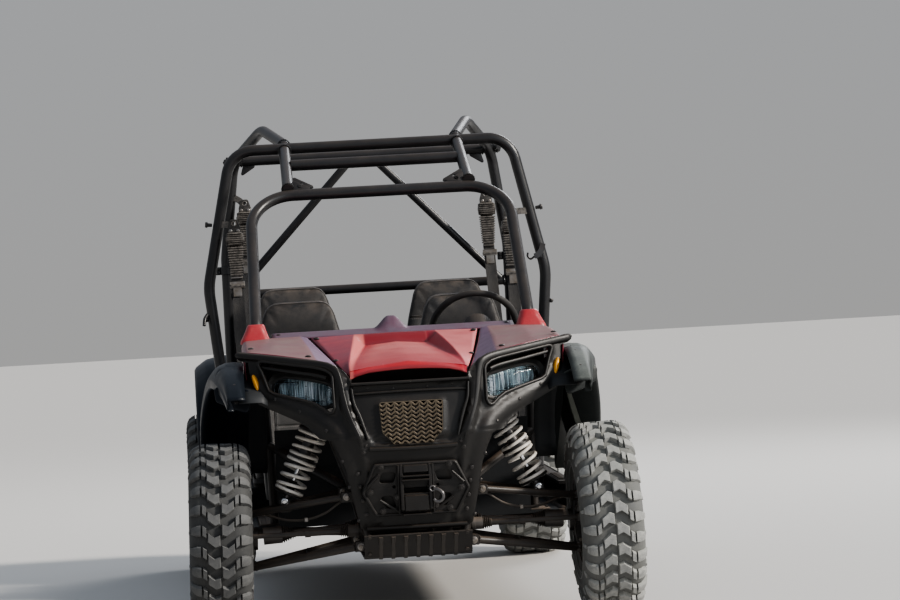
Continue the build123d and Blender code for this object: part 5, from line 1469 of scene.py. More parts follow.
def shock(kc, ks, kd, kch, o, n, L, s0, s1, R, body_r, side):
    """Coil-over: eyes, body, collars, rod and a two-part spring."""
    a, b, n = basis(n, (0, 1, 0))
    wire = 6.1
    mid = s0 + (s1 - s0) * 0.44
    ph = radians(40 if side > 0 else 200)
    helix(ks, o, n, s0, mid - 4, R - wire, wire, 4.2, 0.7, ph)
    helix(ks, o, n, mid + 4, s1, R - wire, wire, 4.6, 0.7, ph + 1.0)
    # collars at the ends and the slider between the springs
    kd.lathe([(s0 - 12, body_r - 1), (s0 - 12, R - 4), (s0 - 8, R + 0.4), (s0 - 1, R + 0.4), (s0, R - 2), (s0, body_r - 1)], o, n, 40, closed=True)
    kd.lathe([(s0 - 24, body_r - 1), (s0 - 24, body_r + 8), (s0 - 14, body_r + 10), (s0 - 14, body_r - 1)], o, n, 12, closed=True)
    kd.lathe([(mid - 4, body_r + 2), (mid - 4, R - 1), (mid + 4, R - 1), (mid + 4, body_r + 2)], o, n, 40, closed=True)
    kd.lathe([(mid - 16, body_r + 1), (mid - 16, R - 2 * wire - 1), (mid + 16, R - 2 * wire - 1), (mid + 16, body_r + 1)], o, n, 32, closed=True)
    kd.lathe([(s1, 10), (s1, R - 3), (s1 + 2, R - 0.5), (s1 + 7, R - 0.5), (s1 + 11, R - 8), (s1 + 11, 10)], o, n, 40, closed=True)
    # body with threads, then the rod, bump stop and gaiter
    prof = [(10, 0), (10, body_r - 4), (14, body_r)]
    t = 22.0
    while t < mid + 18:
        prof += [(t, body_r), (t + 1.6, body_r - 1.5), (t + 3.2, body_r)]
        t += 5
    prof += [(t, body_r + 1.5), (t + 8, body_r + 1.5), (t + 9, 12), (t + 9, 0)]
    kc.lathe(prof, o, n, 36)
    kch.lathe([(t, 0), (t, 8.2), (s1 + 8, 8.2), (s1 + 8, 0)], o, n, 24)
    kd.lathe([(s1 - 44, 8), (s1 - 44, 14), (s1 - 38, 18), (s1 - 30, 15), (s1 - 24, 19), (s1 - 14, 16), (s1 - 6, 21), (s1, 21), (s1, 8)], o, n, 28, closed=True)
    # eyes
    kc.lathe([(s1 + 10, 0), (s1 + 10, 13), (L - 12, 12), (L - 12, 0)], o, n, 24)
    for q, rr in ((o, 16), (o + n * L, 16)):
        kc.lathe([(-17, 8), (-17, rr - 1.2), (-16, rr), (16, rr), (17, rr - 1.2), (17, 8)], q, (0, 1, 0), 28, closed=True)
        kd.lathe([(-19, 0), (-19, 9.5), (19, 9.5), (19, 0)], q, (0, 1, 0), 20)
        kch.bolt(q + Vector((0, -24, 0)), (0, -1, 0), 8.5, 7)
        kch.rod(q + Vector((0, -24, 0)), q + Vector((0, 26, 0)), 5.5)
        kch.bolt(q + Vector((0, 24, 0)), (0, 1, 0), 8.5, 8)


kc, ks, kd, kch = Kit(), Kit(), Kit(), Kit()
for s in (1, -1):
    o = Vector((s * FS_TOP.x, FS_TOP.y, FS_TOP.z))
    n = Vector((s * FS_DIR.x, FS_DIR.y, FS_DIR.z))
    shock(kc, ks, kd, kch, o, n, FS_LEN, 34, 262, 55, 22, s)
    o = Vector((s * RS_TOP.x, RS_TOP.y, RS_TOP.z))
    n = Vector((s * RS_DIR.x, RS_DIR.y, RS_DIR.z))
    shock(kc, ks, kd, kch, o, n, RS_LEN, 40, 330, 56, 24, s)
sp = make(ks, "coils", MAT["spring_white"], "root", "spring_white", angle=60)
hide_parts("coil_springs")
sh = make(kc, "damper_bodies", MAT["shock_metal"], "root", "shock_metal", angle=40)
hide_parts("shock_absorbers")
make(kd, "damper_collars", MAT["plastic_black"], "root", "plastic_black", angle=40)
make(kch, "damper_rods", MAT["chrome"], "root", "shock_metal", angle=40)

# brake hoses as smooth lines
k = Kit()
kf = Kit()
for s in (1, -1):
    H = [(s * x, y, z) for x, y, z in ((216, -1496, 486), (262, -1492, 462), (318, -1474, 424), (384, -1450, 404), (450, -1426, 404), (508, -1402, 420), (546, -1388, 431))]
    k.sweep(bezier(H, 60), 4.6, 12)
    for i in (0, -1):
        p, q = Vector(H[i]), Vector(H[1 if i == 0 else -2])
        d = (q - p).normalized()
        kf.rod(p, p + d * 22, 6.6, 5.8, 16)
        kf.bolt(p - d * 1, -d, 7.5, 8, washer=False)
    c = Vector(H[3])
    kf.box(c.x - 7, c.x + 7, c.y - 8, c.y + 8, c.z - 8, c.z + 8, 2)
hose = make(k, "brake_lines", MAT["boot_rubber"], "root", "frame_black", angle=60)
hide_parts("brake_hoses")
make(kf, "brake_line_ends", MAT["bolt_steel"], "root", "shock_metal")


# ------------------------------------------------------------------ wheel-arch flares
def flare(k, centre, table, x_in, side, t=5.0, n=44, bead=True):
    """Smooth flare from radial stations: angle, radius, outer X, drop of the edge."""
    A = [r[0] for r in table][::-1]
    cols = [[r[i] for r in table][::-1] for i in (1, 2, 3)]
    # smooth by a cubic through the table
    P = bezier([(r[0], r[1], r[2]) for r in table], 64)
    D = bezier([(r[0], r[3], 0) for r in table], 64)
    rows = []
    cy, cz = centre
    for i in range(n + 1):
        f = i / n
        q = P[min(len(P) - 1, int(round(f * (len(P) - 1))))]
        dq = D[min(len(D) - 1, int(round(f * (len(D) - 1))))]
        a, r, xo, drop = radians(q.x), q.y, q.z, dq.y
        ends = min(1.0, min(f, 1 - f) * 9)
        line = [(x_in, r - 4), (x_in + 26, r), (x_in + 60, r - 1), ((x_in + 60) * 0.45 + xo * 0.55, r - drop * 0.16), (xo - 6, r - drop * 0.50),
                (xo, r - drop * 0.64), (xo + 0.0, r - drop * 0.98), (xo - 5, r - drop - 1), (xo - 22, r - drop - 3 + 2)]
        c = rounded_path([(p[0], 0, p[1]) for p in line], [10, 24, 40, 30, 8, 8, 4], 3)
        rows.append([Vector((side * p.x, cy + p.z * cos(a), cz + p.z * sin(a))) for p in c])
    m = len(rows[0])
    k.add([p for r in rows for p in r], [(i * m + j, i * m + j + 1, (i + 1) * m + j + 1, (i + 1) * m + j) for i in range(len(rows) - 1) for j in range(m - 1)])
    return rows


F_TAB = [(136, 530, 640, 56), (108, 492, 676, 78), (76, 486, 708, 88), (42, 452, 738, 80), (2, 452, 744, 60)]
R_TAB = [(176, 428, 757, 60), (138, 452, 757, 80), (100, 462, 757, 90), (64, 456, 757, 90), (36, 430, 750, 70)]
kf, kr, kb = Kit(), Kit(), Kit()
for s in (1, -1):
    rows_f = flare(kf, (-1250, 480), F_TAB, 577, s)
    rows_r = flare(kr, (1354, 470), R_TAB, 587, s)
    for rows, every in ((rows_f, 7), (rows_r, 7)):
        for i in range(4, len(rows) - 2, every):
            p, q = rows[i][2], rows[i + 1][2]
            nrm = (rows[i][2] - rows[i][-1]).normalized()
            c = Vector((0, -1250, 480)) if rows is rows_f else Vector((0, 1354, 470))
            out = (p - Vector((p.x, c.y, c.z))).normalized()
            kb.rivet(p + Vector((s * 10, 0, 0)), out, 7.5, 3)
    # front wing plate joining the fascia's arm, with its two bolts
    pl = [(0, 0), (92, 30), (128, 8), (120, -34), (60, -62), (0, -78)]
    o = Vector((s * 560, -1462, 872))
    x_ax = Vector((s * 1, 0.30, 0.02)).normalized()
    z_ax = Vector((0, 0.18, 1)).normalized()
    z_ax = (z_ax - x_ax * z_ax.dot(x_ax)).normalized()
    y_ax = z_ax.cross(x_ax) if s > 0 else x_ax.cross(z_ax)
    Mx = frame_matrix(o, x_ax, z_ax, x_ax.cross(z_ax))
    kf.plate(rounded_poly(pl, 12, 3), [], 7, 2.2, Mx, res=2)
    for u in (22, 46):
        kb.bolt(Mx @ Vector((u, -40, 0)) + Vector((0, -4, 0)), (0, -1, 0.1), 6, 5)
front_w = make(kf, "front_flares", MAT["wing_plastic"], "root", "plastic_black", angle=40)
rear_w = make(kr, "rear_flares", MAT["wing_plastic"], "root", "plastic_black", angle=40)
for ob in (front_w, rear_w):
    m = ob.modifiers.new("thick", "SOLIDIFY")
    m.thickness = 0.0055
    m.offset = 0
    m.use_even_offset = False
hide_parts("front_fenders")
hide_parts("rear_fenders")
make(kb, "flare_fasteners", MAT["dark_bolt"], "root", "plastic_black")

# inner liners over the front wheels, seen dark under the wings
k = Kit()
for s in (1, -1):
    rows = []
    for i in range(19):
        a = radians(interp(i, [0, 18], [128, 8]))
        r = 470 if i < 10 else 452
        rows.append([Vector((s * x, -1250 + rr * cos(a), 480 + rr * sin(a))) for x, rr in ((498, 430), (520, 446), (560, 447), (600, 447))])
    m = 4
    k.add([p for r in rows for p in r], [(i * m + j, i * m + j + 1, (i + 1) * m + j + 1, (i + 1) * m + j) for i in range(len(rows) - 1) for j in range(m - 1)])
ob = make(k, "arch_liners", MAT["liner_black"], "root", "plastic_black", angle=50, solid=3.0)

# ------------------------------------------------------------------ front bumper plate, hook and knobs
def bp(x, z, off=0.0):
    """Point on the bumper plate's face."""
    return Vector((x, -1684 + 20 + (690 - z) * 0.176 - 20 - off, z))


BN = Vector((0, -1, -0.176)).normalized()
BX, BZ = Vector((1, 0, 0)), Vector((0, -0.176, 1)).normalized()
k, kb2, kh = Kit(), Kit(), Kit()
Mb = frame_matrix(Vector((0, -1684 + 10 + (690 - 505) * 0.176, 505)), BX, Vector((0, -0.176, 1)).normalized(), BX.cross(Vector((0, -0.176, 1)).normalized()))
hexa = [(x, z - 505) for x, z in [(-146, 600), (146, 600), (192, 500), (146, 412), (-146, 412), (-192, 500)]]
slots = [[(-40, 6), (40, 6), (40, -16), (-40, -16)], rounded_poly([(-118, 62), (-66, 62), (-78, 26), (-130, 26)], 8, 3), rounded_poly([(118, 62), (66, 62), (78, 26), (130, 26)], 8, 3),
         rounded_poly([(-128, -22), (-84, -22), (-70, -66), (-104, -66)], 8, 3), rounded_poly([(128, -22), (84, -22), (70, -66), (104, -66)], 8, 3),
         circle(-76.2, 10, 5.25, 20), circle(76.2, 10, 5.25, 20)]
k.plate(rounded_poly(hexa, 16, 4), slots, 8, 2.0, Mb @ Matrix.Translation((0, 0, 1)), res=2)
# raised edge round the plate and the V ribs
ring = [Mb @ Vector((x, z, 6)) for x, z in rounded_poly([(x * 0.965, z * 0.955) for x, z in hexa], 14, 4)]
k.sweep(ring, 5.5, 8, closed=True)
for s in (1, -1):
    for a, b in (((s * 128, 470), (s * 62, 425)), ((s * 168, 520), (s * 128, 560)), ((s * 60, 590), (s * 60, 420))):
        k.sweep([bp(a[0], a[1], 3), bp((a[0] + b[0]) / 2, (a[1] + b[1]) / 2, 4), bp(b[0], b[1], 3)], 5.0, 8)
# hook block: ribbed box on top, dark mouth, lower block
k.box(-44, 44, -1674, -1638, 560, 590, 4)
for z in (536, 550):
    k.box(-50, 50, -1680, -1640, z - 3, z + 3, 2)
k.box(-46, 46, -1672, -1632, 424, 486, 6)
k.box(-52, 52, -1667, -1640, 484, 490, 2)
k.box(-50, 50, -1666, -1636, 412, 418, 2)
k.box(-56, -44, -1672, -1636, 430, 592, 3)
k.box(44, 56, -1672, -1636, 430, 592, 3)
kb2.rod(bp(-38, 512, -14), bp(38, 512, -14), 7, segs=20)
kb2.rod(bp(-38, 520, -30), bp(38, 520, -30), 9, segs=20)
for x in (-44, 44):
    kb2.rod(bp(x, 502, -22), bp(x, 530, -22), 6, segs=16)
# rope thimble and hook
hk = [Vector((64, -1672, 502)), Vector((78, -1682, 498)), Vector((90, -1686, 486)), Vector((92, -1684, 470)), Vector((82, -1680, 458)), Vector((68, -1676, 458)), Vector((60, -1674, 466))]
kh.sweep(bezier(hk, 40), 6.2, 12)
kh.torus((56, -1674, 503), (0, -1, 0), 9, 3.2, 24, 10)
for x, z in ((-64, 478), (70, 440), (-120, 586), (120, 586), (-160, 500), (160, 500), (-118, 430), (118, 430)):
    kb2.bolt(bp(x, z, 0), BN, 7.5, 6)
plate_ob = make(k, "bumper_shell", MAT["nose_black"], "root", "frame_black", angle=40)
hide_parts("front_bumper")
make(kb2, "bumper_rollers", MAT["dark_bolt"], "root", "frame_black")
make(kh, "bumper_hook", MAT["shock_metal"], "root", "shock_metal", angle=60)

# edge bolts down the fascia and the strip under it
k = Kit()
for s in (1, -1):
    for x, z in ((186, 566), (179, 520), (172, 470), (163, 420)):
        k.bolt(fas(s * (x + 14), z, 0.5), fas_n(s * x, z), 5.2, 4.4)
make(k, "edge_bolts", MAT["dark_bolt"], "root", "shock_metal")
k = Kit()
moulding(k, [(x, 368) for x in range(-176, 177, 22)], 14, 8)
make(k, "lower_lip", MAT["plastic_black"], "root", "plastic_black", angle=50)
# ribs pressed in the skid plate's nose
k = Kit()
for x in (-132, -88, -44, 0, 44, 88, 132):
    pts = [Vector((x, -1652, 340)), Vector((x, -1612, 297)), Vector((x, -1592, 271)), Vector((x, -1560, 258.5))]
    k.sweep(pts, 1.0, sect=[(-9, -4), (-6, 2.6), (6, 2.6), (9, -4)], ref=[Vector((0, -0.75, -0.66))] * 2 + [Vector((0, -0.5, -0.86)), Vector((0, -0.1, -1))])
for x in (-172, 172):
    for y, z in ((-1645, 343), (-1600, 282)):
        k.bolt((x, y, z), (0, -0.78, -0.62), 7, 5)
make(k, "skid_ribs", MAT["frame_black"], "root", "frame_black", angle=40)

# ------------------------------------------------------------------ radiator core
k = Kit()
k.box(-178, 178, -1553, -1535, 523, 827, 3)
k.mi = 1
for i in range(46):
    z = 532 + i * 6.4
    k.box(-164, 164, -1557.5, -1552, z, z + 2.4, 0.4)
k.mi = 2
k.box(-182, -166, -1558, -1530, 520, 830, 5)
k.box(166, 182, -1558, -1530, 520, 830, 5)
k.rod((-174, -1545, 800), (-174, -1470, 812), 14, segs=20)
k.rod((174, -1545, 560), (174, -1480, 552), 14, segs=20)
rad = make(k, "radiator_core", [MAT["bare_aluminium"], MAT["engine_metal"], MAT["plastic_black"]], "root", "bare_aluminium", angle=40)
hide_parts("radiator")


# ------------------------------------------------------------------ rear body
k = Kit()
kb3 = Kit()
B = (-560, 560, 1050, 1690, 800, 985)
# floor with pressed ribs, walls with a rolled rim
k.box(-556, 556, 1054, 1686, 800, 811, 3)
for i in range(15):
    x = -490 + i * 70
    k.loft([[(x - 20, y, 810), (x - 12, y, 817), (x + 12, y, 817), (x + 20, y, 810)] for y in (1085, 1655)])
for x0, x1, y0, y1 in ((-560, -548, 1050, 1690), (548, 560, 1050, 1690), (-560, 560, 1050, 1062)):
    k.box(x0, x1, y0, y1, 802, 982, 3)
k.box(-546, 546, 1679, 1690, 804, 984, 3)
rim_pts = rounded_path([(-554, 1684, 984), (-554, 1056, 984), (554, 1056, 984), (554, 1684, 984)], 26, 6)
k.sweep(rim_pts, 9, 12)
k.sweep([(-552, 1685, 984), (552, 1685, 984)], 9, 12)
for x in (-500, -380, -260, -140, 140, 260, 380, 500):
    k.loft([[(x - 16, 1689, z), (x - 10, 1694, z), (x + 10, 1694, z), (x + 16, 1689, z)] for z in (835 if abs(x) < 420 else 928, 968)])
for s in (1, -1):
    for y in (1120, 1240, 1360, 1480, 1600):
        k.loft([[(s * 547, y - 14, z), (s * 542, y - 8, z), (s * 542, y + 8, z), (s * 547, y + 14, z)] for z in (818, 968)])
# tailgate with its latch handle and hinges
k.box(-150, 150, 1688, 1697, 875, 945, 3)
kb3.box(-62, 62, 1696, 1712, 902, 924, 6)
kb3.box(-74, 74, 1694, 1700, 894, 932, 3)
for x in (-460, 460):
    kb3.box(x - 26, x + 26, 1688, 1700, 806, 826, 2)
    kb3.rod((x - 30, 1699, 812), (x + 30, 1699, 812), 6, segs=16)
    kb3.bolt((x * 1.19, 1692, 945), (0, 1, 0), 7, 6)
    for y in (1130, 1600):
        kb3.bolt((x * 0.95, y, 817), (0, 0, 1), 8, 5)
bed = make(k, "bed_shell", MAT["plastic_black"], "root", "plastic_black", angle=36)
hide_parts("cargo_bed")
make(kb3, "bed_fittings", MAT["dark_bolt"], "root", "frame_black", angle=40)
k = Kit()
for s in (1, -1):
    Mp = frame_matrix(Vector((s * 578, 0, 0)), Vector((0, 1, 0)), Vector((0, 0, 1)), Vector((1, 0, 0)))
    k.plate(rounded_poly([(1023, 803), (1017, 1006), (1120, 1018), (1686, 983), (1688, 832), (1560, 907), (1200, 927), (1082, 862)], [6, 20, 60, 24, 20, 60, 60, 30], 5), [], 9, 3, Mp, res=2)
    for a, b, w in (((1050, 985), (1660, 958), 7), ((1110, 955), (1640, 935), 4)):
        k.sweep([(s * 583, a[0], a[1]), (s * 585, (a[0] + b[0]) / 2, (a[1] + b[1]) / 2 + 6), (s * 583, b[0], b[1])], w, 10)
sp_ob = make(k, "side_panels", MAT["quarter_red"], "root", "body_red", angle=40)
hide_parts("rear_side_panels")
k = Kit()
for s in (1, -1):
    for y, z in ((1060, 990), (1300, 985), (1560, 968), (1670, 955), (1100, 890), (1660, 862)):
        k.rivet((s * 583, y, z), (s, 0, 0), 7, 3)
make(k, "side_rivets", MAT["dark_bolt"], "root", "plastic_black")

# tail lamps: dark tray, ribbed lens and its screws
k = Kit()
for s in (1, -1):
    k.mi = 0
    k.box(*sorted((s * 427, s * 548)), 1689.5, 1697, 847, 923, 4)
    k.mi = 1
    k.box(*sorted((s * 433, s * 542)), 1695, 1704, 853, 917, 5)
    for i in range(11):
        x = s * (441 + i * 9.4)
        k.loft([[(x - 3.2, 1703, z), (x, 1706, z), (x + 3.2, 1703, z)] for z in (858, 912)])
    k.mi = 2
    for x in (436, 539):
        k.bolt((s * x, 1704, 885), (0, 1, 0), 3.4, 2.4, washer=False)
tl = make(k, "tail_lamps", [MAT["plastic_black"], MAT["red_lens"], MAT["bolt_steel"]], "root", "lamp_red", angle=40)
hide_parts("tail_lights")


# ------------------------------------------------------------------ cage fittings
kg, kb4, kc4 = Kit(), Kit(), Kit()


def gusset(a, b, c, t=6, hole=None):
    """Triangular plate between three points, its normal from the triangle."""
    a, b, c = Vector(a), Vector(b), Vector(c)
    x = (b - a).normalized()
    n = x.cross(c - a).normalized()
    y = n.cross(x)
    M = frame_matrix(a, x, y, n)
    pts = [((p - a).dot(x), (p - a).dot(y)) for p in (a, b, c)]
    mid = (sum(p[0] for p in pts) / 3, sum(p[1] for p in pts) / 3)
    kg.plate(rounded_poly(pts, 6, 2), [circle(mid[0], mid[1], hole, 14)] if hole else [], t, 1.2, M)
    return M @ Vector((mid[0], mid[1], t / 2)), n


def weld(p, n, R, r=3.2):
    """Weld bead round a tube end."""
    a, b, n = basis(n)
    pts, rs = [], []
    for i in range(56):
        t = 2 * pi * i / 56
        pts.append(Vector(p) + a * (R * cos(t)) + b * (R * sin(t)))
        rs.append(1.0 + 0.22 * sin(i * 1.9))
    kg.sweep(pts, r, 8, closed=True, rs=rs)


def clamp(p, n, R, w=34, ear=True, eara=0):
    """Split clamp round a tube at p along n, with two bolts."""
    p = Vector(p)
    a, b, n = basis(n)
    kg.lathe([(-w / 2, R), (-w / 2, R + 5), (-w / 2 + 2, R + 7), (w / 2 - 2, R + 7), (w / 2, R + 5), (w / 2, R)], p, n, 36, closed=True)
    if ear:
        for s in (1, -1):
            d = (a * cos(eara) + b * sin(eara)) * s
            e = n.cross(d)
            M = frame_matrix(p + d * (R + 12), d, e, n)
            kg.box(-8, 12, -10, 10, -w / 2, w / 2, 2, M)
            for q in (-1, 1):
                kb4.bolt(p + d * (R + 14) + e * 10 + n * q * w * 0.25, e, 5.5, 5)
                kb4.bolt(p + d * (R + 14) - e * 10 + n * q * w * 0.25, -e, 5.5, 5)


T = 22.2
for s in (1, -1):
    # roof rails meet the front hoop: gusset with a bolt
    q, n = gusset((s * 330, -262, 1596), (s * 250, -262, 1598), (s * 336, -236, 1640), 7)
    q, n = gusset((s * 328, -246, 1604), (s * 236, -246, 1602), (s * 332, -216, 1652), 7, 7)
    kb4.bolt((s * 306, -252, 1612), (0, -1, 0.3), 8, 7)
    weld((s * 352, -256, 1604), (0.0, 0.93, 0.36), T + 1)
    # rails meet the main hoop
    for dx in (-1, 1):
        gusset((s * 346 + dx * 24, 200, 1786), (s * 346 + dx * 78, 200, 1788), (s * 346 + dx * 24, 262, 1800), 6)
    weld((s * 346, 226, 1790), (0, 1, 0.2), T + 2)
    weld((s * 346, 176, 1768), (0, -1, -0.35), T + 2)
    # rear corners of the rails
    clamp((s * 543, 940, 1757), (0.55 * s, 0.7, -0.5), T)
    weld((s * 512, 950, 1757), (1, 0, 0), T - 0.5)
    weld((s * 576, 974, 1195), (1, 0, 0), 20)
    # split clamps at the hoop feet
    for p, d in (((s * 505, -758, 930), (s * 0.04, 0.09, 1)), ((s * 636, 200, 790), (s * 0.1, 0, 1)), ((s * 599, 966, 1300), (0, 0, 1))):
        clamp(p, d, T)
    # adjuster knob outside the main hoop, at shoulder height
    kb4.rod((s * 652, 200, 1486), (s * 672, 200, 1488), 7, 8, 18)
    kb4.rod((s * 670, 200, 1488), (s * 680, 200, 1489), 12, 11, 8)
    # net stub with a rounded end
    kb4.rod((s * 668, 198, 1112), (s * 694, 196, 1108), 6, 7, 16)
    kb4.ball((s * 695, 196, 1108), 9, 16, 8)
    for y in (-700, 190):
        kb4.bolt((s * (520 if y < 0 else 626), y - (26 if y < 0 else 26), 700), (0, -1, 0), 8, 7)
    weld((s * 48, 954, 1742), (s * 0.69, 0.01, -0.72), 18.5)
    gusset((s * 40, 950, 1738), (s * 110, 950, 1738), (s * 84, 950, 1702), 6)
    gusset((s * 505, 950, 1740), (s * 440, 950, 1740), (s * 520, 950, 1690), 6)
kb4.bolt((306, -252, 1612), (0, -1, 0.3), 8, 7)
# short latch strap hanging from the left of the main hoop, with its hook
kg.sweep(bezier([(672, 178, 1340), (664, 166, 1316), (648, 160, 1296), (634, 158, 1290)], 16), 1.0, ref=(0, -1, 0.1), sect=[(-11, -1.2), (-11, 1.2), (11, 1.2), (11, -1.2)])
kg.box(634, 664, 160, 172, 1282, 1300, 3)
kb4.sweep(bezier([(634, 160, 1290), (618, 160, 1280), (606, 160, 1292), (608, 160, 1306)], 14), 4, 10)
# release lever outside the main hoop on the right
kb4.rod((-668, 196, 1128), (-690, 190, 1128), 8, 8, 16)
kg.sweep(bezier([(-690, 190, 1130), (-702, 180, 1112), (-706, 168, 1086)], 12), 7, 10)
make(kg, "cage_gussets", MAT["cage_black"], "root", "cage_black", angle=40)
make(kb4, "cage_bolts", MAT["dark_bolt"], "root", "shock_metal", angle=40)

# ------------------------------------------------------------------ seat belts
# columns: side, reel X, Y, top Z, half width, ribs; anchor X, Y, Z; bracket end X, Z on the tube
BELTS = ((1, 541, 150, 1450, 34, 12, 566, 190, 560, 636, 1474), (1, 512, 900, 1536, 35, 12, 560, 880, 600, 552, 1590),
         (-1, 565, 150, 1460, 34, 12, 566, 190, 560, 636, 1484), (-1, 508, 900, 1552, 35, 12, 560, 880, 600, 550, 1606))
kr2, kw, km = Kit(), Kit(), Kit()
for s in (1, -1):
    for x, y, z, hw, n, xa, ya, za, xt, zt in [r[1:] for r in BELTS if r[0] == s]:
        X = s * x
        # bracket plate with a hole at its top, arm to the tube
        Mp = frame_matrix(Vector((X, y + 22, z)), Vector((1, 0, 0)), Vector((0, 0, 1)), Vector((0, -1, 0)))
        kr2.plate(rounded_poly([(-15, 44), (15, 44), (26, 8), (26, -70), (-26, -70), (-26, 8)], 8, 3), [circle(0, 27, 7, 18)], 6, 1.2, Mp)
        km.ring(Mp @ Vector((0, 27, 2)), (0, -1, 0), 10.5, 7, 0, 2.4, 24)
        kr2.sweep([Mp @ Vector((0, 20, -4)), Vector((s * (x + xt) / 2, y + 32, (z + zt) / 2 + 14)), Vector((s * xt, y + 38, zt))], 1.0, ref=(0, -1, 0),
                  sect=[(-13, -3), (-13, 3), (13, 3), (13, -3)])
        for dx, dz in ((-15, -2), (15, -2)):
            km.bolt(Mp @ Vector((dx, dz, 3)), (0, -1, 0), 5, 4)
        # reel body: drum between cheeks, ribbed cover
        kr2.box(X - hw + 3, X + hw - 3, y - 16, y + 18, z - 62, z - 8, 5)
        kr2.rod((X - hw, y, z - 36), (X + hw, y, z - 36), 24, segs=32)
        for sx in (1, -1):
            km.lathe([(0, 0), (0, 9), (2, 9), (3, 6), (3, 0)], (X + sx * hw, y, z - 36), (sx, 0, 0), 16)
        for i in range(6):
            kr2.box(X - hw + 5, X + hw - 5, y - 28 + abs(i - 2.5) * 1.6, y - 12, z - 56 + i * 8.2, z - 52.4 + i * 8.2, 1.4)
        # ribbed guide below the reel
        for i in range(n):
            zz = z - 66 - i * 9.8
            w = hw - 2 - 7.0 * (i / n)
            kr2.box(X - w, X + w, y - 26, y + 14, zz - 6.0, zz, 2.2)
            kr2.box(X - w + 5, X + w - 5, y - 20, y + 8, zz - 10.8, zz - 5, 1)
        zz = z - 66 - n * 9.8
        km.box(X - 24, X + 24, y - 16, y + 4, zz - 9, zz - 1, 2)
        # webbing down to the anchor, slightly slack and twisted at the foot
        pts, refs = [], []
        N = 34
        for i in range(N + 1):
            t = i / N
            px = X + (s * xa - X) * t - s * 5 * sin(pi * t)
            py = (y - 6) + (ya - 44 - y + 6) * t - 6 * sin(pi * t)
            pz = zz - 4 + (za - 10 - zz + 4) * t
            pts.append(Vector((px, py, pz)))
            tw = radians(26) * smooth01((t - 0.72) / 0.25) * -s
            refs.append(Vector((sin(tw), -cos(tw), 0)))
        sect = [(-23.5, -0.8), (-23.5, 0.8), (-19, 1.2), (-18, 0.8), (18, 0.8), (19, 1.2), (23.5, 0.8), (23.5, -0.8), (19, -1.2), (18, -0.8), (-18, -0.8), (-19, -1.2)]
        kw.sweep(pts, 1.0, sect=sect, ref=refs)
        # tongue parked on the webbing, just below the guide, and a second one lower
        for tt, big in ((0.06, 1), (0.62, 0)):
            c = pts[0].lerp(pts[-1], tt)
            km.box(c.x - 30, c.x + 30, c.y - 9, c.y - 3, c.z, c.z + (26 if big else 20), 2)
            km.box(c.x - 17, c.x + 17, c.y - 8, c.y - 4, c.z - 34, c.z + 2, 2)
            kr2.box(c.x - 31, c.x + 31, c.y - 12, c.y + 3, c.z + 4, c.z + 16, 3)
        kr2.box(s * xa - 18, s * xa + 18, ya - 54, ya - 38, za - 38, za + 26, 5)
        km.box(s * xa - 15, s * xa + 15, ya - 56, ya - 52, za - 8, za + 18, 2)
        km.bolt((s * xa - 0, ya - 56, za - 26), (0, -1, 0), 8, 6)
    # inboard buckles on stalks
    for y, z in ((40, 590), (700, 640)):
        kr2.sweep(bezier([(s * 92, y + 46, z - 70), (s * 96, y + 30, z - 20), (s * 104, y + 10, z + 30)], 16), 6.5, 10)
        M = look((s * 105, y + 8, z + 34), (s * 0.15, -0.45, 0.88), (0, 1, 0))
        kr2.box(-19, 19, -10, 10, 0, 58, 4, M)
        km.mi = 0
        km.box(-12, 12, -7, 7, 56, 60, 2, M)
rb = make(kr2, "belt_reels", MAT["belt_dark"], "root", "plastic_black", angle=40)
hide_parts("seat_belts")
make(kw, "belt_straps", MAT["belt_webbing"], "root", "belt_webbing", angle=50)
make(km, "belt_metal", MAT["bolt_steel"], "root", "shock_metal", angle=40)

# ------------------------------------------------------------------ seats
# Every seat has the same cushion and back. They are shaped once round x = 0 in the front seats' place.
SEAT_SHIFTS = (("front_left", 325, 0, 0), ("front_right", -325, 0, 0), ("rear_left", 325, 670, 52), ("rear_right", -325, 670, 52))
INS = 120.0                                      # half width of the centre panel
CH_Y = (-205.0, -130.0, -55.0, 20.0)             # sewn channels across the cushion
CH_Z = (600.0, 668.0, 736.0, 804.0, 872.0, 940.0)  # sewn channels across the back
HEAD_Z = 1008.0                                  # seam below the head pad


def c_top(x, y):
    """Height of the cushion's cover before it is stuffed."""
    z = interp(y, [-268, -258, -240, -205, -120, 0, 100], [548, 570, 586, 593, 586, 578, 574])
    b = smooth01((abs(x) - 108) / 46.0) * 15 - smooth01((abs(x) - 182) / 34.0) * 16
    return z + b - 5


def b_front(x, z):
    """Depth of the back's front cover before it is stuffed."""
    y = 128 + (z - 592) * 0.1093 + 9
    w = b_half(z)
    k = abs(x) / w
    bol = smooth01((k - 0.50) / 0.26) * 20 - smooth01((k - 0.86) / 0.14) * 13
    return y + 10 - bol * interp(z, [470, 560, 900, 1000, 1160], [0.5, 1.0, 1.0, 0.25, 0.1])


def b_rear(z):
    return 220 + (z - 526) * 0.1045 - 9


def b_half(z):
    return interp(z, [470, 790, 1000, 1175], [212, 212, 172, 126])


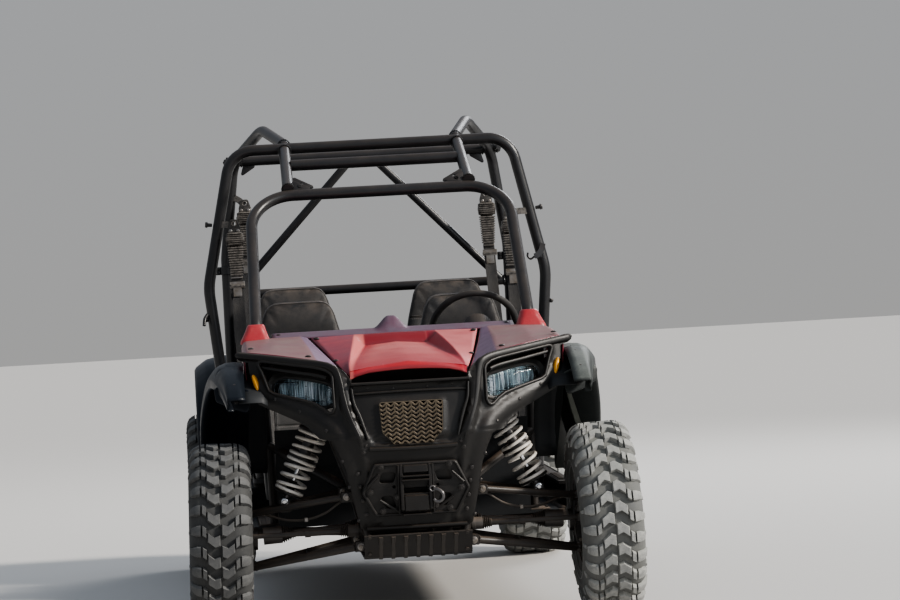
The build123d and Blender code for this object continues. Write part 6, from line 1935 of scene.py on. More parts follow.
def cushion_kit():
    k = Kit()
    rings = []
    for y, e in ((-268, 15), (-262, 7), (-250, 2), (-230, 0), (-205, 0), (-165, 0), (-120, 0), (-80, 0), (-40, 0), (0, 0), (40, 0), (75, 0), (92, 3), (100, 12)):
        hw = 214 - e * 1.2
        zb = 464 + e
        ring = []
        for i in range(9):
            ring.append((-hw + 12 + (2 * hw - 24) * i / 8, y, zb))
        zs = c_top(hw, y) - e
        for i in range(4):
            ring.append((hw - (3 if i in (0, 3) else 0), y, zb + 8 + (zs - zb - 14) * i / 3))
        for i in range(29):
            x = hw - 8 - (2 * hw - 16) * i / 28
            ring.append((x, y, c_top(x, y) - e))
        for i in range(4):
            ring.append((-hw + (3 if i in (0, 3) else 0), y, zb + 8 + (zs - zb - 14) * (3 - i) / 3))
        rings.append(ring)
    k.loft(rings)
    return k


def back_kit():
    k = Kit()
    rings = []
    for z, e in ((476, 16), (482, 7), (494, 1), (520, 0), (570, 0), (640, 0), (710, 0), (780, 0), (840, 0), (900, 0), (960, 0), (1010, 0), (1060, 0), (1105, 0),
                 (1132, 3), (1150, 10), (1160, 24)):
        w = b_half(z) - e * 1.6
        ring = []
        yf0 = b_front(w, z) + e
        yr = b_rear(z) - e * 0.8
        for i in range(25):
            x = -w + 8 + (2 * w - 16) * i / 24
            ring.append((x, b_front(x, z) + e, z))
        for i in range(4):
            ring.append((w - (4 if i in (0, 3) else 0), yf0 + 8 + (yr - yf0 - 16) * i / 3, z))
        for i in range(11):
            ring.append((w - 12 - (2 * w - 24) * i / 10, yr, z))
        for i in range(4):
            ring.append((-w + (4 if i in (0, 3) else 0), yf0 + 8 + (yr - yf0 - 16) * (3 - i) / 3, z))
        rings.append(ring)
    k.loft(rings)
    return k


def bare(kit, name):
    me = bpy.data.meshes.new(name)
    me.from_pydata([(x * MM, y * MM, z * MM) for x, y, z in kit.v], [], kit.f)
    bm = bmesh.new()
    bm.from_mesh(me)
    bmesh.ops.recalc_face_normals(bm, faces=bm.faces)
    bm.to_mesh(me)
    bm.free()
    ob = bpy.data.objects.new(name, me)
    bpy.context.scene.collection.objects.link(ob)
    return ob


def co_of(me):
    a = np.empty(len(me.vertices) * 3)
    me.vertices.foreach_get("co", a)
    return a.reshape(-1, 3) * 1000


def no_of(me):
    a = np.empty(len(me.vertices) * 3)
    me.vertices.foreach_get("normal", a)
    return a.reshape(-1, 3)


def stuffed(kit, name, pin, cap, voxel=6.0, pressure=4.0):
    """Remeshes a cover, pins it where it is sewn, and inflates it with the cloth solver."""
    ob = bare(kit, name)
    m = ob.modifiers.new("vox", "REMESH")
    m.mode = "VOXEL"
    m.voxel_size = voxel * MM
    apply_mods(ob)
    co0 = co_of(ob.data)
    no0 = no_of(ob.data)
    w = pin(co0, no0)
    vg = ob.vertex_groups.new(name="sewn")
    for lo in np.unique(np.round(w, 2)):
        if lo > 0:
            vg.add([int(i) for i in np.nonzero(np.round(w, 2) == lo)[0]], float(lo), "REPLACE")
    c = ob.modifiers.new("cloth", "CLOTH")
    s = c.settings
    s.quality = 5
    s.mass = 0.3
    s.tension_stiffness = s.compression_stiffness = 12
    s.shear_stiffness = 5
    s.bending_stiffness = 0.6
    s.use_pressure = True
    s.uniform_pressure_force = pressure
    s.effector_weights.gravity = 0
    s.vertex_group_mass = "sewn"
    s.pin_stiffness = 1.0
    c.collision_settings.use_collision = False
    c.collision_settings.use_self_collision = False
    c.point_cache.frame_start, c.point_cache.frame_end = 1, 20
    sc = bpy.context.scene
    for f in range(1, 21):
        sc.frame_set(f)
    dg = bpy.context.evaluated_depsgraph_get()
    me = bpy.data.meshes.new_from_object(ob.evaluated_get(dg))
    ob.modifiers.clear()
    sc.frame_set(1)
    co1 = co_of(me)
    d = co1 - co0
    L = np.linalg.norm(d, axis=1)
    lim = cap * (1 - 0.6 * np.clip(w, 0, 1))
    f = np.where(L > 1e-6, lim * np.tanh(L / lim) / np.maximum(L, 1e-6), 0)
    co = co0 + d * f[:, None]
    bpy.data.meshes.remove(me)
    ob.data.vertices.foreach_set("co", (co / 1000).ravel())
    ob.data.update()
    m = ob.modifiers.new("smooth", "SMOOTH")
    m.factor, m.iterations = 0.5, 3
    m = ob.modifiers.new("sub", "SUBSURF")
    m.levels = m.render_levels = 1
    apply_mods(ob)
    return ob


def dist(v, at):
    return np.min(np.abs(v[:, None] - np.array(at)[None, :]), axis=1)


def cushion_pin(co, no):
    x, y, z = co.T
    top = (no[:, 2] > 0.45)
    frontf = (y < -225)
    w = np.zeros(len(co))
    w = np.where((top | frontf) & (np.abs(np.abs(x) - INS) < 4.5), 1, w)
    w = np.where(top & (np.abs(x) < INS) & (dist(y, CH_Y) < 4), 0.85, w)
    w = np.where((np.abs(x) > 203) & (np.abs(z - (c_edge(y))) < 5), 1, w)
    w = np.where((y < -255) & (np.abs(z - 548) < 5), 1, w)
    w = np.where(z < 474, 1, w)
    w = np.where((y > 92) & (z < 560), 1, w)
    return w


def c_edge(y):
    return np.interp(y, [-268, -258, -240, -205, -120, 0, 100], [542, 560, 576, 583, 577, 569, 565]) - 8


def back_pin(co, no):
    x, y, z = co.T
    half = np.interp(z, [470, 790, 1000, 1175], [212, 212, 172, 126])
    front = no[:, 1] < -0.4
    ins = half * 0.56
    w = np.zeros(len(co))
    w = np.where(front & (np.abs(np.abs(x) - ins) < 4.5) & (z < HEAD_Z), 1, w)
    w = np.where(front & (np.abs(z - HEAD_Z) < 4.5), 1, w)
    w = np.where(front & (np.abs(x) < ins) & (dist(z, CH_Z) < 4), 0.85, w)
    rear = 220 + (z - 526) * 0.1045 - 9
    w = np.where(y > rear - 20, 1, w)
    w = np.where((np.abs(x) > half - 12) & (np.abs(y - (128 + (z - 592) * 0.1093 + 26)) < 5), 1, w)
    return w


def sew(ob, grooves, panel, ratio):
    """Presses the sewn lines into the cover, gives the centre panel its own cover, and thins the mesh."""
    me = ob.data
    co, no = co_of(me), no_of(me)
    g = grooves(co, no)
    co = co - no * g[:, None]
    me.vertices.foreach_set("co", (co / 1000).ravel())
    me.update()
    m = ob.modifiers.new("thin", "DECIMATE")
    m.ratio = ratio
    apply_mods(ob)
    me = ob.data
    n = len(me.polygons)
    c = np.empty(n * 3)
    me.polygons.foreach_get("center", c)
    c = c.reshape(-1, 3) * 1000
    nn = np.empty(n * 3)
    me.polygons.foreach_get("normal", nn)
    nn = nn.reshape(-1, 3)
    me.materials.append(MAT["seat_vinyl"])
    me.materials.append(MAT["seat_panel"])
    me.polygons.foreach_set("material_index", panel(c, nn).astype(int))
    me.shade_smooth()
    return ob


def cushion_grooves(co, no):
    x, y, z = co.T
    top = (no[:, 2] > 0.3) | ((y < -225) & (z > 500))
    g = 5.0 * np.exp(-((np.abs(x) - INS) / 3.2) ** 2)
    g = g + np.where(np.abs(x) < INS, 3.6 * np.exp(-(dist(y, CH_Y) / 3.4) ** 2), 0)
    return np.where(top, g, 0)


def back_grooves(co, no):
    x, y, z = co.T
    half = np.interp(z, [470, 790, 1000, 1175], [212, 212, 172, 126])
    ins = half * 0.56
    front = no[:, 1] < -0.25
    g = np.where(z < HEAD_Z, 5.0 * np.exp(-((np.abs(x) - ins) / 3.2) ** 2), 0)
    g = g + 5.0 * np.exp(-((z - HEAD_Z) / 3.2) ** 2)
    g = g + np.where(np.abs(x) < ins, 3.6 * np.exp(-(dist(z, CH_Z) / 3.4) ** 2), 0)
    return np.where(front, g, 0)


def cushion_panel(c, n):
    return ((np.abs(c[:, 0]) < INS) & ((n[:, 2] > 0.3) | ((c[:, 1] < -225) & (c[:, 2] > 512)))).astype(int)


def back_panel(c, n):
    half = np.interp(c[:, 2], [470, 790, 1000, 1175], [212, 212, 172, 126])
    return ((np.abs(c[:, 0]) < half * 0.56) & (n[:, 1] < -0.25) & (c[:, 2] < HEAD_Z)).astype(int)


from mathutils.bvhtree import BVHTree

cush = sew(stuffed(cushion_kit(), "cushion", cushion_pin, 22.0), cushion_grooves, cushion_panel, 0.175)
back = sew(stuffed(back_kit(), "back", back_pin, 22.0), back_grooves, back_panel, 0.155)
bv_c = BVHTree.FromPolygons([tuple(v.co * 1000) for v in cush.data.vertices], [tuple(p.vertices) for p in cush.data.polygons])
bv_b = BVHTree.FromPolygons([tuple(v.co * 1000) for v in back.data.vertices], [tuple(p.vertices) for p in back.data.polygons])

kp, kt, ks, kq = Kit(), Kit(), Kit(), Kit()     # piping, thread, hard shells, bolts


def on(bv, p, off):
    q, n, i, d = bv.find_nearest(Vector(p))
    return q + n * off


def drop(bv, o, d, off):
    q, n, i, L = bv.ray_cast(Vector(o), Vector(d).normalized())
    if q is None:
        return None, None
    return q + n * off, n


def pipe(bv, pts, r, closed=False, off=0.6):
    kp.sweep([on(bv, p, off) for p in pts], r, 8, closed=closed)


def stitches(bv, starts, d, pitch=8.0, L=5.2, r=0.75):
    """Short threads along a line dropped on the cover."""
    line = []
    for s in starts:
        q, n = drop(bv, s, d, 0.35)
        if q is not None:
            line.append((q, n))
    acc, nxt = 0.0, 3.0
    for (p, n), (q, m) in zip(line, line[1:]):
        seg = (q - p).length
        while seg > 1e-6 and acc + seg >= nxt:
            c = p.lerp(q, (nxt - acc) / seg)
            t = (q - p).normalized()
            kt.sweep([c - t * L / 2 - n * 0.9, c + n * 0.15, c + t * L / 2 - n * 0.9], r, 4)
            nxt += pitch
        acc += seg


# cushion: cord round the cover's edge, and along the centre panel
edge = [(-212, y, float(c_edge(y))) for y in (96, 60, 20, -30, -80, -130, -180, -215)]
edge += [(-208, -240, 560), (-196, -256, 552), (-178, -264, 548)]
edge += [(x, -268, 547) for x in (-140, -90, -40, 0, 40, 90, 140)]
edge += [(178, -264, 548), (196, -256, 552), (208, -240, 560)]
edge += [(212, y, float(c_edge(y))) for y in (-215, -180, -130, -80, -30, 20, 60, 96)]
pipe(bv_c, bezier(edge, 150), 3.0)
for s in (1, -1):
    line = [drop(bv_c, (s * INS, y, 700), (0, 0, -1), 0.8)[0] for y in range(96, -256, -8)]
    kp.sweep([p for p in line if p is not None], 2.2, 8)
    for dx in (-7, 7):
        stitches(bv_c, [(s * INS + dx, y, 700) for y in range(92, -250, -6)], (0, 0, -1))
for yc in CH_Y:
    for dy in (-6,):
        stitches(bv_c, [(x, yc + dy, 700) for x in range(-108, 109, 6)], (0, 0, -1), 9)
# back: cord round the front edge, along the centre panel and below the head pad
edge = []
for z in (500, 560, 620, 700, 780, 850, 920, 990, 1060, 1110):
    edge.append((-b_half(z) + 2, 128 + (z - 592) * 0.1093 + 26, z))
top = [(-118, 218, 1140), (-98, 221, 1153), (-60, 223, 1160), (0, 224, 1162), (60, 223, 1160), (98, 221, 1153), (118, 218, 1140)]
edge = edge + top + [(-x, y, z) for x, y, z in reversed(edge)]
pipe(bv_b, bezier(edge, 170), 3.0)
for s in (1, -1):
    line = [drop(bv_b, (s * b_half(z) * 0.56, -100, z), (0, 1, 0), 0.8)[0] for z in range(500, int(HEAD_Z) + 1, 8)]
    kp.sweep([p for p in line if p is not None], 2.2, 8)
    for dx in (-7, 7):
        stitches(bv_b, [(s * b_half(z) * 0.56 + dx, -100, z) for z in range(504, int(HEAD_Z) - 8, 6)], (0, 1, 0))
line = [drop(bv_b, (x, -100, HEAD_Z), (0, 1, 0), 0.8)[0] for x in range(-164, 165, 8)]
kp.sweep([p for p in line if p is not None], 2.2, 8)
for dz in (-7, 7):
    stitches(bv_b, [(x, -100, HEAD_Z + dz) for x in range(-158, 159, 6)], (0, 1, 0))
for zc in CH_Z:
    stitches(bv_b, [(x, -100, zc - 6) for x in range(int(-b_half(zc) * 0.50), int(b_half(zc) * 0.50), 6)], (0, 1, 0), 9)

# moulded base under the cushion, with fixing tabs
outline = rounded_poly([(-221, -279), (221, -279), (221, 110), (-221, 110)], 30, 5)
ks.sweep([(x, y, 470) for x, y in outline], 1.0, closed=True, ref=(0, 0, 1),
         sect=[(-2.5, -14), (2.5, -14), (2.5, -3), (4.5, 0), (2.5, 3), (2.5, 15), (1, 17), (-1, 17), (-2.5, 15)])
for sx in (1, -1):
    for y in (-250, 70):
        ks.box(sx * 165 - 20, sx * 165 + 20, y - 14, y + 14, 454.5, 460, 2)
        kq.bolt((sx * 150, y, 460), (0, 0, 1), 6, 4)
# moulded shell behind the back, with pressed ribs
sv, NXs, zs = [], 21, list(range(492, 1141, 18))
for z in zs:
    w = b_half(z) - 7
    for i in range(NXs):
        u = -1 + 2 * i / (NXs - 1)
        x = u * w
        y = b_rear(z) + 12 - 15 * smooth01((abs(u) - 0.86) / 0.14) - (8 if z > 1125 else 0)
        for c in (-0.55, 0.0, 0.55):
            y += 3.5 * math.exp(-((u - c) / 0.045) ** 2)
        for c in (640, 800, 960):
            y += 3.0 * math.exp(-((z - c) / 9) ** 2) * (1 if abs(u) < 0.8 else 0)
        sv.append((x, y, z))
sf = [(j * NXs + i, j * NXs + i + 1, (j + 1) * NXs + i + 1, (j + 1) * NXs + i) for j in range(len(zs) - 1) for i in range(NXs - 1)]
kshell = Kit().add(sv, sf)
for z, u in ((520, 0.9), (520, -0.9), (760, 0.92), (760, -0.92), (1100, 0.84), (1100, -0.84)):
    kq.bolt((u * (b_half(z) - 7) * 0.96, b_rear(z) + 9, z), (0, 1, 0.1), 5, 3.5)
# release handle at the foot of the back
ks.sweep(bezier([(-60, 292, 560), (-52, 302, 548), (0, 306, 544), (52, 302, 548), (60, 292, 560)], 20), 4.5, 10)
for sx in (1, -1):
    ks.box(sx * 60 - 7, sx * 60 + 7, 232, 296, 553, 567, 2)


def placed(kit_or_ob, name, dx, dy, dz, mats=None, slot=None, **kw):
    if isinstance(kit_or_ob, Kit):
        k = Kit()
        k.v = [(x + dx, y + dy, z + dz) for x, y, z in kit_or_ob.v]
        k.f, k.m = list(kit_or_ob.f), list(kit_or_ob.m)
        return make(k, name, mats, "root", slot, **kw)
    me = kit_or_ob.data.copy()
    me.transform(Matrix.Translation((dx * MM, dy * MM, dz * MM)))
    ob = bpy.data.objects.new(name, me)
    bpy.context.scene.collection.objects.link(ob)
    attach(ob, "root")
    return ob


for tag, dx, dy, dz in SEAT_SHIFTS:
    a = placed(cush, "cushion_" + tag, dx, dy, dz, slot="seat_vinyl")
    b = placed(back, "backrest_" + tag, dx, dy, dz, slot="seat_vinyl")
    if tag == "front_left":
        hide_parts("front_seats")
    if tag == "rear_left":
        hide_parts("rear_seats")
    placed(kp, "seat_piping_" + tag, dx, dy, dz, MAT["piping"], "seat_vinyl", angle=60)
    placed(kt, "seat_thread_" + tag, dx, dy, dz, MAT["thread"], "seat_vinyl", angle=60, recalc=False)
    placed(ks, "seat_base_" + tag, dx, dy, dz, MAT["plastic_black"], "plastic_black")
    placed(kshell, "seat_shell_" + tag, dx, dy, dz, MAT["plastic_black"], "plastic_black", solid=3.5, angle=45)
    placed(kq, "seat_bolts_" + tag, dx, dy, dz, MAT["dark_bolt"], "shock_metal")
bpy.data.objects.remove(cush)
bpy.data.objects.remove(back)

# ------------------------------------------------------------------ steering wheel
HUBV = Vector((328, -450, 1030))
COLV = Vector((0, -0.8192, -0.5736))
WX, WZ = Vector((1, 0, 0)), -COLV
WY = WZ.cross(WX)
WM = frame_matrix(HUBV, WX, WY, WZ)


def wl(x, y, z):
    return WM @ Vector((x, y, z))


kw1, kw2, kw3, kw4 = Kit(), Kit(), Kit(), Kit()
pts, rs, refs = [], [], []
NR = 128
for i in range(NR):
    t = 2 * pi * i / NR
    pts.append(wl(162 * cos(t), 162 * sin(t), 0))
    grip = max(smooth01((cos(t - radians(205)) - 0.80) / 0.12), smooth01((cos(t - radians(335)) - 0.80) / 0.12))
    rs.append(0.93 + 0.07 * grip + 0.018 * (sin(t * 44) if grip > 0.5 else 0))
    refs.append(WZ)
sect = [(13.6 * cos(2 * pi * k / 18) * (1.0 if cos(2 * pi * k / 18) > -0.3 else 0.98), 12.6 * sin(2 * pi * k / 18)) for k in range(18)]
kw1.sweep(pts, 1.0, sect=sect, ref=refs, closed=True, rs=rs)
# seam cord inside the rim
kw4.sweep([wl(149.2 * cos(2 * pi * i / 96), 149.2 * sin(2 * pi * i / 96), 0) for i in range(96)], 0.9, 6, closed=True)
for i in range(150):
    t = 2 * pi * i / 150
    c, a = cos(t), sin(t)
    kw4.sweep([wl(149.6 * c - 1.6 * a, 149.6 * a + 1.6 * c, -3.2), wl(148.4 * c, 148.4 * a, 0), wl(149.6 * c + 1.6 * a, 149.6 * a - 1.6 * c, 3.2)], 0.6, 5)
for ang in (28, 152, 90):
    a = radians(ang)
    d, e = Vector((cos(a), sin(a), 0)), Vector((-sin(a), cos(a), 0))
    p0, p1 = d * 30 + Vector((0, 0, -22)), d * 150 + Vector((0, 0, 0))
    x = (p1 - p0).normalized()
    n = x.cross(e).normalized()
    M = WM @ frame_matrix(p0, x, e, n)
    L = (p1 - p0).length
    outer = rounded_poly([(-6, -17), (L * 0.45, -13), (L, -15), (L + 2, 0), (L, 15), (L * 0.45, 13), (-6, 17)], 3, 3)
    holes = [rounded_poly([(18, -8), (L * 0.47, -6.5), (L * 0.47, 6.5), (18, 8)], 4, 4), rounded_poly([(L * 0.57, -6.5), (L - 16, -7.5), (L - 16, 7.5), (L * 0.57, 6.5)], 4, 4)]
    kw2.plate(outer, holes, 5, 1.2, M, res=2)
    for yy in (-9, 9):
        kw3.bolt(M @ Vector((L - 8, yy, 2)), (M.to_3x3() @ Vector((0, 0, 1))), 3.4, 2.4, washer=False)
kw2.lathe([(-42, 0), (-42, 30), (-38, 33), (-26, 33), (-24, 38), (-19, 38), (-17, 35), (-17, 0)], HUBV, WZ, 40)
for i in range(6):
    t = 2 * pi * (i + 0.5) / 6
    kw3.lathe([(-1, 0), (-1, 4), (2.4, 4), (3.2, 3), (3.2, 1.8), (1.4, 1.8), (1.4, 0)], wl(27.5 * cos(t), 27.5 * sin(t), -17), WZ, 12)
kw1.lathe([(-18, 0), (-18, 21), (-14, 22.5), (-11, 21), (-9.4, 16), (-8.6, 8), (-8.4, 0)], HUBV, WZ, 36)
sw = make(kw1, "steering_grip", MAT["grip_rubber"], "steering_wheel_body", "grip_rubber", angle=50)
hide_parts("steering_wheel")
make(kw2, "steering_spokes", MAT["rim_alloy"], "steering_wheel_body", "bare_aluminium", angle=35)
make(kw3, "steering_screws", MAT["bolt_steel"], "steering_wheel_body", "shock_metal")
make(kw4, "steering_seam", MAT["thread"], "steering_wheel_body", "seat_vinyl", angle=60)

# column shroud: two moulded halves with ribs and screws, and the bearing ring
kc1, kc2 = Kit(), Kit()
for t0, t1, r in ((62, 74, 36), (176, 188, 36)):
    kc1.ring(HUBV + COLV * t0, COLV, r, 33.5, 0, t1 - t0, 40)
for i in range(5):
    kc1.ring(HUBV + COLV * (92 + i * 15), COLV, 35.2, 33.6, 0, 7, 36)
for s in (1, -1):
    kc1.box(-4, 4, -3, 3, 0, 108, 1.5, frame_matrix(HUBV + COLV * 70 + WX * s * 35.5, WY, WX * s, COLV))
kc1.ring(HUBV + COLV * 200, COLV, 26, 18.6, 0, 14, 30)
for i in range(4):
    t = 2 * pi * i / 4 + 0.5
    kc2.bolt(HUBV + COLV * 207 + (WX * cos(t) + WY * sin(t)) * 25.5, WX * cos(t) + WY * sin(t), 4, 3)
# tilt lever
kc1.sweep(bezier([HUBV + COLV * 120 - WX * 34, HUBV + COLV * 118 - WX * 60 + WY * 6, HUBV + COLV * 112 - WX * 96 + WY * 20], 12), 5.0, 10, rs=None)
kc1.ball(HUBV + COLV * 112 - WX * 98 + WY * 21, 8.5, 16, 8)
make(kc1, "column_shroud", MAT["plastic_black"], "root", "plastic_black")
make(kc2, "column_bolts", MAT["bolt_steel"], "root", "shock_metal")

# ------------------------------------------------------------------ cowl behind the hood
MAT["cowl_red"] = material("cowl_bodywork", (0.13, 0.020, 0.045), (0.095, 0.020, 0.050), rough=0.34, dust=0.62, sand=(0.14, 0.12, 0.155), grain=90, bump=0.05,
                           coat=0.15, coat_rough=0.2, scratch=0.25, low=0.1, level=(-0.15, 0.75), big=5)
PROF = [(-776, 1030), (-772, 1036), (-740, 1043), (-712, 1049), (-690, 1053), (-664, 1053), (-644, 1048), (-630, 1036), (-616, 1012), (-603, 988), (-606, 982)]
PROF = [(p.x, p.y) for p in bezier([(y, z, 0) for y, z in PROF], 40)]
xs = sorted({round(v, 1) for v in np.linspace(-455, 455, 53).tolist() + np.linspace(-110, 110, 45).tolist()})
cv = []
for x in xs:
    k = 1 - smooth01((abs(x + 4) - 8) / 60.0)
    for y, z in PROF:
        b = smooth01((y + 752) / 62.0) * (1 - smooth01((y + 655) / 52.0))
        cv.append((x, y + 0.0, z + 44 * k * b + 1.5))
m = len(PROF)
cf = [(i * m + j, (i + 1) * m + j, (i + 1) * m + j + 1, i * m + j + 1) for i in range(len(xs) - 1) for j in range(m - 1)]
cw = make(Kit().add(cv, cf), "cowl_cover", MAT["cowl_red"], "root", "body_red", solid=5, angle=50)
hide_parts("cowl_panel")
kcf, kcs = Kit(), Kit()
for x in (-430, 430):
    kcf.lathe([(-1, 0), (-1, 8), (1.4, 8), (3.2, 5.5), (3.4, 2.4), (2.2, 1.6), (2.2, 0)], (x, -718, 1049.5), (0, -0.15, 1), 18)
kcs.sweep([(x, -605, 985) for x in np.linspace(-452, 452, 40)], 1.0, sect=[(5.5 * cos(2 * pi * k / 10), 5.5 * sin(2 * pi * k / 10)) for k in range(10)], ref=(0, 0, 1))
make(kcf, "cowl_screws", MAT["dark_bolt"], "root", "shock_metal")
make(kcs, "cowl_edge_trim", MAT["boot_rubber"], "root", "grip_rubber", angle=60)

# ------------------------------------------------------------------ dash
def dash_pt(x, z, off=0.0):
    return Vector((x, float(np.interp(z, [840, 968], [-640, -615])) + off * 0.982, z - off * 0.19))


DN = Vector((0, 0.982, -0.19))


def dash_m(x, z, off=0.0):
    return frame_matrix(dash_pt(x, z, off), Vector((-1, 0, 0)), Vector((0, 0.19, 0.982)), DN)


kd, kd2, kd3, kd4, kd5 = Kit(), Kit(), Kit(), Kit(), Kit()
# gauge pod above the column
GO, GN = Vector((328, -664, 1002)), Vector((0, 0.90, 0.436)).normalized()
kd.lathe([(-6, 34), (20, 46), (52, 54), (74, 57), (78, 56), (79, 53), (76, 50), (60, 48.5), (52, 47), (50, 0)], GO, GN, 56)
kd2.lathe([(53, 0), (53, 46.5), (55, 46.8), (56, 46)], GO, GN, 56)
ga, gb, gn = basis(GN)
for i in range(31):
    t = radians(-220 + 260 * i / 30)
    d = ga * cos(t) + gb * sin(t) * -1
    e = gn.cross(d)
    L = 7 if i % 5 == 0 else 4
    M = frame_matrix(GO + GN * 53.6 + d * (42 - L / 2), d, e, gn)
    kd3.box(-L / 2, L / 2, -0.55, 0.55, 0, 0.7, 0.1, M)
t = radians(-196)
d = ga * cos(t) - gb * sin(t)
kd4.box(-8, 34, -0.9, 0.9, 0, 1.2, 0.2, frame_matrix(GO + GN * 55.6, d, gn.cross(d), gn))
kd.lathe([(54, 5.5), (58, 5), (59, 3.5), (59, 0)], GO, GN, 20)
kd3.box(-13, 13, -5, 5, 0, 0.8, 0.2, frame_matrix(GO + GN * 53.6 - gb * -20, ga, gb, gn))
# switch row, key, sockets on the middle of the dash
kd.plate(rounded_poly([(-118, -24), (118, -24), (118, 24), (-118, 24)], 8, 4), [], 5, 1.6, dash_m(0, 925, 2))
for i, x in enumerate((-92, -54, -16)):
    M = dash_m(x, 925, 6)
    kd5.box(-13, 13, -19, 19, -3, 2, 2, M)
    kd5.box(-10, 10, -16, 16, 0, 6, 2, M @ Matrix.Rotation(radians(9 if i != 1 else -9), 4, "X"))
    kd3.box(-3, 3, 8, 9.6, 5, 7.2, 0.2, M @ Matrix.Rotation(radians(9 if i != 1 else -9), 4, "X"))
for x, r in ((30, 13), (66, 13)):
    kd5.lathe([(-3, 0), (-3, r), (2, r), (4, r - 2), (4, r - 4), (-1, r - 5), (-1, 0)], dash_pt(x, 925, 4), DN, 28)
kd5.lathe([(-2, 0), (-2, 11), (3, 11), (5, 9), (5, 0)], dash_pt(100, 925, 4), DN, 28)
kd4.box(-1.4, 1.4, -9, 9, 4, 8, 0.5, dash_m(100, 925, 4))
# glove box door with its catch and hinge screws
kd.plate(rounded_poly([(-112, -44), (112, -44), (108, 44), (-108, 44)], 14, 6), [], 6, 2.0, dash_m(-330, 905, 3), res=2)
kd.plate(rounded_poly([(-96, -30), (96, -30), (93, 30), (-93, 30)], 10, 5), [rounded_poly([(-90, -24), (90, -24), (87, 24), (-87, 24)], 8, 5)], 5, 1.2, dash_m(-330, 905, 6))
kd5.box(-22, 22, -7, 7, 5, 12, 3, dash_m(-330, 934, 0))
for dx in (-84, 84):
    kd5.lathe([(0, 0), (0, 5), (2, 5), (3, 3), (3, 0)], dash_pt(-330 + dx, 869, 5), DN, 14)
# top vents and a seam of screws along the lip
for x in (-200, 200):
    M = frame_matrix(Vector((x, -676, 1037)), Vector((1, 0, 0)), Vector((0, 0.97, -0.22)), Vector((0, 0.22, 0.97)))
    kd.plate(rounded_poly([(-60, -13), (60, -13), (60, 13), (-60, 13)], 6, 4),
             [rounded_poly([(-54, y0), (54, y0), (54, y0 + 4.6), (-54, y0 + 4.6)], 1.5, 2) for y0 in (-9, -2.4, 4.2)], 4, 1.0, M)
for x in (-430, -240, -140, 140, 240, 430):
    kd5.lathe([(0, 0), (0, 5.5), (1.6, 5.5), (3, 3.4), (3, 0)], dash_pt(x, 858, 1), DN, 14)
# outer bins and mounts of the grab bar
for s in (1, -1):
    M = frame_matrix(Vector((s * 511, -640, 900)), Vector((-1, 0, 0)), Vector((0, 0, 1)), Vector((0, 1, 0)))
    kd.plate(rounded_poly([(-44, -78), (44, -78), (44, 78), (-44, 78)], 12, 5), [rounded_poly([(-34, -10), (34, -10), (34, 66), (-34, 66)], 10, 5)], 5, 1.4, M)
    for dx, dz in ((-36, -70), (36, -70)):
        kd5.lathe([(0, 0), (0, 5), (2, 5), (3, 3), (3, 0)], M @ Vector((dx, dz, 2)), (0, 1, 0), 14)
for x in (-466, -190):
    kd.ring((x, -634, 905), (0, 0.9, 0.43), 24, 13.5, 0, 9, 28)
    for k in range(3):
        t = 2 * pi * k / 3 + 0.6
        kd5.lathe([(0, 0), (0, 3.6), (2.4, 3.6), (2.4, 0)], (x + 18.5 * cos(t), -626, 905 + 18.5 * sin(t)), (0, 0.9, 0.43), 8)
make(kd, "dash_mouldings", MAT["dash_plastic"], "root", "plastic_black", angle=38)
make(kd2, "gauge_dial", MAT["gauge_face"], "root", "plastic_black")
make(kd3, "gauge_marks", MAT["gauge_mark"], "root", "plastic_black")
make(kd4, "gauge_needle", MAT["amber"], "root", "plastic_black")
make(kd5, "dash_switches", MAT["switch_plastic"], "root", "plastic_black")

# ------------------------------------------------------------------ console: gate, gaiter, knob and cup wells
kl, kl2, kl3 = Kit(), Kit(), Kit()
# sloping top between (-560, 690) and (-430, 640)
CT = Vector((0, 130, -50)).normalized()
CNn = Vector((0, 50, 130)).normalized()
MG = frame_matrix(Vector((0, -505, 668.8)), Vector((1, 0, 0)), CT, CNn)
kl.plate(rounded_poly([(-52, -46), (52, -46), (52, 60), (-52, 60)], 12, 5), [], 5, 1.6, MG @ Matrix.Translation((0, 0, 2)))
prof = []
for i in range(9):
    r = 38 - i * 3.1
    prof += [(4 + i * 8.2, r), (8 + i * 8.2, r - 4.6)]
LD = Vector((0, 20, 160)).normalized()
gt = [(0, 0)] + [(a, b) for a, b in prof] + [(78, 10), (80, 0)]
kl2.lathe([(a, max(b, 10.5) if b else 0) for a, b in gt], Vector((0, -537, 664)), LD, 32)
kn0 = Vector((0, -518, 815))
kl3.lathe([(-34, 0), (-34, 10.5), (-30, 13), (-18, 17), (-8, 23), (2, 25.6), (12, 25), (20, 20), (25, 12), (26.5, 5), (26.6, 0)], kn0, LD, 36)
for i in range(8):
    t = 2 * pi * i / 8
    a, b, n = basis(LD)
    d = a * cos(t) + b * sin(t)
    kl3.sweep([kn0 + n * z + d * r for z, r in ((-20, 16.4), (-10, 22), (0, 25.6), (10, 25.2))], 1.2, 6)
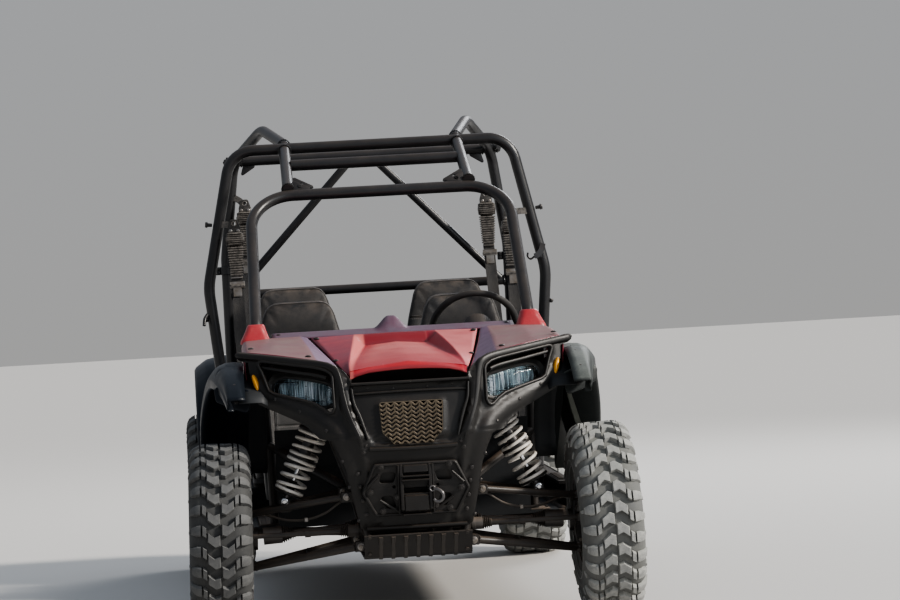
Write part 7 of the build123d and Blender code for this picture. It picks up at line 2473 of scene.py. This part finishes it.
# wells in the long top, between (-300, 560) and (100, 540)
for y in (-190, -90):
    z = 560 - 20 * (y + 300) / 400.0
    kl.lathe([(1, 47), (4, 47), (6, 44.5), (6, 40), (4, 38), (1, 38)], (0, y, z), (0, 0.05, 1), 40, closed=True)
    kl2.lathe([(0.6, 0), (0.6, 38.5), (1.6, 38.5), (2.2, 30), (2.2, 0)], (0, y, z), (0, 0.05, 1), 36)
    for k in range(3):
        t = 2 * pi * k / 3
        kl2.box(28, 40, -7, 7, 0, 5.4, 2, frame_matrix(Vector((0, y, z)), Vector((cos(t), sin(t), 0)), Vector((-sin(t), cos(t), 0)), Vector((0, 0, 1))))
for s in (1, -1):
    kl.sweep([(s * 80.5, y, z) for y, z in ((-630, 640), (-560, 676), (-440, 630), (-300, 550), (96, 530))], 3.0, 8)
    for y, z in ((-600, 500), (-600, 400), (-420, 560), (-250, 500), (-60, 500), (70, 500), (70, 390)):
        kl3.lathe([(0, 0), (0, 6), (2, 6), (3.4, 3.6), (3.4, 0)], (s * 80, y, z), (s, 0, 0), 14)
make(kl, "console_trim", MAT["plastic_black"], "root", "plastic_black", angle=40)
make(kl2, "lever_gaiter", MAT["boot_rubber"], "root", "grip_rubber", angle=30)
make(kl3, "lever_knob", MAT["switch_plastic"], "root", "plastic_black", angle=50)

# ------------------------------------------------------------------ pedals, mats and floor ribs
kp1, kp2 = Kit(), Kit()
for x in (250, 395):
    kp1.box(x - 33, x + 33, -793, -788, 428, 532, 2)
    for i in range(8):
        z = 437 + i * 12.2
        kp1.box(x - 30, x + 30, -789, -784.5, z, z + 6.6, 1.6)
    kp2.rod((x - 16, -862, 640), (x + 16, -862, 640), 8, segs=16)
    kp2.box(x - 12, x + 12, -880, -850, 646, 690, 3)
    kp2.bolt((x + 13, -862, 640), (1, 0, 0), 6, 4)
make(kp1, "pedal_pads", MAT["boot_rubber"], "root", "grip_rubber")
make(kp2, "pedal_brackets", MAT["frame_black"], "root", "frame_black")
km1 = Kit()


def mat_pad(x0, x1, y0, y1, z, n, cross=True):
    km1.box(x0, x1, y0, y1, z, z + 3, 1.2)
    km1.sweep([(x, y, z + 3.2) for x, y in rounded_poly([(x0 + 5, y0 + 5), (x1 - 5, y0 + 5), (x1 - 5, y1 - 5), (x0 + 5, y1 - 5)], 22, 5)], 3.4, 8, closed=True)
    w = (x1 - x0 - 40) / n
    for i in range(n):
        xc = x0 + 20 + w * (i + 0.5)
        m = int((y1 - y0 - 30) // 52)
        for j in range(m):
            ya = y0 + 18 + j * (y1 - y0 - 36) / m
            yb = ya + (y1 - y0 - 36) / m - 10
            km1.box(xc - w * 0.27, xc + w * 0.27, ya, yb, z + 2.5, z + 6.5, 1.6)


for s in (1, -1):
    x0, x1 = (110, 545) if s > 0 else (-545, -110)
    mat_pad(x0, x1, -868, -300, 346.4, 11)
    mat_pad(x0, x1, 168, 424, 346.4, 11)
make(km1, "floor_mats", MAT["boot_rubber"], "root", "grip_rubber")

# ------------------------------------------------------------------ arms, joints and axles
ku, kub, kur, kus = Kit(), Kit(), Kit(), Kit()   # welded steel, bolts, rubber, bare steel


def bead(k, p, n, R, r=3.0, segs=44, arc=1.0):
    """Rippled weld bead round a tube."""
    a, b, n = basis(n)
    m = int(segs * arc)
    pts = [Vector(p) + a * (R * cos(2 * pi * i / segs)) + b * (R * sin(2 * pi * i / segs)) for i in range(m)]
    k.sweep(pts, r, 7, closed=arc >= 1, rs=[1.0 + 0.25 * sin(i * 2.1) for i in range(m)])


def bellows(k, o, n, r0, r1, L, folds, lip=2.5):
    """Ribbed rubber boot with a band at each end."""
    prof = [(0, 0), (0, r0 + 1), (5, r0 + 1)]
    for i in range(folds):
        t = (i + 0.5) / folds
        r = r0 + (r1 - r0) * t
        s = 6 + (L - 12) * i / folds
        w = (L - 12) / folds
        prof += [(s + w * 0.15, r - 1.5), (s + w * 0.45, r + 4.5), (s + w * 0.6, r + 4.5), (s + w * 0.9, r - 1.5)]
    prof += [(L - 5, r1 + 1), (L, r1 + 1), (L, 0)]
    k.lathe(prof, o, n, 32)


def band(k, o, n, R, w=6):
    k.lathe([(0, R - 2), (0, R + 1.2), (w, R + 1.2), (w, R - 2)], o, n, 32, closed=True)
    a, b, n = basis(n)
    k.box(-4, 4, -2, 2, 0, w, 0.6, frame_matrix(Vector(o) + b * (R + 2), a, b, n))


def bush(c, half, R, bolt_r=8.5):
    """Pivot along Y: rubber faces, washers and a through bolt."""
    c = Vector(c)
    for s in (1, -1):
        kur.lathe([(half - 3, 6), (half - 3, R - 2), (half + 1.5, R - 3), (half + 1.5, 6)], c, (0, s, 0), 28, closed=True)
        kub.bolt(c + Vector((0, s * (half + 8), 0)), (0, s, 0), bolt_r, 7)


AF, AR = -1364.0, 1364.0
for s in (1, -1):
    for xin, zin, spread, zr, r, rr in ((240, 482, 150, 428, 12, 21), (200, 305, 170, 240, 14, 23)):
        ring = Vector((s * 594, AF, zr))
        for q in (-1, 1):
            c = Vector((s * xin, AF + q * spread, zin))
            bush(c, 24, r + 5)
            d = (Vector((s * 586, AF + q * 8, zr)) - c).normalized()
            bead(ku, c + d * (r + 5), d, r + 1.2)
            bead(ku, ring - d * (rr + 3), d, r + 1)
        # web plate by the outer joint
        d0 = (Vector((s * xin, AF - spread, zin)) - ring).normalized()
        d1 = (Vector((s * xin, AF + spread, zin)) - ring).normalized()
        A, B, C, D = ring + d0 * 34, ring + d0 * 104, ring + d1 * 104, ring + d1 * 34
        x = (B - A).normalized()
        nn = x.cross(D - A).normalized()
        y = nn.cross(x)
        M = frame_matrix(A, x, y, nn)
        pts = [((p - A).dot(x), (p - A).dot(y)) for p in (A, B, C, D)]
        mid = [sum(p[i] for p in pts) / 4 for i in (0, 1)]
        ku.plate(pts, [circle(mid[0], mid[1], 7, 18)], 5, 1.0, M)
        # ball joint: housing, circlip, boot towards the upright, nut
        up = 1 if zr < 300 else -1
        ku.lathe([(-12, rr - 4), (-12, rr + 1.5), (-9, rr + 2.6), (-4, rr + 2.6), (-2, rr + 0.6), (-2, rr - 4)], ring, (0, 0, up), 36, closed=True)
        bl = 11.5 if up > 0 else 5.4          # the boot ends short of the boss of the upright
        kur.lathe([(10, 7.6), (10, 18), (10 + 0.25 * bl, 20), (10 + 0.58 * bl, 18), (10 + 0.83 * bl, 14), (10 + bl, 7.6)], ring, (0, 0, up), 28, closed=True)
        kus.lathe([(-16, 0), (-16, 13), (-12, 16), (-10, 16), (-10, 0)], ring, (0, 0, up), 30)
    # cross tubes of the arms
    for xin, zin, spread, zr, k0, R in ((240, 482, 150, 428, (463 - 240) / 354.0, 10), (200, 305, 170, 240, 0.45, 11)):
        x = xin + (594 - xin) * k0
        z = zin + (zr - zin) * k0
        for q in (-1, 1):
            bead(ku, (s * x, AF + q * (spread * (1 - k0) - 9), z), (0, 1, 0), R + 1)
    # lower fixing of the spring leg
    p = Vector((s * 455.8, AF, 467))
    for q in (-1, 1):
        M = frame_matrix(p + Vector((0, q * 22, -12)), Vector((1, 0, 0)), Vector((0, 0, 1)), Vector((0, -1, 0)))
        ku.plate(rounded_poly([(-22, -26), (24, -26), (17, 24), (-17, 24)], 8, 4), [], 5, 1.0, M)
    # driveshafts: boots with bands, and their couplings
    for x0, x1, yy, z0, z1, r_in, r_out in ((122, 538, AF, 368, 348, 33, 31), (126, 441, AR, 366, 346, 33, 31)):
        a = Vector((s * x0, yy, z0))
        b = Vector((s * x1, yy, z1))
        d = (b - a).normalized()
        L = (b - a).length
        bellows(kur, a + d * (L * 0.16 - 4), d, r_in - 3, 15, 58, 5)
        band(kus, a + d * (L * 0.16 - 3), d, r_in - 1.6)
        band(kus, a + d * (L * 0.16 + 49), d, 16.5)
        bellows(kur, b - d * (L * 0.16 - 4), -d, r_out - 3, 15, 52, 5)
        band(kus, b - d * (L * 0.16 - 9), d, r_out - 1.6)
        for i in range(24):
            t = 2 * pi * i / 24
            u, v, n = basis(d)
            e = u * cos(t) + v * sin(t)
            kus.box(-2.2, 2.2, -1.6, 1.6, 2, 12, 0.4, frame_matrix(a + e * 32.6, n.cross(e), e, n))
    # dust seals where the steering bar leaves its housing
    bellows(kur, (s * 233, -1474, 357), (s, 0, 0), 19, 13.5, 40, 4)
    band(kus, (s * 234, -1474, 357), (s, 0, 0), 20.5)
    kub.bolt((s * 150, -1452, 357), (0, 1, 0), 8, 6)
    for x in (-1, 1):
        kus.ring((s * (190 + x * 16), -1474, 357), (s, 0, 0), 25, 21.6, -6, 6, 32)
    # front case: fixing ears and cooling ribs
    for y in (AF - 50, AF + 60):
        kus.box(s * 92 - 3, s * 92 + 3, y - 10, y + 10, 336, 356, 2)
        kub.bolt((s * 96, y, 346), (s, 0, 0), 7, 5)
    for i in range(6):
        kus.box(s * (14 + i * 13) - 2, s * (14 + i * 13) + 2, AF - 58, AF + 72, 418, 424, 1)
        kus.box(s * (14 + i * 15) - 2, s * (14 + i * 15) + 2, AR - 46, AR + 80, 448, 455, 1)

# steering housing: pinion cover, bolts
kus.lathe([(0, 0), (0, 24), (8, 24), (10, 20), (26, 18), (28, 14), (28, 0)], (95, -1474, 403), (0, 0.3, 1), 32)
for i in range(3):
    t = 2 * pi * i / 3
    kub.bolt((95 + 19 * cos(t), -1474 + 19 * sin(t) + 2, 413), (0, 0.3, 1), 4.5, 4)
# case halves
for yy, w, z0, z1 in ((AF, 92, 330, 420), (AR, 105, 330, 450)):
    y0, y1 = (yy - 62, yy + 76) if yy < 0 else (yy - 50, yy + 84)
    line = rounded_poly([(y0 - 2, z0 - 2), (y1 + 2, z0 - 2), (y1 + 2, z1 + 2), (y0 - 2, z1 + 2)], 16, 4)
    kus.sweep([(0, y, z) for y, z in line], 1.0, closed=True, ref=(1, 0, 0), sect=[(-4, -6), (4, -6), (4, 6), (-4, 6)])
    for y, z in line[::3]:
        kub.bolt((6, y, z), (1, 0, 0), 5, 4, washer=False)
    kub.bolt((30, (y0 + y1) / 2, z0), (0, 0, -1), 10, 6)
    kub.bolt((-30, y0, (z0 + z1) / 2), (0, -1, 0), 10, 6)

# ------------------------------------------------------------------ rear arms
for s in (1, -1):
    # pressed ribs and lightening ovals along both faces of the trailing arm
    for X, n in ((500, 1), (446, -1)):
        for (y0, z0, L, h) in ((640, 330, 90, 26), (790, 338, 150, 34), (990, 345, 170, 36), (1200, 349, 120, 34)):
            ring = rounded_poly([(y0, z0 - h / 2), (y0 + L, z0 - h / 2 + 2), (y0 + L, z0 + h / 2 + 2), (y0, z0 + h / 2)], h * 0.45, 6)
            ku.sweep([(s * (X + n * 0.3), y, z) for y, z in ring], 1.0, closed=True, ref=(s * n, 0, 0), sect=[(-4.5, -1), (-2.5, 2.2), (0, 3.2), (2.5, 2.2), (4.5, -1)])
    # pivot
    for X, n in ((523, 1), (423, -1)):
        kur.lathe([(-4, 9), (-4, 30), (0, 31), (1, 29), (1, 9)], (s * (X - n * 5), 575, 320), (s * n, 0, 0), 32, closed=True)
        kub.bolt((s * X, 575, 320), (s * n, 0, 0), 11, 8)
    bead(ku, (s * 500.5, 575, 320), (1, 0, 0), 35, 3.2)
    bead(ku, (s * 445.5, 575, 320), (1, 0, 0), 35, 3.2)
    # hub carrier: bearing ring and bolts
    kus.ring((s * 556, AR, 343), (s, 0, 0), 50, 30, -26, -4, 44)
    for i in range(4):
        t = 2 * pi * (i + 0.5) / 4
        kub.bolt((s * 530, AR + 41 * cos(t), 343 + 41 * sin(t)), (-s, 0, 0), 6.5, 5)
    bead(ku, (s * 501, AR, 343), (1, 0, 0), 47, 3.4)
    # caliper: bridge bolts, bleed nipple, pads
    for dz in (-28, 32):
        kub.bolt((s * 575, 1488, 343 + dz), (0, 1, 0), 7, 5)
    kus.lathe([(0, 0), (0, 5), (8, 5), (9, 3), (15, 3), (15, 0)], (s * 560, 1455, 385), (0, 0, 1), 14)
    kus.box(s * 575 - 20, s * 575 + 20, 1432, 1484, 378, 384, 2)
    # radius rods: jam nuts, rod ends, bolts
    for z0, z1 in ((425, 356), (306, 328)):
        a, b = Vector((s * 206, 1470, z0)), Vector((s * 446, 1425, z1))
        d = (b - a).normalized()
        for p, q in ((a, 1), (b, -1)):
            kus.lathe([(22, 8), (22, 16), (34, 16), (34, 8)], p, d * q, 6, closed=True)
            kus.lathe([(34, 11), (34, 14.5), (48, 14.5), (50, 11)], p, d * q, 6, closed=True)
        kur.lathe([(-16, 5), (-16, 12), (-10, 14), (10, 14), (16, 12), (16, 5)], a, (0, 1, 0), 24, closed=True)
        for q in (-1, 1):
            kub.bolt(a + Vector((0, q * 24, 0)), (0, q, 0), 7.5, 6)
        kus.ball(b + Vector((-s * 4, 0, 0)), 15, 20, 10)
    # lower mount of the rear spring leg
    p = Vector((s * 468, 1218, 402))
    for q in (-1, 1):
        M = frame_matrix(p + Vector((0, q * 23, -14)), Vector((1, 0, 0)), Vector((0, 0, 1)), Vector((0, -1, 0)))
        ku.plate(rounded_poly([(-26, -24), (26, -24), (16, 26), (-16, 26)], 8, 4), [], 5, 1.0, M)
make(ku, "arm_welds", MAT["frame_black"], "root", "frame_black", angle=40)
make(kur, "boots_and_bushes", MAT["boot_rubber"], "root", "grip_rubber", angle=38)
make(kus, "axle_fittings", MAT["engine_metal"], "root", "engine_metal", angle=38)
make(kub, "underbody_bolts", MAT["bolt_steel"], "root", "shock_metal", angle=38)

# ------------------------------------------------------------------ steered uprights
for s, tag in ((1, "left"), (-1, "right")):
    kk1, kk2 = Kit(), Kit()
    # forged ribs on the upright's back and edges
    for dz in (0,):
        for q in (-1, 1):
            kk1.sweep([(s * 582, AF + q * 26, 270), (s * 578, AF + q * 30, 300), (s * 577, AF + q * 32, 340), (s * 578, AF + q * 28, 385), (s * 582, AF + q * 22, 408)], 5, 8)
    kk1.ring((s * 594, AF, 345), (s, 0, 0), 44, 30, -17, -11, 40)
    # bosses for the joints, with pinch bolts
    for z, q in ((262, -1), (412, 1)):
        kk1.lathe([(-14, 0), (-14, 17), (-2, 19), (0, 17), (0, 0)], (s * 594, AF, z), (0, 0, q), 28)
        kk2.bolt((s * 594, AF - 30, z - q * 8), (0, -1, 0), 6.5, 5)
    # steering arm: rib, and the ball joint's nut and boot
    kk1.sweep([(s * 590, AF - 28, 387), (s * 590, -1430, 388), (s * 590, -1474, 387)], 1.0, ref=(0, 0, 1), sect=[(-6, 0), (-4, 11), (4, 11), (6, 0)])
    kk1.lathe([(-2, 0), (-2, 19), (14, 19), (17, 16), (17, 0)], (s * 590, -1474, 380), (0, 0, 1), 32)
    kk2.bolt((s * 590, -1474, 397), (0, 0, 1), 9, 8)
    # caliper: body ribs, bolts and bleed nipple
    cx0, cx1 = sorted((s * 586, s * 650))
    for dz in (-26, -9, 9, 26):
        kk1.box(cx0 + 3, cx1 - 3, AF + 121, AF + 126, 344 + dz - 4, 344 + dz + 4, 1.5)
    for dz in (-30, 30):
        kk2.bolt((s * 585, AF + 94, 344 + dz), (-s, 0, 0), 7, 6)
    kk2.lathe([(0, 0), (0, 5), (7, 5), (8, 3), (14, 3), (14, 0)], (s * 604, AF + 108, 384), (0, 0, 1), 14)
    for q in (-1, 1):
        for z in (300, 388):
            kk2.bolt((s * 581, AF + q * 22, z), (-s, 0, 0), 6.5, 5)
    make(kk1, "upright_forging_" + tag, MAT["dark_bolt"], "front_%s_upright" % tag, "engine_metal", angle=38)
    make(kk2, "upright_bolts_" + tag, MAT["bolt_steel"], "front_%s_upright" % tag, "shock_metal", angle=38)

# ------------------------------------------------------------------ engine, drive cover and exhaust
ke1, ke2, ke3, ke4, ke5 = Kit(), Kit(), Kit(), Kit(), Kit()
# finned head and cam cover over the block
for i in range(9):
    z = 596 + i * 10.5
    ke1.box(-180, 180, 1017, 1295, z, z + 4.6, 1.6)
ke1.box(-124, 124, 1054, 1246, 742, 758, 7)
for i in range(6):
    ke1.box(-112 + i * 40, -88 + i * 40, 1064, 1236, 755, 763, 3)
for x in (-112, 0, 112):
    for y in (1066, 1234):
        ke2.bolt((x, y, 757), (0, 0, 1), 6, 5)
for i in range(5):
    for y, n in ((1018, -1), (1294, 1)):
        ke1.sweep([(-150 + i * 75, y - n * 4, 360), (-150 + i * 75, y + n * 4, 372), (-150 + i * 75, y + n * 4, 570), (-150 + i * 75, y - n * 4, 584)], 5, 8)
for x, y in ((-165, 1294), (165, 1294), (-60, 1294), (60, 1294)):
    for z in (380, 560):
        ke2.bolt((x, y, z), (0, 1, 0), 7, 5)
# ribbed belt cover on the right
CN = Vector((-1, 0, 0))
out = []
for i in range(64):
    t = 2 * pi * i / 64
    out.append((132 * cos(t) + (0), 108 * sin(t) * (1.0 if sin(t) > 0 else 0.95)))
ke3.plate(out, [], 34, 8, frame_matrix(Vector((-190, 1156, 500)), Vector((0, 1, 0)), Vector((0, 0, 1)), Vector((1, 0, 0))), res=3)
for i in range(16):
    t = 2 * pi * i / 16
    ke3.sweep([(-206, 1156 + 34 * cos(t), 500 + 30 * sin(t)), (-209.5, 1156 + 70 * cos(t), 500 + 60 * sin(t)), (-206, 1156 + 116 * cos(t), 500 + 94 * sin(t))], 3.6, 6)
for i in range(8):
    t = 2 * pi * (i + 0.5) / 8
    ke2.bolt((-199, 1156 + 124 * cos(t), 500 + 100 * sin(t)), (-1, 0, 0), 5, 4)
ke3.lathe([(0, 0), (0, 26), (4, 26), (8, 20), (8, 0)], (-206, 1156, 500), CN, 36)
# intake duct with a ribbed middle and clips
pts = bezier([(-200, 1090, 560), (-206, 1040, 620), (-196, 1010, 690), (-150, 1012, 735)], 40)
ke4.sweep(pts, 27, 24, rs=[1.0 + (0.10 if 6 < i < 34 and i % 2 else 0.0) for i in range(len(pts))])
for i in (3, len(pts) - 4):
    d = (pts[i + 1] - pts[i]).normalized()
    band(ke2, pts[i], d, 28, 8)
# radiator hoses along the middle, under the floor's tunnel
for s in (1, -1):
    pts = bezier([(s * 40, 1020, 520), (s * 48, 960, 440), (s * 52, 900, 392), (s * 52, 600, 386)], 30)
    ke4.sweep(pts, 16, 16)
    band(ke2, pts[2], (pts[3] - pts[2]).normalized(), 17, 8)
# silencer: end caps, seams, straps, shield with slots, spark arrester
MO, MN = Vector((-215, 1560, 640)), Vector((1, 0, 0))
ke5.lathe([(-3, 0), (-3, 52), (-1, 60), (6, 70), (10, 72), (16, 72), (18, 70.6), (20, 70.6)], MO, MN, 48)
ke5.lathe([(-3, 0), (-3, 52), (-1, 60), (6, 70), (10, 72), (16, 72), (18, 70.6), (20, 70.6)], MO + MN * 430, -MN, 48)
for t in (96, 330):
    ke5.lathe([(0, 70), (0, 73), (26, 73), (26, 70)], MO + MN * t, MN, 48, closed=True)
    ke2.box(MO.x + t + 4, MO.x + t + 22, 1560 - 8, 1560 + 8, 712, 728, 2)
    ke2.bolt((MO.x + t + 13, 1569, 720), (0, 1, 0), 5, 6)
for (t0, t1) in ((124, 322),):
    nn = 40
    rows = []
    for j in range(15):
        a = radians(-58 + 116 * j / 14)
        rows.append([(MO.x + t0 + (t1 - t0) * i / nn, 1560 + 77 * sin(a) * 1.0, 640 + 77 * cos(a)) for i in range(nn + 1)])
    hv = [p for r in rows for p in r]
    hf = []
    for j in range(14):
        for i in range(nn):
            if 3 <= j <= 10 and 4 <= (i % 10) <= 5 and 3 < i < 37:
                continue
            hf.append((j * (nn + 1) + i, j * (nn + 1) + i + 1, (j + 1) * (nn + 1) + i + 1, (j + 1) * (nn + 1) + i))
    shield = Kit().add(hv, hf)
    make(shield, "exhaust_shield", MAT["exhaust_steel"], "root", "exhaust_steel", solid=1.6, angle=50)
ke5.lathe([(118, 20), (118, 28), (122, 30), (132, 30), (134, 27), (134, 20)], (150, 1560, 640), (0, 1, 0), 36, closed=True)
ke5.lathe([(64, 26), (68, 31), (76, 31), (80, 26)], (150, 1560, 640), (0, 1, 0), 36, closed=True)
for i in range(3):
    t = 2 * pi * i / 3
    ke2.bolt((150 + 28 * cos(t), 1694, 640 + 28 * sin(t)), (0, 1, 0), 4, 3)
ke5.lathe([(0, 20), (0, 30), (8, 30), (8, 20)], (-120, 1486, 620), (0, 1, 0), 30, closed=True)
ke5.box(-158, -82, 1478, 1486, 600, 640, 3)
for dx in (-28, 28):
    ke2.bolt((-120 + dx, 1477, 620), (0, -1, 0), 6, 6)
make(ke1, "engine_fins", MAT["engine_metal"], "root", "engine_metal", angle=38)
make(ke2, "engine_bolts", MAT["bolt_steel"], "root", "shock_metal", angle=38)
make(ke3, "belt_cover", MAT["plastic_black"], "root", "plastic_black", angle=38)
make(ke4, "engine_hoses", MAT["boot_rubber"], "root", "grip_rubber", angle=45)
make(ke5, "exhaust_fittings", MAT["exhaust_steel"], "root", "exhaust_steel", angle=38)

# ------------------------------------------------------------------ sills, side bars and rear bar
kf, kfb = Kit(), Kit()
for s in (1, -1):
    x = s * 640
    # long pressed ribs and end frames on the sill's face
    for y0, y1 in ((-740, -470), (-440, -120), (-90, 170), (240, 520), (550, 940)):
        ring = rounded_poly([(y0, 318), (y1, 318), (y1, 422), (y0, 422)], 16, 5)
        kf.sweep([(x + s * 0.2, y, z) for y, z in ring], 1.0, closed=True, ref=(s, 0, 0), sect=[(-5, -1), (-3, 3), (0, 4.2), (3, 3), (5, -1)])
        n = int((y1 - y0) // 44)
        for i in range(1, n):
            yy = y0 + (y1 - y0) * i / n
            kf.sweep([(x + s * 0.2, yy, 336), (x + s * 1.2, yy, 350), (x + s * 1.2, yy, 392), (x + s * 0.2, yy, 406)], 1.0, ref=(s, 0, 0), sect=[(-6, -1), (-3.5, 2.4), (3.5, 2.4), (6, -1)])
    # step treads on the top edge
    for y0, y1 in ((-700, -330), (260, 760)):
        kf.box(min(s * 594, s * 638), max(s * 594, s * 638), y0, y1, 441, 445, 1.5)
        n = int((y1 - y0) // 26)
        for i in range(n):
            yy = y0 + 10 + i * (y1 - y0 - 20) / n
            kf.box(min(s * 598, s * 634), max(s * 598, s * 634), yy, yy + 9, 444, 449, 1.8)
    kf.sweep([(s * 639, -756, 441), (s * 640.5, -500, 441.5), (s * 640.5, 500, 441.5), (s * 639, 961, 441)], 3.2, 8)
    for y in (-730, -455, -105, 205, 535, 930):
        for z in (326, 414):
            kfb.bolt((x + s * 0.5, y, z), (s, 0, 0), 6.5, 4)
    # side bars: end plates, bolts, welds
    for p, d in (((503, -770, 700), (0.4, 0.79, -0.41)), ((640, 215, 720), (0, 1, 0.6)), ((645, 215, 760), (0, 1, -0.6)), ((604, 978, 880), (0, -1, -0.1))):
        p = Vector((s * p[0], p[1], p[2]))
        d = Vector((s * d[0], d[1], d[2]))
        kf.lathe([(-4, 0), (-4, 24), (2, 24), (4, 21), (4, 0)], p, d, 28)
        bead(kf, p + d.normalized() * 6, d, 17, 2.8)
    for p in ((638, 214, 720), (645, 214, 760)):
        kfb.bolt((s * (p[0] + 20), p[1] - 2, p[2]), (s, 0, 0), 7, 6)
    # rear bar: welds and plugs
    for p, n in (((330, 1688, 570), (0, 0, 1)), ((250, 1655, 765), (0.6, -0.3, 0.7))):
        bead(kf, (s * p[0], p[1], p[2]), (s * n[0], n[1], n[2]), 17, 2.8)
    kf.lathe([(0, 0), (0, 17), (4, 17), (6, 13), (6, 0)], (s * 250, 1655, 770), (-s * 0.75, -0.3, 0.6), 24)
    for q in (0, 1):
        kfb.bolt((s * (34 + q * 60), 1668, 481), (0, 0, 1), 7, 6)
# rim round the tow plate's hole, and its webs' welds
kf.ring((0, 1676, 480), (0, 0, 1), 17, 8.6, -0.4, 2.4, 30)
# cross braces' welds on the rear frame
for s in (1, -1):
    for p, n, R in (((326, 1000, 762), (-0.33, 0, -0.94), 17), ((169, 1000, 315), (0.33, 0, 0.94), 17), ((296, 1578, 758), (-0.27, -0.1, -0.95), 17),
                    ((205, -1484, 496), (0.31, 0.3, 0.9), 17), ((205, -1244, 496), (0.31, -0.3, 0.9), 17)):
        bead(kf, (s * p[0], p[1], p[2]), (s * n[0], n[1], n[2]), R, 3)
make(kf, "sill_and_bar_trim", MAT["plastic_black"], "root", "plastic_black", angle=40)
make(kfb, "sill_bolts", MAT["dark_bolt"], "root", "shock_metal", angle=40)
